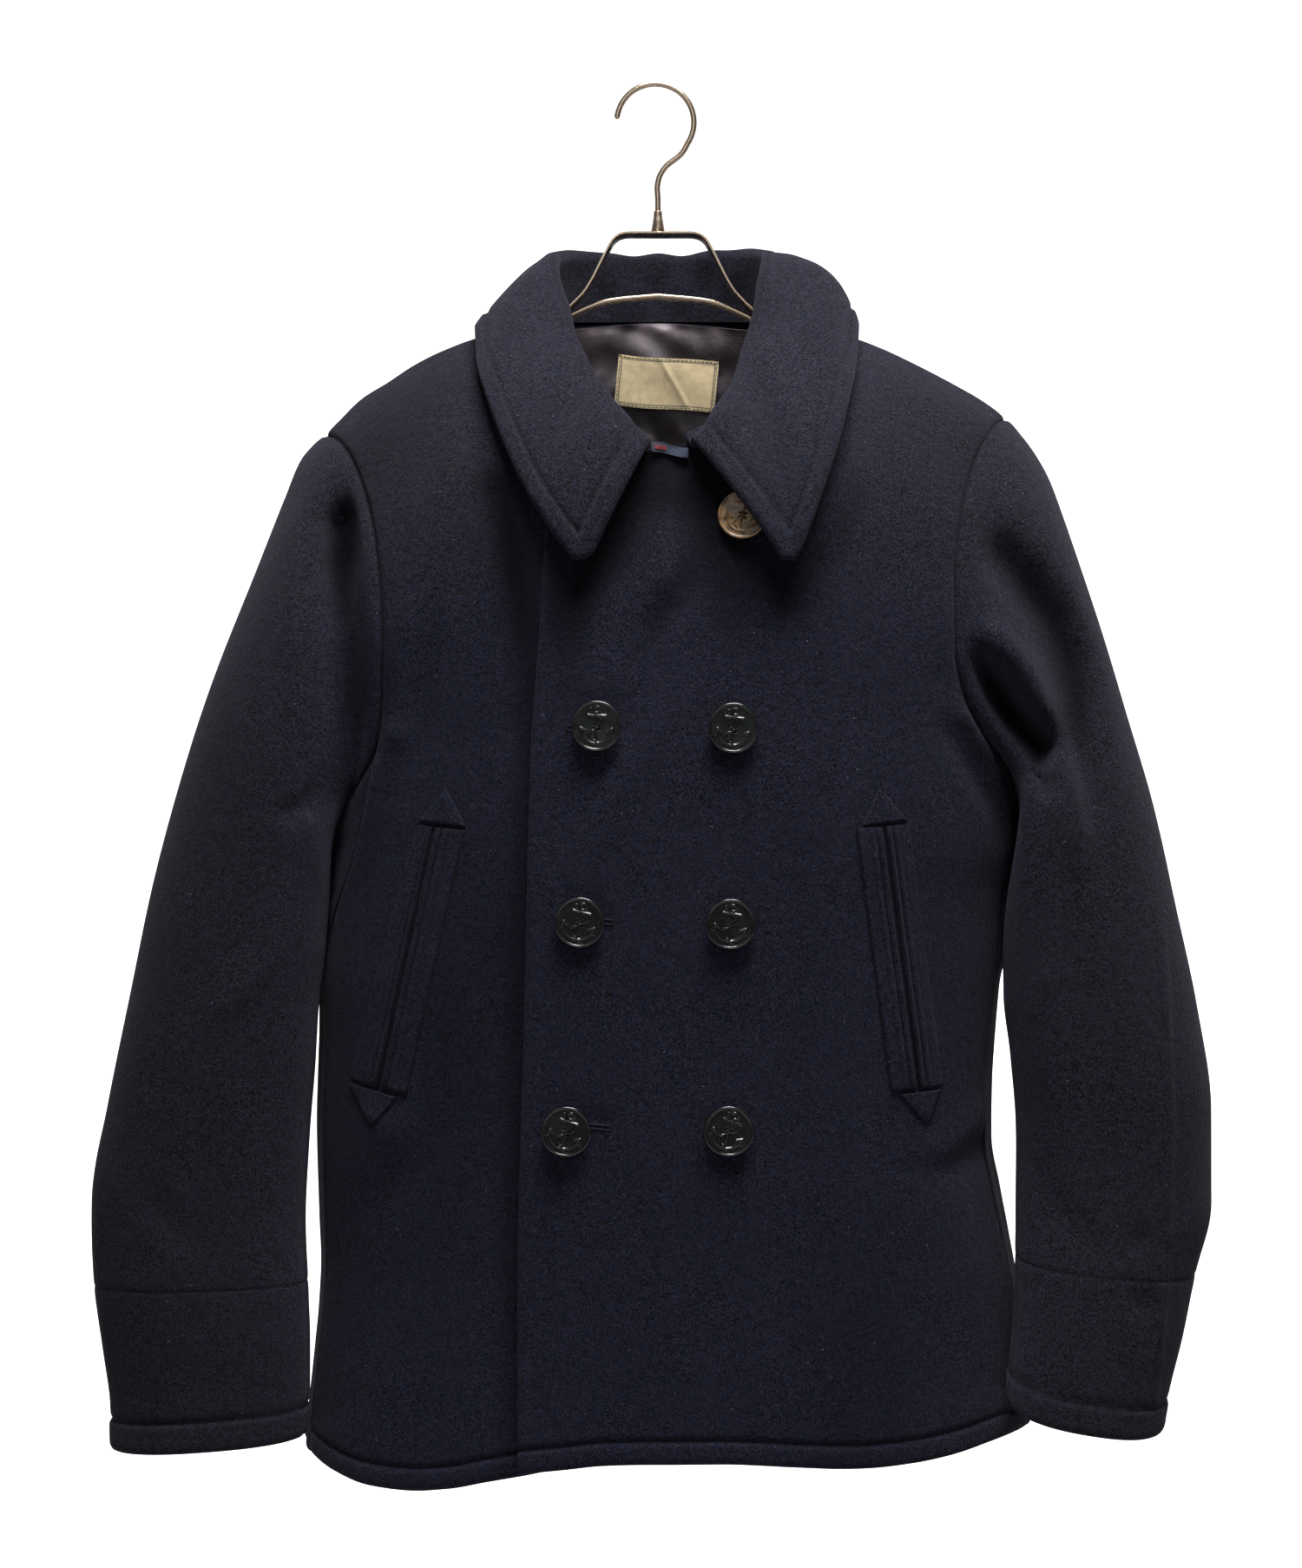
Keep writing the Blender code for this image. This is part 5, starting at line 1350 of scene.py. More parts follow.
def shape_side(grid, side, inset, deep):
    """A side body's shift: hanging waves less creases, seams and hem."""
    p = grid["side", side]
    seam_gap = np.minimum(from_line(p, p[0]), from_line(p, p[-1]))
    top_gap, hem_gap = from_line(p, p[:, 0]), to_end(p, 1)
    faint = side_seam_strength(p)
    shift = hang(p) - creases("side", p[..., 1], p[..., 2])
    shift -= faint * pinch(seam_gap) + pinch(top_gap) + border(hem_gap, inset, deep)
    # Painted shade of the seams and of the hem's topstitched groove.
    dark = np.maximum(faint * seam_painted_shade(seam_gap), seam_painted_shade(top_gap))
    store(grid, "side", side, shift, dark + stitch_painted_shade(hem_gap, inset), hem_gap)


def shape_back(grid, inset, deep):
    """The back's shift: hanging waves less creases, seams, the middle seam and the hem."""
    p = grid["back", 0]
    seam_gap = np.minimum(from_line(p, p[0]), from_line(p, p[-1]))
    left_top, right_top = p[: SHOULDER_COUNT[-1], 0], p[-SHOULDER_COUNT[1] :, 0]
    shoulder_gap = np.minimum(from_line(p, left_top), from_line(p, right_top))
    middle_gap = np.abs(p[..., 0] - p[len(shoulder_shares(-1)) - 1, 0, 0])
    hem_gap = to_end(p, 1)
    shift = hang(p) - creases("back", p[..., 0], p[..., 2])
    shift -= pinch(seam_gap) + pinch(shoulder_gap) + pinch(middle_gap, 1.3, 1.9)
    shift -= border(hem_gap, inset, deep)
    # Painted shade of the seams, the middle seam and the hem's topstitched groove.
    dark = seam_painted_shade(np.minimum(seam_gap, shoulder_gap)) + stitch_painted_shade(hem_gap, inset)
    store(grid, "back", 0, shift, dark + seam_painted_shade(middle_gap), hem_gap)


def shape_sleeve(grid, kind, side, inset, deep):
    """The shift of a sleeve or its lower end: waves less creases, each only on the face it
    belongs to, and less the seams round it and down it."""
    word = "right" if side < 0 else "left"
    angles = sleeve_angles()
    p = grid[kind, side]
    out, z = side * p[..., 0], p[..., 2]
    facing = ease(np.sin(angles), -0.05, 0.30)[:, None]
    behind = ease(-np.sin(angles), -0.05, 0.30)[:, None]
    clear = ease(SLEEVE_RINGS, 0.0, 0.7)[None, :] if kind == "sleeve" else 1.0
    shift = -creases("sleeve_" + word, out, z) * facing * clear
    shift -= creases("sleeve_back", out, z) * behind * clear
    hollow = np.maximum(-shift, 0)
    shift += hang(p)
    top_gap = from_line(p, np.concatenate([p[:, 0], p[:1, 0]]))
    gap = None
    if kind == "sleeve":
        foot_gap = from_line(p, np.concatenate([p[:, -1], p[:1, -1]]))
        shift -= pinch(top_gap) + pinch(foot_gap, 0.45, 1.1)
        dark = seam_painted_shade(top_gap) + seam_painted_shade(foot_gap, 0.8) * 0.35
        for width, line in SLEEVE_FOLDS[side]:
            hollow += crease_depth(out, z, width, line) * facing
    else:
        gap = to_end(p, 1)
        shift -= pinch(top_gap, 0.45, 1.1) + border(gap, inset + CUFF_MORE, deep)
        dark = seam_painted_shade(top_gap, 0.8) * 0.35 + stitch_painted_shade(gap, inset + CUFF_MORE)
    under_seam, back_seam = (
        p[int(np.argmin(np.abs(angles - math.pi * turn)))] for turn in SLEEVE_SEAM_TURNS
    )
    shift -= pinch(np.minimum(from_line(p, under_seam), from_line(p, back_seam)), 1.1, 1.6)
    # Painted shade of the seams, the cuff's topstitched groove and the crease hollows.
    store(grid, kind, side, shift, dark + hollow_painted_shade(hollow), gap)


def cloth():
    """Grids, normals and surface shifts of the body, sleeves and cuffs, worked out once."""
    if CLOTH:
        return CLOTH
    grid, normal = {("back", 0): back_grid()}, {}
    for side in (-1, 1):
        grid["front", side] = front_grid(side)
        grid["side", side] = side_grid(side)
        grid["sleeve", side] = sleeve_grid(side, SLEEVE_RINGS)
        grid["cuff", side] = sleeve_grid(side, CUFF_RINGS)
    for (kind, side), points in grid.items():
        outward = {"back": (0, 1, 0), "front": (0, -1, 0), "side": (side, 0, 0)}.get(kind)
        if kind in TUBES:
            outward = points - points.mean(0, keepdims=True)
        normal[kind, side] = grid_normals(points, np.array(outward), kind in TUBES)
    share_seams(normal)
    sizes = bpy.context.scene.coat_sizes
    deep, inset = sizes.groove_depth / MM, sizes.stitch_inset / MM
    shape_back(grid, inset, deep)
    for side in (-1, 1):
        shape_front(grid, side, inset, deep)
        shape_side(grid, side, inset, deep)
        for kind in TUBES:
            shape_sleeve(grid, kind, side, inset, deep)
    CLOTH.update(grid=grid, normal=normal)
    return CLOTH


def build_cloth(kind, pieces):
    """Closed walls on the grids of one kind: each surface is moved along its normals by its
    shift, and a free edge is rounded over the wall's thickness."""
    grid, normal = cloth()["grid"], cloth()["normal"]
    half = bpy.context.scene.coat_sizes.wall / MM / 2
    for side, name in pieces:
        gap, along = grid[kind + "_gap", side], normal[kind, side]
        middle = grid[kind, side] + along * (grid[kind + "_shift", side] - half)[..., None]
        thick = along * (half if gap is None else edge_half(gap, half)[..., None])
        outer, inner = middle + thick, middle - thick
        grid[kind + "_outer", side] = outer
        wrap, dark = kind in TUBES, grid[kind + "_dark", side]
        obj = make_wall("cloth_" + name, outer, inner, finish("wool"), wrap, sharp=70, dark=dark)
        finish_piece(obj, [name])
        declare_cloth(outer, wrap)


# ---------------------------------------------------------------- collar


def neck_seat(side, angles):
    """Middle of the neckline's rim and the direction in which the cloth would go on."""
    radians = np.radians(np.abs(angles))
    wide = SHOULDER[side]["x"]
    found = []
    for face in (-1, 1):
        share = NECK_HALF_WIDTH * np.cos(radians) / wide
        step = np.radians(3.0)
        near = NECK_HALF_WIDTH * np.cos(np.clip(radians - step, 0, math.pi / 2)) / wide
        away = NECK_HALF_WIDTH * np.cos(np.clip(radians + step, 0, math.pi / 2)) / wide
        point = panel(face, side, share, 0.0)
        below = panel(face, side, share, 0.04)
        along = unit(panel(face, side, away, 0.0) - panel(face, side, near, 0.0))
        found.append((point, below, along))
    front = (angles > 0)[:, None]
    point, below, along = (np.where(front, a, b) for a, b in zip(*found))
    face = np.where(angles > 0, -1.0, 1.0)
    onward = point - below
    onward = unit(onward - along * np.sum(onward * along, -1, keepdims=True))
    inward = np.stack([-side * np.cos(radians), -face * np.sin(radians), np.ones(len(angles))], -1)
    inward = unit(inward - along * np.sum(inward * along, -1, keepdims=True))
    near = bell(angles - 10, 20)[:, None]
    onward = unit(onward * (1 - near) + inward * near)
    normal = unit(np.cross(along, onward))
    look = np.stack([0 * face, face, 0 * face + 0.35], -1)
    normal = normal * np.where(np.sum(normal * look, -1) < 0, -1, 1)[:, None]
    height = np.full(len(angles), -WALL / 2)
    if side > 0:
        height = height + np.where(angles > 0, lap_lift(point[:, 0], point[:, 2]), 0)
    return point + normal * height[:, None], onward


COLLAR_WALL = 5.0
CORNER_RADIUS = 6.0
# Degrees along the neck that count as one share down the leaf in the leaf's waves.
WAVE_ANGLE = 40.0
STAND_PLACES = np.linspace(0, 1, 9)[:-1]
ROLL_PLACES = np.linspace(0, 1, 13)
LEAF_PLACES = places(90.0, PLAIN, EDGE_PLACES, 3.2)[1:] / 90.0


def collar_stations(side, angles):
    """Middle lines of the collar: straight up the stand, a circle over the roll, and down
    the leaf along a straight line with a soft bow."""
    rx, ry, rz, ex, ey, ez, bow = (
        COLLAR[side].at(name, angles) for name in COLLAR_NAMES.split()[1:]
    )
    roll = np.stack([side * rx, ry, rz], -1)
    edge = np.stack([side * ex, ey, ez], -1)
    seat, onward = neck_seat(side, angles)
    radians = np.radians(angles)
    ahead = np.stack([side * np.cos(radians), -np.sin(radians), 0 * radians], -1)
    straight = unit((edge - roll) * np.array([1, 1, 0]))
    share = ease(angles, -8, 8)[:, None]
    out = unit(ahead * share + straight * (1 - share))
    fall = edge[:, 2] - roll[:, 2]
    reach = np.sum((edge - roll) * out, -1)
    up = np.array([0, 0, 1.0])
    outer = ROLL_RADIUS + COLLAR_WALL / 2
    centre = roll + out * outer - up * outer
    start = centre - out * ROLL_RADIUS
    lean = unit(start - seat)
    turn = np.sqrt(np.clip(1 - np.sum(lean * onward, -1) ** 2, 0, 1))
    rise = SEAM_RISE.at("gap", angles) + COLLAR_WALL / 2 * turn
    foot = seat + onward * rise[:, None]
    stand = foot[:, None] + (start - foot)[:, None] * STAND_PLACES[None, :, None]
    last = math.pi / 2 + np.arctan2(-fall, reach) * 0.9
    a = last[:, None] * ROLL_PLACES[None, :]
    arc = centre[:, None] + ROLL_RADIUS * (
        up * np.sin(a)[..., None] - out[:, None] * np.cos(a)[..., None]
    )
    end = arc[:, -1]
    across = unit(np.cross(edge - end, np.cross(out, up)))
    across = across * np.where(across[:, 2] < 0, -1, 1)[:, None]
    f = LEAF_PLACES[None, :, None]
    lift = np.sin(math.pi * np.clip(LEAF_PLACES, 0, 1))[None, :, None] ** 0.9
    leaf = end[:, None] + (edge - end)[:, None] * f + (across * bow[:, None])[:, None] * lift
    return np.concatenate([stand, arc, leaf], 1)


def collar_angles(side):
    """Angles from the front edge to the back, close together near the front edge."""
    first = COLLAR[side].column("angle")[0]
    near = EDGE_PLACES * 0.42
    rest = np.linspace(first - near[-1], -90, 74)[1:]
    return np.concatenate([first - near, rest])


# Soft cross waves of the collar leaves: angle along the neck, share down the leaf.
LEAF_WAVES = {
    -1: folds("""
    0.16: 8 0.35 -1.6, 14 0.55 -2.4, 22 0.85 -1.2;
    0.15: 24 0.2 1.2, 30 0.5 2.6, 36 0.85 1.4;
    0.16: 36 0.2 -1, 43 0.5 -2.6, 50 0.85 -1.6;
    0.13: 48 0.3 1, 54 0.55 2.2, 60 0.8 1;
    0.14: 58 0.3 -0.8, 64 0.55 -2, 70 0.85 -1.2"""),
    1: folds("""
    0.18: 4 0.3 -1.4, 10 0.55 -2.2, 18 0.85 -1;
    0.16: 22 0.25 1, 30 0.55 2.2, 38 0.85 1.2;
    0.17: 40 0.25 -1, 46 0.5 -2.2, 54 0.85 -1.4;
    0.15: 56 0.3 0.8, 62 0.55 1.8, 68 0.85 1"""),
}


def round_corner(points, gap_a, gap_b, toward_a, toward_b, radius):
    """Round a square corner: a point's pair of distances is drawn from a square to a disc."""
    a = np.clip(1 - gap_a / radius, 0, 1)
    b = np.clip(1 - gap_b / radius, 0, 1)
    long = np.maximum(np.hypot(a, b), 1e-9)
    keep = np.maximum(a, b) / long
    move = (a * (1 - keep))[..., None] * toward_a + (b * (1 - keep))[..., None] * toward_b
    return points + radius * move


def build_collar():
    """The collar's middle lines of both halves, carried along their normals by waves, a
    rumpled roll and the sewn groove, with half its thickness on either side."""
    sizes = bpy.context.scene.coat_sizes
    half = sizes.collar_wall / MM / 2
    tags = [collar_angles(side) for side in (-1, 1)]
    parts = [collar_stations(side, angles) for side, angles in zip((-1, 1), tags)]
    middle = np.concatenate([parts[0], parts[1][::-1][1:]])
    count = len(parts[0])
    skip = len(STAND_PLACES) + len(ROLL_PLACES)
    edge_gap = np.full(middle.shape[:2], FAR)
    edge_gap[:, skip - 1 :] = to_end(middle[:, skip - 1 :], 1)
    front_gap = np.full(middle.shape[:2], FAR)
    front_gap[:, skip - 4 :] = np.minimum(
        from_line(middle[:, skip - 4 :], middle[0, skip - 4 :]),
        from_line(middle[:, skip - 4 :], middle[-1, skip - 4 :]),
    )
    rim_gap = np.minimum(lengths(middle, 0), to_end(middle, 0))
    normal = unit(np.cross(np.gradient(middle, axis=0), np.gradient(middle, axis=1)))
    if normal[len(normal) // 2, skip // 2, 2] < 0:
        normal = -normal
    angle_of = np.concatenate([tags[0], tags[1][::-1][1:]])
    waves = np.zeros((len(middle), len(LEAF_PLACES)))
    down = np.broadcast_to(LEAF_PLACES[None, :], waves.shape)
    for side, rows in ((-1, slice(0, count)), (1, slice(count, None))):
        a = np.broadcast_to(angle_of[rows, None] / WAVE_ANGLE, down[rows].shape)
        for width, line in LEAF_WAVES[side]:
            scaled = [(p / WAVE_ANGLE, q, d) for p, q, d in line]
            waves[rows] -= crease_depth(a, down[rows], width, scaled)
    waves *= np.sin(math.pi * np.clip(LEAF_PLACES * 0.86 + 0.14, 0, 1))[None, :]
    shift = hang(middle) * 0.6
    shift[:, skip:] += waves
    x, z = middle[..., 0], middle[..., 2]
    rumple = 0.9 * np.sin(x / 7.5 + z / 9.0 + np.sin(x / 19.0)) + 0.6 * np.sin(x / 4.6 - z / 7.0)
    shift[:, :skip] += rumple[:, :skip] * ease(np.arange(skip), 0, 3)[None, :] * 0.8
    fade = 1 - ease(np.arange(shift.shape[1] - skip), 0, 9)
    shift[:, skip:] += rumple[:, skip:] * fade[None, :] * 0.8
    inset = sizes.stitch_inset / MM
    off_front, off_edge = front_gap > inset * 0.9, edge_gap > inset * 0.9
    groove = border(edge_gap, inset, 1.0) * off_front + border(front_gap, inset, 1.0) * off_edge
    both = (edge_gap < inset * 0.9) & (front_gap < inset * 0.9)
    groove = np.where(both, -0.75 * ease(np.minimum(edge_gap, front_gap), 0, 4), groove)
    # Painted shade: the topstitched grooves, and at least 0.28 over the stand inside the neck.
    dark = stitch_painted_shade(edge_gap, inset) * off_front + stitch_painted_shade(front_gap, inset) * off_edge
    dark[:, : skip - 4] = np.maximum(dark[:, : skip - 4], 0.28)
    thick = edge_half(np.minimum(edge_gap, rim_gap), half)
    for row, nxt in ((0, 1), (-1, -2)):
        corner = middle[row, -1]
        toward_a = unit(middle[nxt, -1] - corner)
        toward_b = unit(middle[row, -6] - corner)
        near = from_line(middle, middle[row, skip:])
        rounded = round_corner(middle, near, edge_gap, toward_a, toward_b, CORNER_RADIUS)
        hold = (from_line(middle, middle[row : row + 1, -1].repeat(2, 0)) < 12)[..., None]
        middle = np.where(hold, rounded, middle)
    outer = middle + normal * (thick + shift - groove)[..., None]
    inner = middle - normal * (thick - shift * 0.9)[..., None]
    cloth()["collar"] = (outer, normal, edge_gap, front_gap, skip)
    obj = make_wall("cloth_collar", outer, inner, finish("wool"), sharp=75, dark=dark)
    finish_piece(obj, ["collar"])
    declare_cloth(outer)


# ---------------------------------------------------------------- things laid on the fronts

FACE = {}
LATTICE = 3.0


def face_map(side):
    """Depth of the front's outer face on an even lattice of X and Z: the panel's rows are
    cut at each X and read at each Z."""
    if side in FACE:
        return FACE[side]
    low, high = (-90.0, 226.0) if side > 0 else (-216.0, 60.0)
    xs, zs = np.arange(low, high, LATTICE), np.arange(-846.0, -236.0, LATTICE)
    rows = np.linspace(0.0, 2.0, 220)
    table = np.zeros((len(xs), len(zs)))
    for i, x in enumerate(xs):
        half = 1 if x >= 0 else -1
        widths = edge_width(-1, half, rows)
        line = panel(-1, half, np.clip(abs(x) / widths, 0, 1), rows, side > 0)
        table[i] = np.interp(-zs, -line[:, 2], line[:, 1])
    FACE[side] = (xs, zs, table)
    return FACE[side]


def face_depth(side, x, z):
    """Y of the base surface by reading the lattice between its points."""
    xs, zs, table = face_map(side)
    u = np.clip((x - xs[0]) / LATTICE, 0, len(xs) - 1.001)
    v = np.clip((z - zs[0]) / LATTICE, 0, len(zs) - 1.001)
    i, j = u.astype(int), v.astype(int)
    f, g = u - i, v - j
    low = table[i, j] * (1 - f) + table[i + 1, j] * f
    high = table[i, j + 1] * (1 - f) + table[i + 1, j + 1] * f
    return low * (1 - g) + high * g


def on_front(side, x, z, creased=True):
    """Points and normals of the front's outer face, creases and all, at X and Z."""
    x, z = np.asarray(x, float), np.asarray(z, float)
    here = np.stack([x, face_depth(side, x, z), z], -1)
    dx = face_depth(side, x + 4, z) - face_depth(side, x - 4, z)
    dz = face_depth(side, x, z + 4) - face_depth(side, x, z - 4)
    normal = unit(np.stack([dx / 8, -np.ones_like(dx), dz / 8], -1))
    shift = np.zeros(x.shape)
    if creased:
        name = "front_over" if side > 0 else "front_under"
        shift = hang(here) - creases(name, x, z)
    if side > 0:
        shift = shift + lap_lift(x, z)
    return here + normal * shift[..., None], normal


def capsule(x, y, a, b):
    """Distance from the stretch between two points."""
    ax, ay = a
    bx, by = b
    rx, ry = bx - ax, by - ay
    f = np.clip(((x - ax) * rx + (y - ay) * ry) / (rx * rx + ry * ry), 0, 1)
    return np.hypot(x - ax - f * rx, y - ay - f * ry)


def raised(gap, wide, high):
    """A rounded ridge of half width wide: a half ellipse across."""
    return high * np.sqrt(np.clip(1 - (gap / (0.82 * wide)) ** 2, 0, 1))


# The anchor's shank, stock and flukes, each from one point to another.
ANCHOR_LINES = Table(
    "ax ay bx by wide high",
    """0 -8 0 6 0.62 0.85, -4.4 5.2 4.4 5.2 0.6 0.8,
    -7.6 -1.2 -5 -2.6 0.55 0.8, 7.6 -1.2 5 -2.6 0.55 0.8,
    -7.6 -1.2 -8.2 -4 0.55 0.8, 7.6 -1.2 8.2 -4 0.55 0.8""",
)


def anchor_relief(x, y):
    """A plain anchor: shank, stock, ring, curved arms, two flukes and a rope wound round
    the shank. Each is a distance from a line or an arc; the highest one shows."""
    x, y = x / 1.22, y / 1.22
    low = np.where(y < -2.2, np.abs(np.hypot(x, y + 1.2) - 7.2), 9.0)
    parts = [raised(np.abs(np.hypot(x, y - 8.1) - 1.55), 0.50, 0.75), raised(low, 0.66, 0.85)]
    for ax, ay, bx, by, wide, high in ANCHOR_LINES.rows:
        parts.append(raised(capsule(x, y, (ax, ay), (bx, by)), wide, high))
    rope = np.abs(x - 3.4 * np.sin(y * 0.50 + 0.6)) * 0.70
    parts.append(raised(np.where((y > -10.2) & (y < 8.6), rope, 9.0), 0.46, 0.95))
    return np.max(parts, axis=0)


def button_surface(radius, thick, shank):
    """A button turned about its axis: a narrow rounded rim, a flat sunk face with the relief,
    a flat back and a neck of thread; the two parameters are the angle and the way along the
    profile."""
    face = np.concatenate([np.linspace(0, radius - 2.4, 58), [radius - 2.0, radius - 1.7]])
    rim = np.radians(np.linspace(150, -80, 15))
    rim_r = radius - 0.85 + 0.85 * np.cos(rim)
    rim_z = shank + thick - 0.9 + 0.85 * np.sin(rim)
    r = np.concatenate([face, rim_r, [radius - 0.9, radius - 3.0, 3.0, 2.6, 2.5, 0.0]])
    dish = shank + thick - 0.95 - 0.25 * (1 - ease(face, 0, radius - 2.4))
    z = np.concatenate([dish, rim_z, [shank + 0.7, shank, shank, shank * 0.6, 0.0, 0.0]])
    turn = full_turn(160)
    x = r[None, :] * np.cos(turn)[:, None]
    y = r[None, :] * np.sin(turn)[:, None]
    height = np.broadcast_to(z, x.shape).copy()
    count = len(face)
    relief = anchor_relief(x[:, :count], y[:, :count])
    fade = 1 - ease(face, radius - 3.0, radius - 2.4)
    holes = np.zeros_like(relief)
    for hx, hy in ((-1.5, 0.9), (1.5, 0.9), (-1.5, -1.6), (1.5, -1.6)):
        holes += bell(np.hypot(x[:, :count] - hx, y[:, :count] - hy), 0.62)
    height[:, :count] += 1.25 * relief * fade[None, :] - 1.3 * np.clip(holes, 0, 1)
    return np.stack([x, y, height], -1)


def revolve_faces(count_i, count_j):
    """Quads of a grid that closes on itself along its first axis."""
    index = np.arange(count_i * count_j).reshape(count_i, count_j)
    nxt = np.roll(index, -1, axis=0)
    return np.stack([index[:, :-1], index[:, 1:], nxt[:, 1:], nxt[:, :-1]], -1).reshape(-1, 4)


def weld(obj, distance=0.00002):
    """Merge the doubled points at poles and seams and turn the faces outward."""
    bm = bmesh.new()
    bm.from_mesh(obj.data)
    bmesh.ops.remove_doubles(bm, verts=bm.verts, dist=distance)
    bmesh.ops.recalc_face_normals(bm, faces=bm.faces)
    if bm.calc_volume(signed=True) < 0:
        bmesh.ops.reverse_faces(bm, faces=bm.faces)
    bm.to_mesh(obj.data)
    bm.free()
    return obj


def tube(line, radius, sides):
    """A round tube swept along a line with frames carried by projection; ends are domed."""
    line = np.asarray(line, float)
    tangent = unit(np.gradient(line, axis=0))
    radius = np.broadcast_to(np.asarray(radius, float), (len(line),)).copy()
    ref = np.array([0, 1.0, 0])
    if abs(np.dot(tangent[0], ref)) > 0.9:
        ref = np.array([1.0, 0, 0])
    first = unit(ref - tangent * (tangent @ ref)[:, None])
    second = np.cross(tangent, first)
    dome = np.radians([90, 72, 52, 32, 14])
    start = line[0] - tangent[0] * (radius[0] * np.sin(dome))[:, None]
    end = line[-1] + tangent[-1] * (radius[-1] * np.sin(dome[::-1]))[:, None]
    line = np.concatenate([start, line, end])
    first = np.concatenate([first[:1].repeat(5, 0), first, first[-1:].repeat(5, 0)])
    second = np.concatenate([second[:1].repeat(5, 0), second, second[-1:].repeat(5, 0)])
    radius = np.concatenate([radius[0] * np.cos(dome), radius, radius[-1] * np.cos(dome[::-1])])
    turn = full_turn(sides)
    ring = first[None] * np.cos(turn)[:, None, None] + second[None] * np.sin(turn)[:, None, None]
    return line[None] + ring * radius[None, :, None]


def stitch_base():
    """One stitch: a small six-sided capsule along X, thinner at its ends."""
    along = np.array([-0.5, -0.42, 0.0, 0.42, 0.5])
    wide = np.array([0.25, 0.85, 1.0, 0.85, 0.25])
    turn = full_turn(6)
    ring = np.stack([0 * turn, np.cos(turn), np.sin(turn)], -1)
    points = ring[:, None] * wide[None, :, None]
    points[..., 0] = along[None, :]
    caps_a = [(0, 5, 10, 15), (0, 15, 20, 25)]
    caps_b = [(4, 19, 14, 9), (4, 29, 24, 19)]
    faces = np.concatenate([revolve_faces(6, 5)[:, ::-1], caps_a, caps_b])
    return points.reshape(-1, 3), faces


def stitch_places(line, normals, step):
    """Centres, directions and normals of stitches evenly spaced along a line."""
    run = lengths(line, 0)
    count = int(run[-1] / step)
    if count < 2:
        return None
    where = (np.arange(count) + 0.5) * run[-1] / count
    centre = np.stack([np.interp(where, run, line[:, k]) for k in range(3)], -1)
    normal = unit(np.stack([np.interp(where, run, normals[:, k]) for k in range(3)], -1))
    ahead = np.stack([np.interp(where + 0.8, run, line[:, k]) for k in range(3)], -1)
    behind = np.stack([np.interp(where - 0.8, run, line[:, k]) for k in range(3)], -1)
    return centre, unit(ahead - behind), normal


def stitches(name, lines, step=3.3, length=2.5, radius=0.26, lift=-0.02, kind="thread"):
    """A row of stitches along each line, all in one mesh: the base stitch is set on every
    place by its own axes, in whole arrays."""
    base, faces = stitch_base()
    chunks = []
    for line, normals in lines:
        found = stitch_places(np.asarray(line), np.asarray(normals), step)
        if found is None:
            continue
        centre, ahead, normal = found
        side = unit(np.cross(normal, ahead))
        normal = np.cross(ahead, side)
        points = (
            centre[:, None]
            + normal[:, None] * lift
            + ahead[:, None] * base[None, :, :1] * length
            + side[:, None] * base[None, :, 1:2] * radius
            + normal[:, None] * base[None, :, 2:3] * radius
        )
        chunks.append(points)
    points = np.concatenate(chunks)
    count, size = points.shape[:2]
    all_faces = (faces[None] + (np.arange(count) * size)[:, None, None]).reshape(-1, 4)
    obj = make_mesh(name, points.reshape(-1, 3), all_faces, finish(kind))
    weld(obj, 0.000001)
    return finish_piece(obj)


def level_line(points, normals, gap, value, axis):
    """Where a distance field crosses a value on every grid line along one axis."""
    if axis == 0:
        points, normals, gap = (np.swapaxes(a, 0, 1) for a in (points, normals, gap))
    below = gap < value
    change = below[:, 1:] != below[:, :-1]
    rows = np.nonzero(change.any(1))[0]
    first = change.shape[1] - 1 - np.argmax(change[rows][:, ::-1], axis=1)
    a, b = gap[rows, first], gap[rows, first + 1]
    f = ((value - a) / np.where(np.abs(b - a) < 1e-9, 1, b - a))[:, None]
    found = points[rows, first] * (1 - f) + points[rows, first + 1] * f
    turned = normals[rows, first] * (1 - f) + normals[rows, first + 1] * f
    return found, unit(turned), rows


def build_topstitching():
    """Rows of stitches where the distance from a free edge equals the topstitch inset."""
    data = cloth()
    grid, normal = data["grid"], data["normal"]
    inset = bpy.context.scene.coat_sizes.stitch_inset / MM
    lines = []
    for side in (-1, 1):
        outer = grid["front_outer", side]
        hem_gap, lap_gap = grid["gaps", side]
        line, turned, rows = level_line(outer, normal["front", side], hem_gap, inset, 1)
        if side > 0:
            keep = lap_gap[rows, -1] > inset
            line, turned = line[keep], turned[keep]
        lines.append((line, turned))
        line, turned, _ = level_line(
            grid["side_outer", side], normal["side", side], grid["side_gap", side], inset, 1
        )
        lines.append((line, turned))
        line, turned, _ = level_line(
            grid["cuff_outer", side],
            normal["cuff", side],
            grid["cuff_gap", side],
            inset + CUFF_MORE,
            1,
        )
        line = np.concatenate([line, line[:1]])
        lines.append((line, np.concatenate([turned, turned[:1]])))
    line, turned, _ = level_line(
        grid["back_outer", 0], normal["back", 0], grid["back_gap", 0], inset, 1
    )
    lines.append((line, turned))
    stitches("topstitch_body", lines)
    outer, turned, edge_gap, front_gap, skip = data["collar"]
    lines = []
    line, facing, rows = level_line(outer, turned, edge_gap, inset, 1)
    keep = front_gap[rows, -8] > inset
    lines.append((line[keep], facing[keep]))
    count = len(outer) // 2
    for part in (slice(0, count), slice(count, None)):
        line, facing, rows = level_line(
            outer[part, skip:], turned[part, skip:], front_gap[part, skip:], inset, 0
        )
        reach = edge_gap[part, skip:].min(0)[rows]
        keep = reach > inset
        lines.append((line[keep], facing[keep]))
    stitches("topstitch_collar", lines)


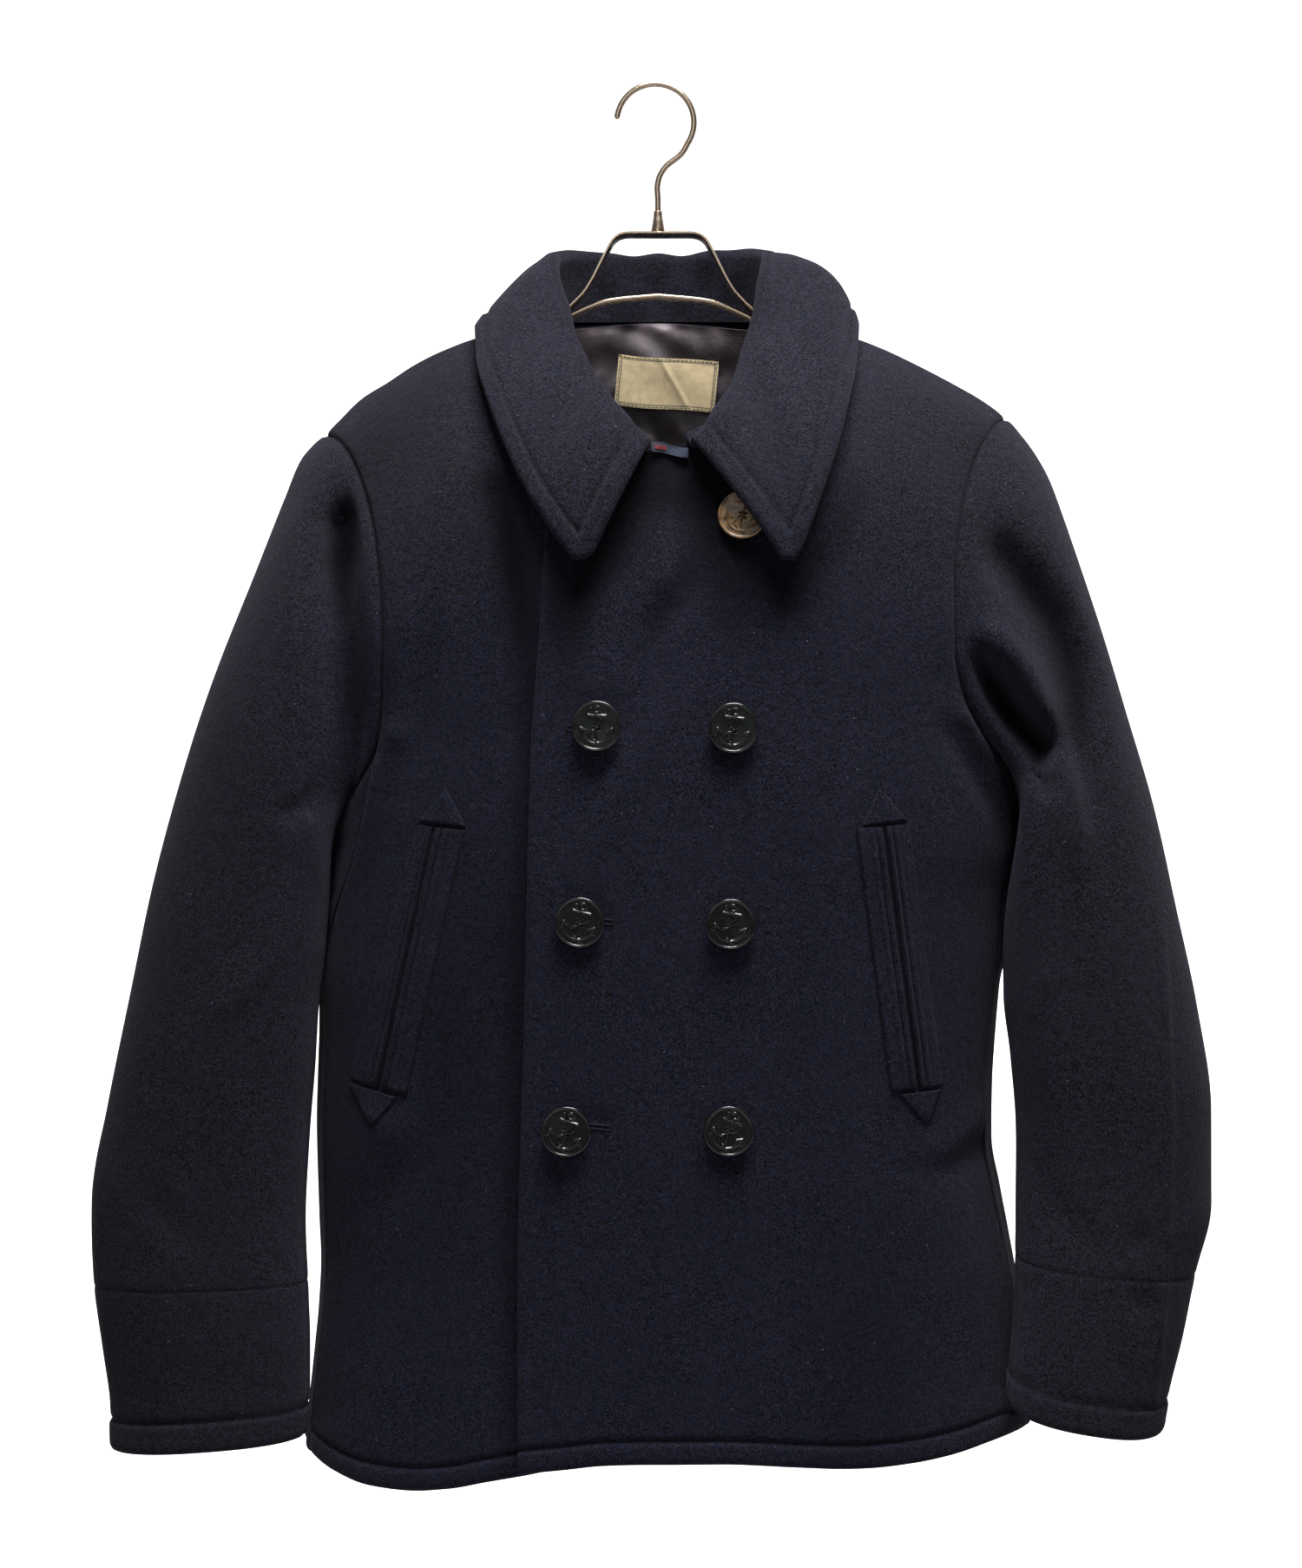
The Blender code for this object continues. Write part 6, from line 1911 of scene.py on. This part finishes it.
def patch(name, side, corners, columns, rows, height, thick, node, edge=1.6, painted_shade=None):
    """A patch laid on the front between four corners given in X and Z. Its face swells from
    a rounded edge by the height function of its own two parameters."""
    a, b, c, d = (np.array(p, float) for p in corners)
    wide = max(np.linalg.norm(b - a), np.linalg.norm(d - c))
    tall = max(np.linalg.norm(c - a), np.linalg.norm(d - b))
    rim = np.array([0, 0.25, 0.7, 1.3, 2.1])
    u = places(wide, rim, rim, wide / columns) / wide
    v = places(tall, rim, rim, tall / rows) / tall
    u, v = u[:, None], v[None, :]
    top = a + (b - a) * u[..., None]
    foot = c + (d - c) * u[..., None]
    flat = top + (foot - top) * v[..., None]
    point, normal = on_front(side, flat[..., 0], flat[..., 1])
    from_edge = np.minimum(np.minimum(u, 1 - u) * wide, np.minimum(v, 1 - v) * tall)
    inside = np.clip(1 - from_edge / edge, 0, 1)
    full = thick * np.sqrt(np.clip(1 - inside**2, 0.03, 1)) + height(u * wide, v * tall, wide, tall)
    outer = point + normal * (0.15 + full)[..., None]
    inner = point - normal * 0.45
    # Painted shade: from the given function, or else up to 0.3 at the rounded rim.
    dark = painted_shade(u * wide, v * tall, wide, tall) if painted_shade else 0.3 * inside
    obj = make_wall(name, outer, inner, finish("wool"), sharp=70, dark=dark)
    finish_piece(obj, [node])
    return outer, normal


# Shares of each welt's width at which its slit runs, above and below, half of the slit's
# own share, and how far from it the two rows of stitches lie.
SLITS = {-1: (0.37, 0.55), 1: (0.51, 0.50)}
SLIT_HALF = 0.02
WELT_ROWS = (4.4, 9.0)


def build_pockets():
    """Two padded welts beside each slit, an arrowhead at both ends and the stitching."""
    lines = []
    for side, word in ((-1, "right"), (1, "left")):
        x1, z1, x2, z2 = POCKETS[side]["top"]
        x3, z3, x4, z4 = POCKETS[side]["foot"]
        top_cut, foot_cut = SLITS[side]
        for half in (0, 1):
            low = (top_cut + SLIT_HALF, foot_cut + SLIT_HALF) if half else (0.0, 0.0)
            high = (1.0, 1.0) if half else (top_cut - SLIT_HALF, foot_cut - SLIT_HALF)
            corners = [
                (x1 + (x2 - x1) * low[0], z1 + (z2 - z1) * low[0]),
                (x1 + (x2 - x1) * high[0], z1 + (z2 - z1) * high[0]),
                (x3 + (x4 - x3) * low[1], z3 + (z4 - z3) * low[1]),
                (x3 + (x4 - x3) * high[1], z3 + (z4 - z3) * high[1]),
            ]
            kind = "inner" if (half == 1) == (side < 0) else "outer"
            proud = 1.0 if kind == "inner" else 0.0

            def lips(u, v, wide, tall):
                """Two padded ridges beside the slit and a sewn groove, falling to the far edge."""
                far = u if half else wide - u
                wave = 0.22 * np.sin(v / 19.0 + side) + 0.16 * np.sin(v / 7.0 + 2 * half)
                ridge = 1.15 * bell(far - 2.2, 1.7) + 0.45 * bell(far - 6.6, 1.8)
                near_row, far_row = (far - reach for reach in WELT_ROWS)
                groove = 0.85 * bell(near_row, 0.65) + 0.35 * bell(far_row, 0.8)
                thin = -1.25 * ease(far, 7.0, wide - 0.6) * (1 - 0.85 * proud)
                ends = ease(v, 0, 5) * ease(tall - v, 0, 5)
                return (ridge - groove + wave) * ends * ease(wide - far, 0, 2) + thin

            def lips_painted_shade(u, v, wide, tall):
                """Dark in the slit, in the sewn grooves and round the far edge."""
                far = u if half else wide - u
                near_row, far_row = (far - reach for reach in WELT_ROWS)
                sewn = 0.5 * bell(near_row, 0.8) + 0.15 * bell(far_row, 0.9)
                sewn = sewn + 0.75 * proud * bell(wide - far, 1.3)
                ends = bell(np.minimum(v, tall - v), 1.2)
                return sewn + 0.95 * bell(far, 1.3) + 0.5 * ends

            node = f"pocket_{word}_welt_{kind}"
            outer, normal = patch(
                "cloth_" + node, side, corners, 22, 44, lips, 1.6, node, painted_shade=lips_painted_shade
            )
            run = lengths(outer, 0)
            gap = run if half else run[-1:] - run
            for reach in WELT_ROWS:
                line, turned, _ = level_line(outer, normal, gap, reach, 0)
                lines.append((line[4:-4], turned[4:-4]))
        for place in ("top", "foot"):
            ax, az, bx, bz, cx, cz = ARROWS[side][place]
            tip = 0.06
            corners = [
                (ax, az),
                (bx, bz),
                (cx + (ax - cx) * tip, cz + (az - cz) * tip),
                (cx + (bx - cx) * tip, cz + (bz - cz) * tip),
            ]

            def satin(u, v, wide, tall):
                """Close slanting stitches over a padded heart."""
                cord = 0.16 * np.abs(np.sin(u * 2.4 + v * 0.9))
                return cord + 0.75 * np.sin(math.pi * u / wide) * ease(tall - v, 0, 9)

            node = f"pocket_{word}_arrow_{place}"
            patch("cloth_" + node, side, corners, 26, 24, satin, 1.1, node, edge=1.4)
    stitches("pocket_stitching", lines, step=3.0, length=2.2, radius=0.24, lift=-0.05)


def build_buttons():
    """The turned button set on each place by its own axes, with four threads through it."""
    sizes = bpy.context.scene.coat_sizes
    base = button_surface(sizes.button_radius / MM, BUTTON_THICKNESS, BUTTON_SHANK)
    faces = revolve_faces(base.shape[0], base.shape[1])
    rows = BUTTONS.rows
    _, normal = on_front(1, rows[:, 0], rows[:, 1])
    flat, _ = on_front(1, rows[:, 0], rows[:, 1], creased=False)
    across = unit(np.cross(np.array([0, 0, 1.0]), normal))
    up = np.cross(normal, across)
    a = np.radians(-rows[:, 2])[:, None]
    right = across * np.cos(a) + up * np.sin(a)
    over = np.cross(normal, right)
    lines = []
    for k, word in enumerate(BUTTON_NAMES):
        place = flat[k] + normal[k] * (LAY_GAP + 0.1)
        axes = np.stack([right[k], over[k], normal[k]])
        points = base.reshape(-1, 3) @ axes + place
        brown = rows[k, 3] > 0
        look = finish("button_brown" if brown else "button")
        obj = weld(make_mesh("coat_button_" + word, points, faces, look))
        obj.data.shade_smooth()
        finish_piece(obj, ["button_" + word])
        top = BUTTON_SHANK + BUTTON_THICKNESS - 0.95
        for off in (0.65, 1.05, -1.35, -1.75):
            bow = top + 0.35 * np.sin(np.linspace(0, math.pi, 7))
            run = np.stack([np.linspace(-1.5, 1.5, 7), np.full(7, off), bow], -1)
            lines.append((run @ axes + place, normal[k : k + 1].repeat(7, 0)))
    tubes = [tube(line, 0.22, 6) for line, _ in lines]
    merge_tubes("button_thread", tubes, finish("thread"))


def merge_tubes(name, tubes, material):
    """Several tubes in one mesh, each welded shut at its domed ends."""
    points, faces, count = [], [], 0
    for grid in tubes:
        points.append(grid.reshape(-1, 3))
        faces.append(revolve_faces(grid.shape[0], grid.shape[1]) + count)
        count += grid.shape[0] * grid.shape[1]
    obj = make_mesh(name, np.concatenate(points), np.concatenate(faces), material)
    weld(obj, 0.000001)
    obj.data.shade_smooth()
    return finish_piece(obj)


BUTTONHOLES = [(-45.0, -400.0, 22.0, 2), (-38.5, -515.0, 27.0, -4), (-40.5, -637.5, 28.0, -6)]


def build_buttonholes():
    """Worked buttonholes: a long loop of thread laid flat, beaded by its stitches."""
    tubes = []
    for x, z, length, tilt in BUTTONHOLES:
        t = np.linspace(0, 2 * math.pi, 121)
        reach = length / 2 - 1.6
        run = np.clip(np.cos(t) * (reach + 6), -reach, reach)
        side = 1.25 * np.sin(t) / np.maximum(np.abs(np.sin(t)), 0.55)
        a = math.radians(tilt)
        px = x + run * math.cos(a) - side * math.sin(a)
        pz = z + run * math.sin(a) + side * math.cos(a)
        point, normal = on_front(1, px, pz)
        bead = 0.50 + 0.08 * np.sin(t * 75)
        tubes.append(tube(point + normal * 0.12, bead, 8))
    merge_tubes("buttonhole_stitching", tubes, finish("thread"))


# ---------------------------------------------------------------- inside the neck


LINING_SHARE = 0.32
LINING_ROWS = (0.014, 0.80)


def build_lining():
    """The satin behind the neck: the back's own surface, set inward and ruffled by sines."""
    shares = np.linspace(-LINING_SHARE, LINING_SHARE, 121)
    rows = np.linspace(*LINING_ROWS, 150)
    points = np.where(
        (shares >= 0)[:, None, None],
        panel(1, 1, np.abs(shares)[:, None], rows[None, :]),
        panel(1, -1, np.abs(shares)[:, None], rows[None, :]),
    )
    normals = grid_normals(points, np.array([0, 1.0, 0]))
    x, z = points[..., 0], points[..., 2]
    inside = np.sin(math.pi * (shares + LINING_SHARE) / (2 * LINING_SHARE))[:, None]
    inside = inside * ease(rows, LINING_ROWS[0], 0.08)[None, :]
    wave = 1.4 * np.sin(x / 6.5 + z / 15.0 + 1.1 * np.sin(z / 10.0))
    wave += 1.2 * np.sin(z / 4.6 + x / 12.0 + 1.4 * np.sin(x / 15.0))
    wave += 0.5 * np.sin(x / 2.9 - z / 6.0 + 1.3 * np.sin(z / 8.0))
    shift = WALL + 6.4 + wave * inside
    outer = points - normals * shift[..., None]
    inner = outer + normals * 0.5
    obj = make_wall("satin_back_lining", outer, inner, finish("lining"), sharp=70)
    finish_piece(obj, ["back_lining"])
    declare_cloth(outer)
    cloth()["lining"] = (outer, normals)


LABEL_CENTRE = (5.6, -178.2)
LABEL_SIZE = (64.0, 32.0)


def build_label():
    """A bare woven label: a slightly bent oblong with a crease down its middle."""
    u = np.linspace(-0.5, 0.5, 57)
    v = np.linspace(-0.5, 0.5, 31)
    tilt = math.radians(-5.6)
    uu, vv = np.meshgrid(u, v, indexing="ij")
    px, pz = uu * LABEL_SIZE[0], vv * LABEL_SIZE[1] + 0.8 * np.sin(uu * 5)
    x = LABEL_CENTRE[0] + px * math.cos(tilt) - pz * math.sin(tilt)
    z = LABEL_CENTRE[1] + px * math.sin(tilt) + pz * math.cos(tilt)
    lx, ly, lz = cloth()["lining"][0].reshape(-1, 3).T
    near = (np.abs(lx - LABEL_CENTRE[0]) < 36) & (np.abs(lz - LABEL_CENTRE[1]) < 21)
    terms = np.stack([np.ones(near.sum()), lx[near], lz[near], lx[near] ** 2], -1)
    fit = np.linalg.lstsq(terms, ly[near], rcond=None)[0]
    bulge = np.max(terms @ fit - ly[near])
    y = fit[0] + fit[1] * x + fit[2] * z + fit[3] * x * x - bulge - 1.6
    y = y - 0.45 * bell(uu - 0.08 + vv * 0.35, 0.025)
    y = y - 0.25 * np.sin(uu * 9 + vv * 3) - 0.15 * np.sin(vv * 7 + uu * 4)
    outer = np.stack([x, y, z], -1)
    inner = outer + np.array([0, 0.5, 0])
    uv = np.stack([uu + 0.5, vv + 0.5], -1)
    obj = make_wall("khaki_neck_label", outer, inner, finish("label"), sharp=60, uv=uv)
    finish_piece(obj, ["neck_label"])
    edge = np.concatenate([outer[:, 1], outer[-2, 1:], outer[::-1, -2], outer[1, ::-1]])
    facing = np.broadcast_to(np.array([0, -1.0, 0]), edge.shape)
    stitches("label_stitching", [(edge, facing)], step=2.6, length=1.9, radius=0.22)


def build_tape():
    """A short folded cotton tape caught in the front neck seam, with a small bar tack."""
    u = np.linspace(0, 1, 27)
    v = np.linspace(0, 1, 13)
    uu, vv = np.meshgrid(u, v, indexing="ij")
    x = -3.5 + 21.5 * uu
    z = -228.5 - 6.0 * vv - 3.4 * uu + 0.5 * np.sin(uu * 6)
    y = -79.5 - 0.7 * np.sin(uu * 7 + vv * 2) - 1.2 * vv
    outer = np.stack([x, y, z], -1)
    inner = outer + np.array([0, 0.8, 0])
    obj = make_wall("neck_tape", outer, inner, finish("tape"), sharp=60)
    finish_piece(obj)
    lines = []
    for k in range(5):
        run = outer[2:11, 4 + k] + np.array([0, -0.1, 0])
        lines.append(tube(run, 0.34, 6))
    merge_tubes("neck_tape_bar_tack", lines, finish("tape_spot"))


# ---------------------------------------------------------------- hanger

HOOK_WIRE = 1.9
HOOK_RADIUS = 24.0
HOOK_CENTRE_X = -1.6
STRIP_Y = 3.0
BAR_BELOW = 8.0
BAR_THICK = 3.2
FINE = 0.000005
BEND = Table("z x", "-33 19.6, -41 15.2, -50 4.6, -57 0.6, -63 -0.4, -71 0, -77.5 0")
BAR_NECK = Table("x z", "0 -129.5, 30 -132.5, 54 -141.5, 63 -147, 70 -154.5, 90 -161")
NECK_HALF = Table(
    "x z",
    """-60 -141, -54 -135.8, -46.5 -128, -41 -119, -36.5 -110, -32 -101, -29.5 -96.5, -26.5 -93.2,
    -22 -91.6""",
)


FERRULE = Table(
    "radius z",
    """0 13.2, 1.9 13.2, 2.4 12.9, 2.6 12.3, 2.8 10.8, 2.7 10.2, 3 8.8, 3.4 6.4, 3.9 3.4, 4.2 1.9,
    4.4 0.9, 4.3 0.2, 3.9 0, 0 0""",
)


def hook_line():
    """Most of a circle, then a soft bend down to the upright stem."""
    middle_z = HOOK_WIRE - HOOK_RADIUS
    a = np.radians(np.linspace(171, -28, 90))
    x, z = HOOK_CENTRE_X + HOOK_RADIUS * np.cos(a), middle_z + HOOK_RADIUS * np.sin(a)
    arc = np.stack([x, 0 * a, z], -1)
    z = np.linspace(-36.0, -76.6, 44)
    stem = np.stack([BEND.at("x", z), 0 * z, z], -1)
    return np.concatenate([arc, stem])


def resample(line, count):
    """The same line by evenly spaced points."""
    run = lengths(line, 0)
    where = np.linspace(0, run[-1], count)
    return np.stack([np.interp(where, run, line[:, k]) for k in range(line.shape[1])], -1)


def strip(name, line, width, thick, node):
    """A flat strip swept along a line in X and Z: a rounded oblong profile across Y."""
    line = np.asarray(line, float)
    tangent = unit(np.gradient(line, axis=0))
    flat = np.array([0, 1.0, 0])
    normal = unit(np.cross(tangent, flat))
    turn = full_turn(36)
    c = np.sign(np.cos(turn)) * np.abs(np.cos(turn)) ** 0.35
    s = np.sign(np.sin(turn)) * np.abs(np.sin(turn)) ** 0.55
    rib = 0.22 * bell(c, 0.35) * np.sign(s)
    profile = flat[None, None] * (c * width / 2)[:, None, None]
    profile = profile + normal[None] * ((s * thick / 2) + rib * np.abs(s))[:, None, None]
    body = line[None] + profile
    ends = np.stack([np.broadcast_to(line[0], (36, 3)), np.broadcast_to(line[-1], (36, 3))], 1)
    body = np.concatenate([ends[:, :1], body, ends[:, 1:]], 1)
    faces = revolve_faces(36, body.shape[1])
    obj = weld(make_mesh(name, body.reshape(-1, 3), faces, finish("metal"), sharp=35), FINE)
    return finish_piece(obj, [node])


def build_hanger():
    """A hook of round wire, a turned ferrule, a bent strip under the neck and the shoulder
    bar, which follows the shoulder line a little below the cloth."""
    grid = tube(resample(hook_line(), 150), HOOK_WIRE, 24)
    faces = revolve_faces(*grid.shape[:2])
    obj = weld(make_mesh("steel_hook", grid.reshape(-1, 3), faces, finish("metal")), FINE)
    obj.data.shade_smooth()
    finish_piece(obj, ["hanger_hook"])

    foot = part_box("hanger_ferrule")[0][2] / MM
    turn = full_turn(32)
    r, z = FERRULE.column("radius")[None], FERRULE.column("z")[None]
    grid = np.stack(
        [r * np.cos(turn)[:, None], r * np.sin(turn)[:, None], z + foot + 0 * turn[:, None]], -1
    )
    faces = revolve_faces(*grid.shape[:2])
    obj = weld(make_mesh("steel_ferrule", grid.reshape(-1, 3), faces, finish("metal"), sharp=40))
    finish_piece(obj, ["hanger_ferrule"])

    x, z = NECK_HALF.column("x"), NECK_HALF.column("z")
    centre = 1.0
    left = np.stack([x + centre, 0 * x + STRIP_Y, z], -1)
    right = left[::-1] * np.array([-1, 1, 1]) + np.array([2 * centre, 0, 0])
    line = resample(np.concatenate([left, right]), 90)
    kernel = np.array([1, 2, 3, 2, 1]) / 9.0
    padded = np.concatenate([line[:1].repeat(2, 0), line, line[-1:].repeat(2, 0)])
    smooth = np.stack([np.convolve(padded[:, k], kernel, "valid") for k in range(3)], -1)
    strip("steel_neck_strip", smooth, 22.0, 2.2, "hanger_neck")

    x = np.linspace(-194, 194, 240)
    z = np.zeros_like(x)
    for side in (-1, 1):
        under = SHOULDER_LINE[side].at("z", np.abs(x)) - WALL - BAR_THICK / 2 - BAR_BELOW
        blend = ease(np.abs(x), 76, 92)
        found = BAR_NECK.at("z", np.abs(x)) * (1 - blend) + under * blend
        z = np.where(np.sign(x) == side, found, z)
    out = np.clip(np.abs(x) - NECK_HALF_WIDTH, 0, None)
    wide = np.where(x >= 0, SHOULDER[1]["x"], SHOULDER[-1]["x"]) - NECK_HALF_WIDTH
    y = NECK_POINT_Y * (1 - out / wide)
    strip("steel_shoulder_bar", np.stack([x, y, z], -1), 12.0, BAR_THICK, "hanger_bar")


# ---------------------------------------------------------------- stage


def build_stage():
    """Floor and backdrop in one sweep: flat, a quarter circle, then upright. A ceiling light
    stands a little before the coat, with a weak wide fill and an even pale surrounding."""
    colours = bpy.context.scene.coat_colours
    radius, back, floor_z = 1.2, 3.4, -1.35
    a = np.radians(np.linspace(0, 90, 25))
    start = back - radius
    y = np.concatenate([np.linspace(-7, start, 12), start + radius * np.sin(a), [back]])
    z = np.concatenate([np.full(12, floor_z), floor_z + radius * (1 - np.cos(a)), [6.5]])
    x = np.linspace(-9, 9, 13)
    points = np.stack(np.broadcast_arrays(x[:, None], y[None], z[None]), -1)
    index = np.arange(x.size * y.size).reshape(points.shape[:2])
    faces = np.stack([index[:-1, :-1], index[1:, :-1], index[1:, 1:], index[:-1, 1:]], -1)
    sweep = make_mesh(
        "studio_sweep",
        points.reshape(-1, 3) / MM,
        faces.reshape(-1, 4),
        stage_finish("pale_sweep", colours.floor, 1.0),
    )

    def softbox(name, place, aim, size, power, colour=(1, 1, 1)):
        data = bpy.data.lights.new(name, "AREA")
        data.shape = "RECTANGLE"
        data.size, data.size_y = size
        data.energy = power
        data.color = colour
        lamp = add_object(name, data)
        forward = np.array(aim, float) - np.array(place, float)
        back_axis = -unit(forward)
        side = unit(np.cross(np.array([0, 0, 1.0]), back_axis))
        up = np.cross(back_axis, side)
        lamp.matrix_world = Matrix(
            [[side[i], up[i], back_axis[i], place[i]] for i in range(3)] + [[0, 0, 0, 1]]
        )

    softbox("ceiling_light", (0.2, -0.56, 1.2), (0, -0.05, -0.4), (1.0, 0.55), 165)
    softbox("front_fill", (-0.3, -2.6, 0.5), (0, 0, -0.45), (1.6, 1.0), 12, (0.96, 0.98, 1))

    world = bpy.data.worlds.new("pale_surrounding")
    bpy.context.scene.world = world
    world.use_nodes = True
    shade = world.node_tree.nodes["Background"]
    shade.inputs["Color"].default_value = (1, 1, 1, 1)
    shade.inputs["Strength"].default_value = 0.19

    data = bpy.data.cameras.new("front_camera")
    data.sensor_width = 36
    data.lens = 81.2
    camera = add_object("front_camera", data)
    camera.location = (-0.0043, -2.2, -0.4336)
    camera.rotation_euler = (math.pi / 2, 0, 0)
    bpy.context.scene.camera = camera
    bpy.context.scene.view_settings.view_transform = "Standard"


# ---------------------------------------------------------------- add-on


def length_property(name, description, default):
    return FloatProperty(
        name=name, description=description, default=default, subtype="DISTANCE", unit="LENGTH"
    )


class CoatSizes(bpy.types.PropertyGroup):
    """Sizes of the cloth, its sewing and the buttons, in metres."""

    wall: length_property("Cloth wall", "Thickness of the wool and its facing", 0.003)
    collar_wall: length_property(
        "Collar wall", "Thickness of the two layers of the collar", 0.005
    )
    stitch_inset: length_property(
        "Topstitch inset", "Distance of the topstitching from a free edge", 0.014
    )
    groove_depth: length_property(
        "Groove depth", "How deep the topstitching sinks into the wool", 0.0014
    )
    button_radius: length_property("Button radius", "Radius of each button", 0.015)


def colour_property(name, description, default):
    return FloatVectorProperty(
        name=name, description=description, default=default, subtype="COLOR", min=0, max=1
    )


class CoatColours(bpy.types.PropertyGroup):
    """Colours of the coat's materials and of the floor."""

    wool: colour_property("Wool", "Colour of the wool cloth", (0.0042, 0.0041, 0.0068))
    lining: colour_property("Lining", "Colour of the satin lining", (0.018, 0.0125, 0.0155))
    label: colour_property("Label", "Colour of the woven label", (0.47, 0.37, 0.21))
    button: colour_property("Buttons", "Colour of the coat's buttons", (0.0014, 0.0019, 0.0018))
    button_brown: colour_property(
        "Collar button", "Colour of the button under the collar", (0.060, 0.033, 0.013)
    )
    metal: colour_property("Hanger", "Colour of the plated hanger", (0.30, 0.235, 0.175))
    thread: colour_property("Thread", "Colour of the sewing thread", (0.0055, 0.0055, 0.0085))
    tape: colour_property("Tape", "Colour of the cotton tape in the neck", (0.012, 0.014, 0.022))
    bar_tack: colour_property("Bar tack", "Colour of the tape's bar tack", (0.075, 0.016, 0.018))
    floor: colour_property("Floor", "Colour of the floor and backdrop", (0.58, 0.58, 0.58))


def made_by(identifier, label, text, work):
    """An operator class that runs one builder and raises if it fails."""

    def execute(self, context):
        work()
        return {"FINISHED"}

    fields = {
        "__doc__": text,
        "bl_idname": "coat." + identifier,
        "bl_label": label,
        "execute": execute,
    }
    return type("COAT_OT_" + identifier, (bpy.types.Operator,), fields)


def panels(identifier, label, text, kind, names):
    """An operator for the cloth panels of one kind, by the side each is on."""
    return made_by(identifier, label, text, lambda: build_cloth(kind, names))


def pair(kind):
    """The two sides of a kind of panel, the wearer's right one first."""
    return (-1, kind + "_right"), (1, kind + "_left")


FRONT_PAIR = ((-1, "front_under"), (1, "front_over"))
OPERATORS = [
    panels("fronts", "Fronts", "Build the under and over front", "front", FRONT_PAIR),
    panels("back", "Back", "Build the back panel", "back", ((0, "back"),)),
    panels("sides", "Side bodies", "Build both side bodies", "side", pair("side")),
    panels("sleeves", "Sleeves", "Build both sleeves", "sleeve", pair("sleeve")),
    panels("cuffs", "Cuffs", "Build the sleeves' lower ends", "cuff", pair("cuff")),
    made_by("collar", "Collar", "Build the collar's stand, roll and leaves", build_collar),
    made_by("pockets", "Pockets", "Build the welts, arrowheads and their stitching", build_pockets),
    made_by("buttons", "Buttons", "Build the seven buttons and the thread in them", build_buttons),
    made_by("buttonholes", "Buttonholes", "Build the worked buttonholes", build_buttonholes),
    made_by("topstitching", "Topstitching", "Sew the edges of coat and collar", build_topstitching),
    made_by("lining", "Lining", "Build the lining behind the neck", build_lining),
    made_by("label", "Label", "Build the bare woven label", build_label),
    made_by("tape", "Neck tape", "Build the short tape in the front neck seam", build_tape),
    made_by("hanger", "Hanger", "Build the hook, ferrule, strip and shoulder bar", build_hanger),
    made_by("stage", "Stage", "Build the floor, lights and camera", build_stage),
]


class COAT_PT_panel(bpy.types.Panel):
    """Lists the coat's pieces in the sidebar."""

    bl_label = "Pea Coat"
    bl_idname = "COAT_PT_panel"
    bl_space_type = "VIEW_3D"
    bl_region_type = "UI"
    bl_category = "Pea Coat"

    def draw(self, context):
        for owner in (context.scene.coat_sizes, context.scene.coat_colours):
            for key in owner.__annotations__:
                self.layout.prop(owner, key)
        for kind in OPERATORS:
            self.layout.operator(kind.bl_idname)


CLASSES = [CoatSizes, CoatColours, *OPERATORS, COAT_PT_panel]


def register():
    for kind in CLASSES:
        bpy.utils.register_class(kind)
    bpy.types.Scene.coat_sizes = PointerProperty(type=CoatSizes)
    bpy.types.Scene.coat_colours = PointerProperty(type=CoatColours)


def unregister():
    del bpy.types.Scene.coat_sizes
    del bpy.types.Scene.coat_colours
    for kind in reversed(CLASSES):
        bpy.utils.unregister_class(kind)


def main():
    """Build every piece in order and write the boxes of the model and of its looks."""
    register()
    for kind in OPERATORS:
        group, name = kind.bl_idname.split(".")
        getattr(getattr(bpy.ops, group), name)()
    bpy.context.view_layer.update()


if __name__ == "__main__":
    main()
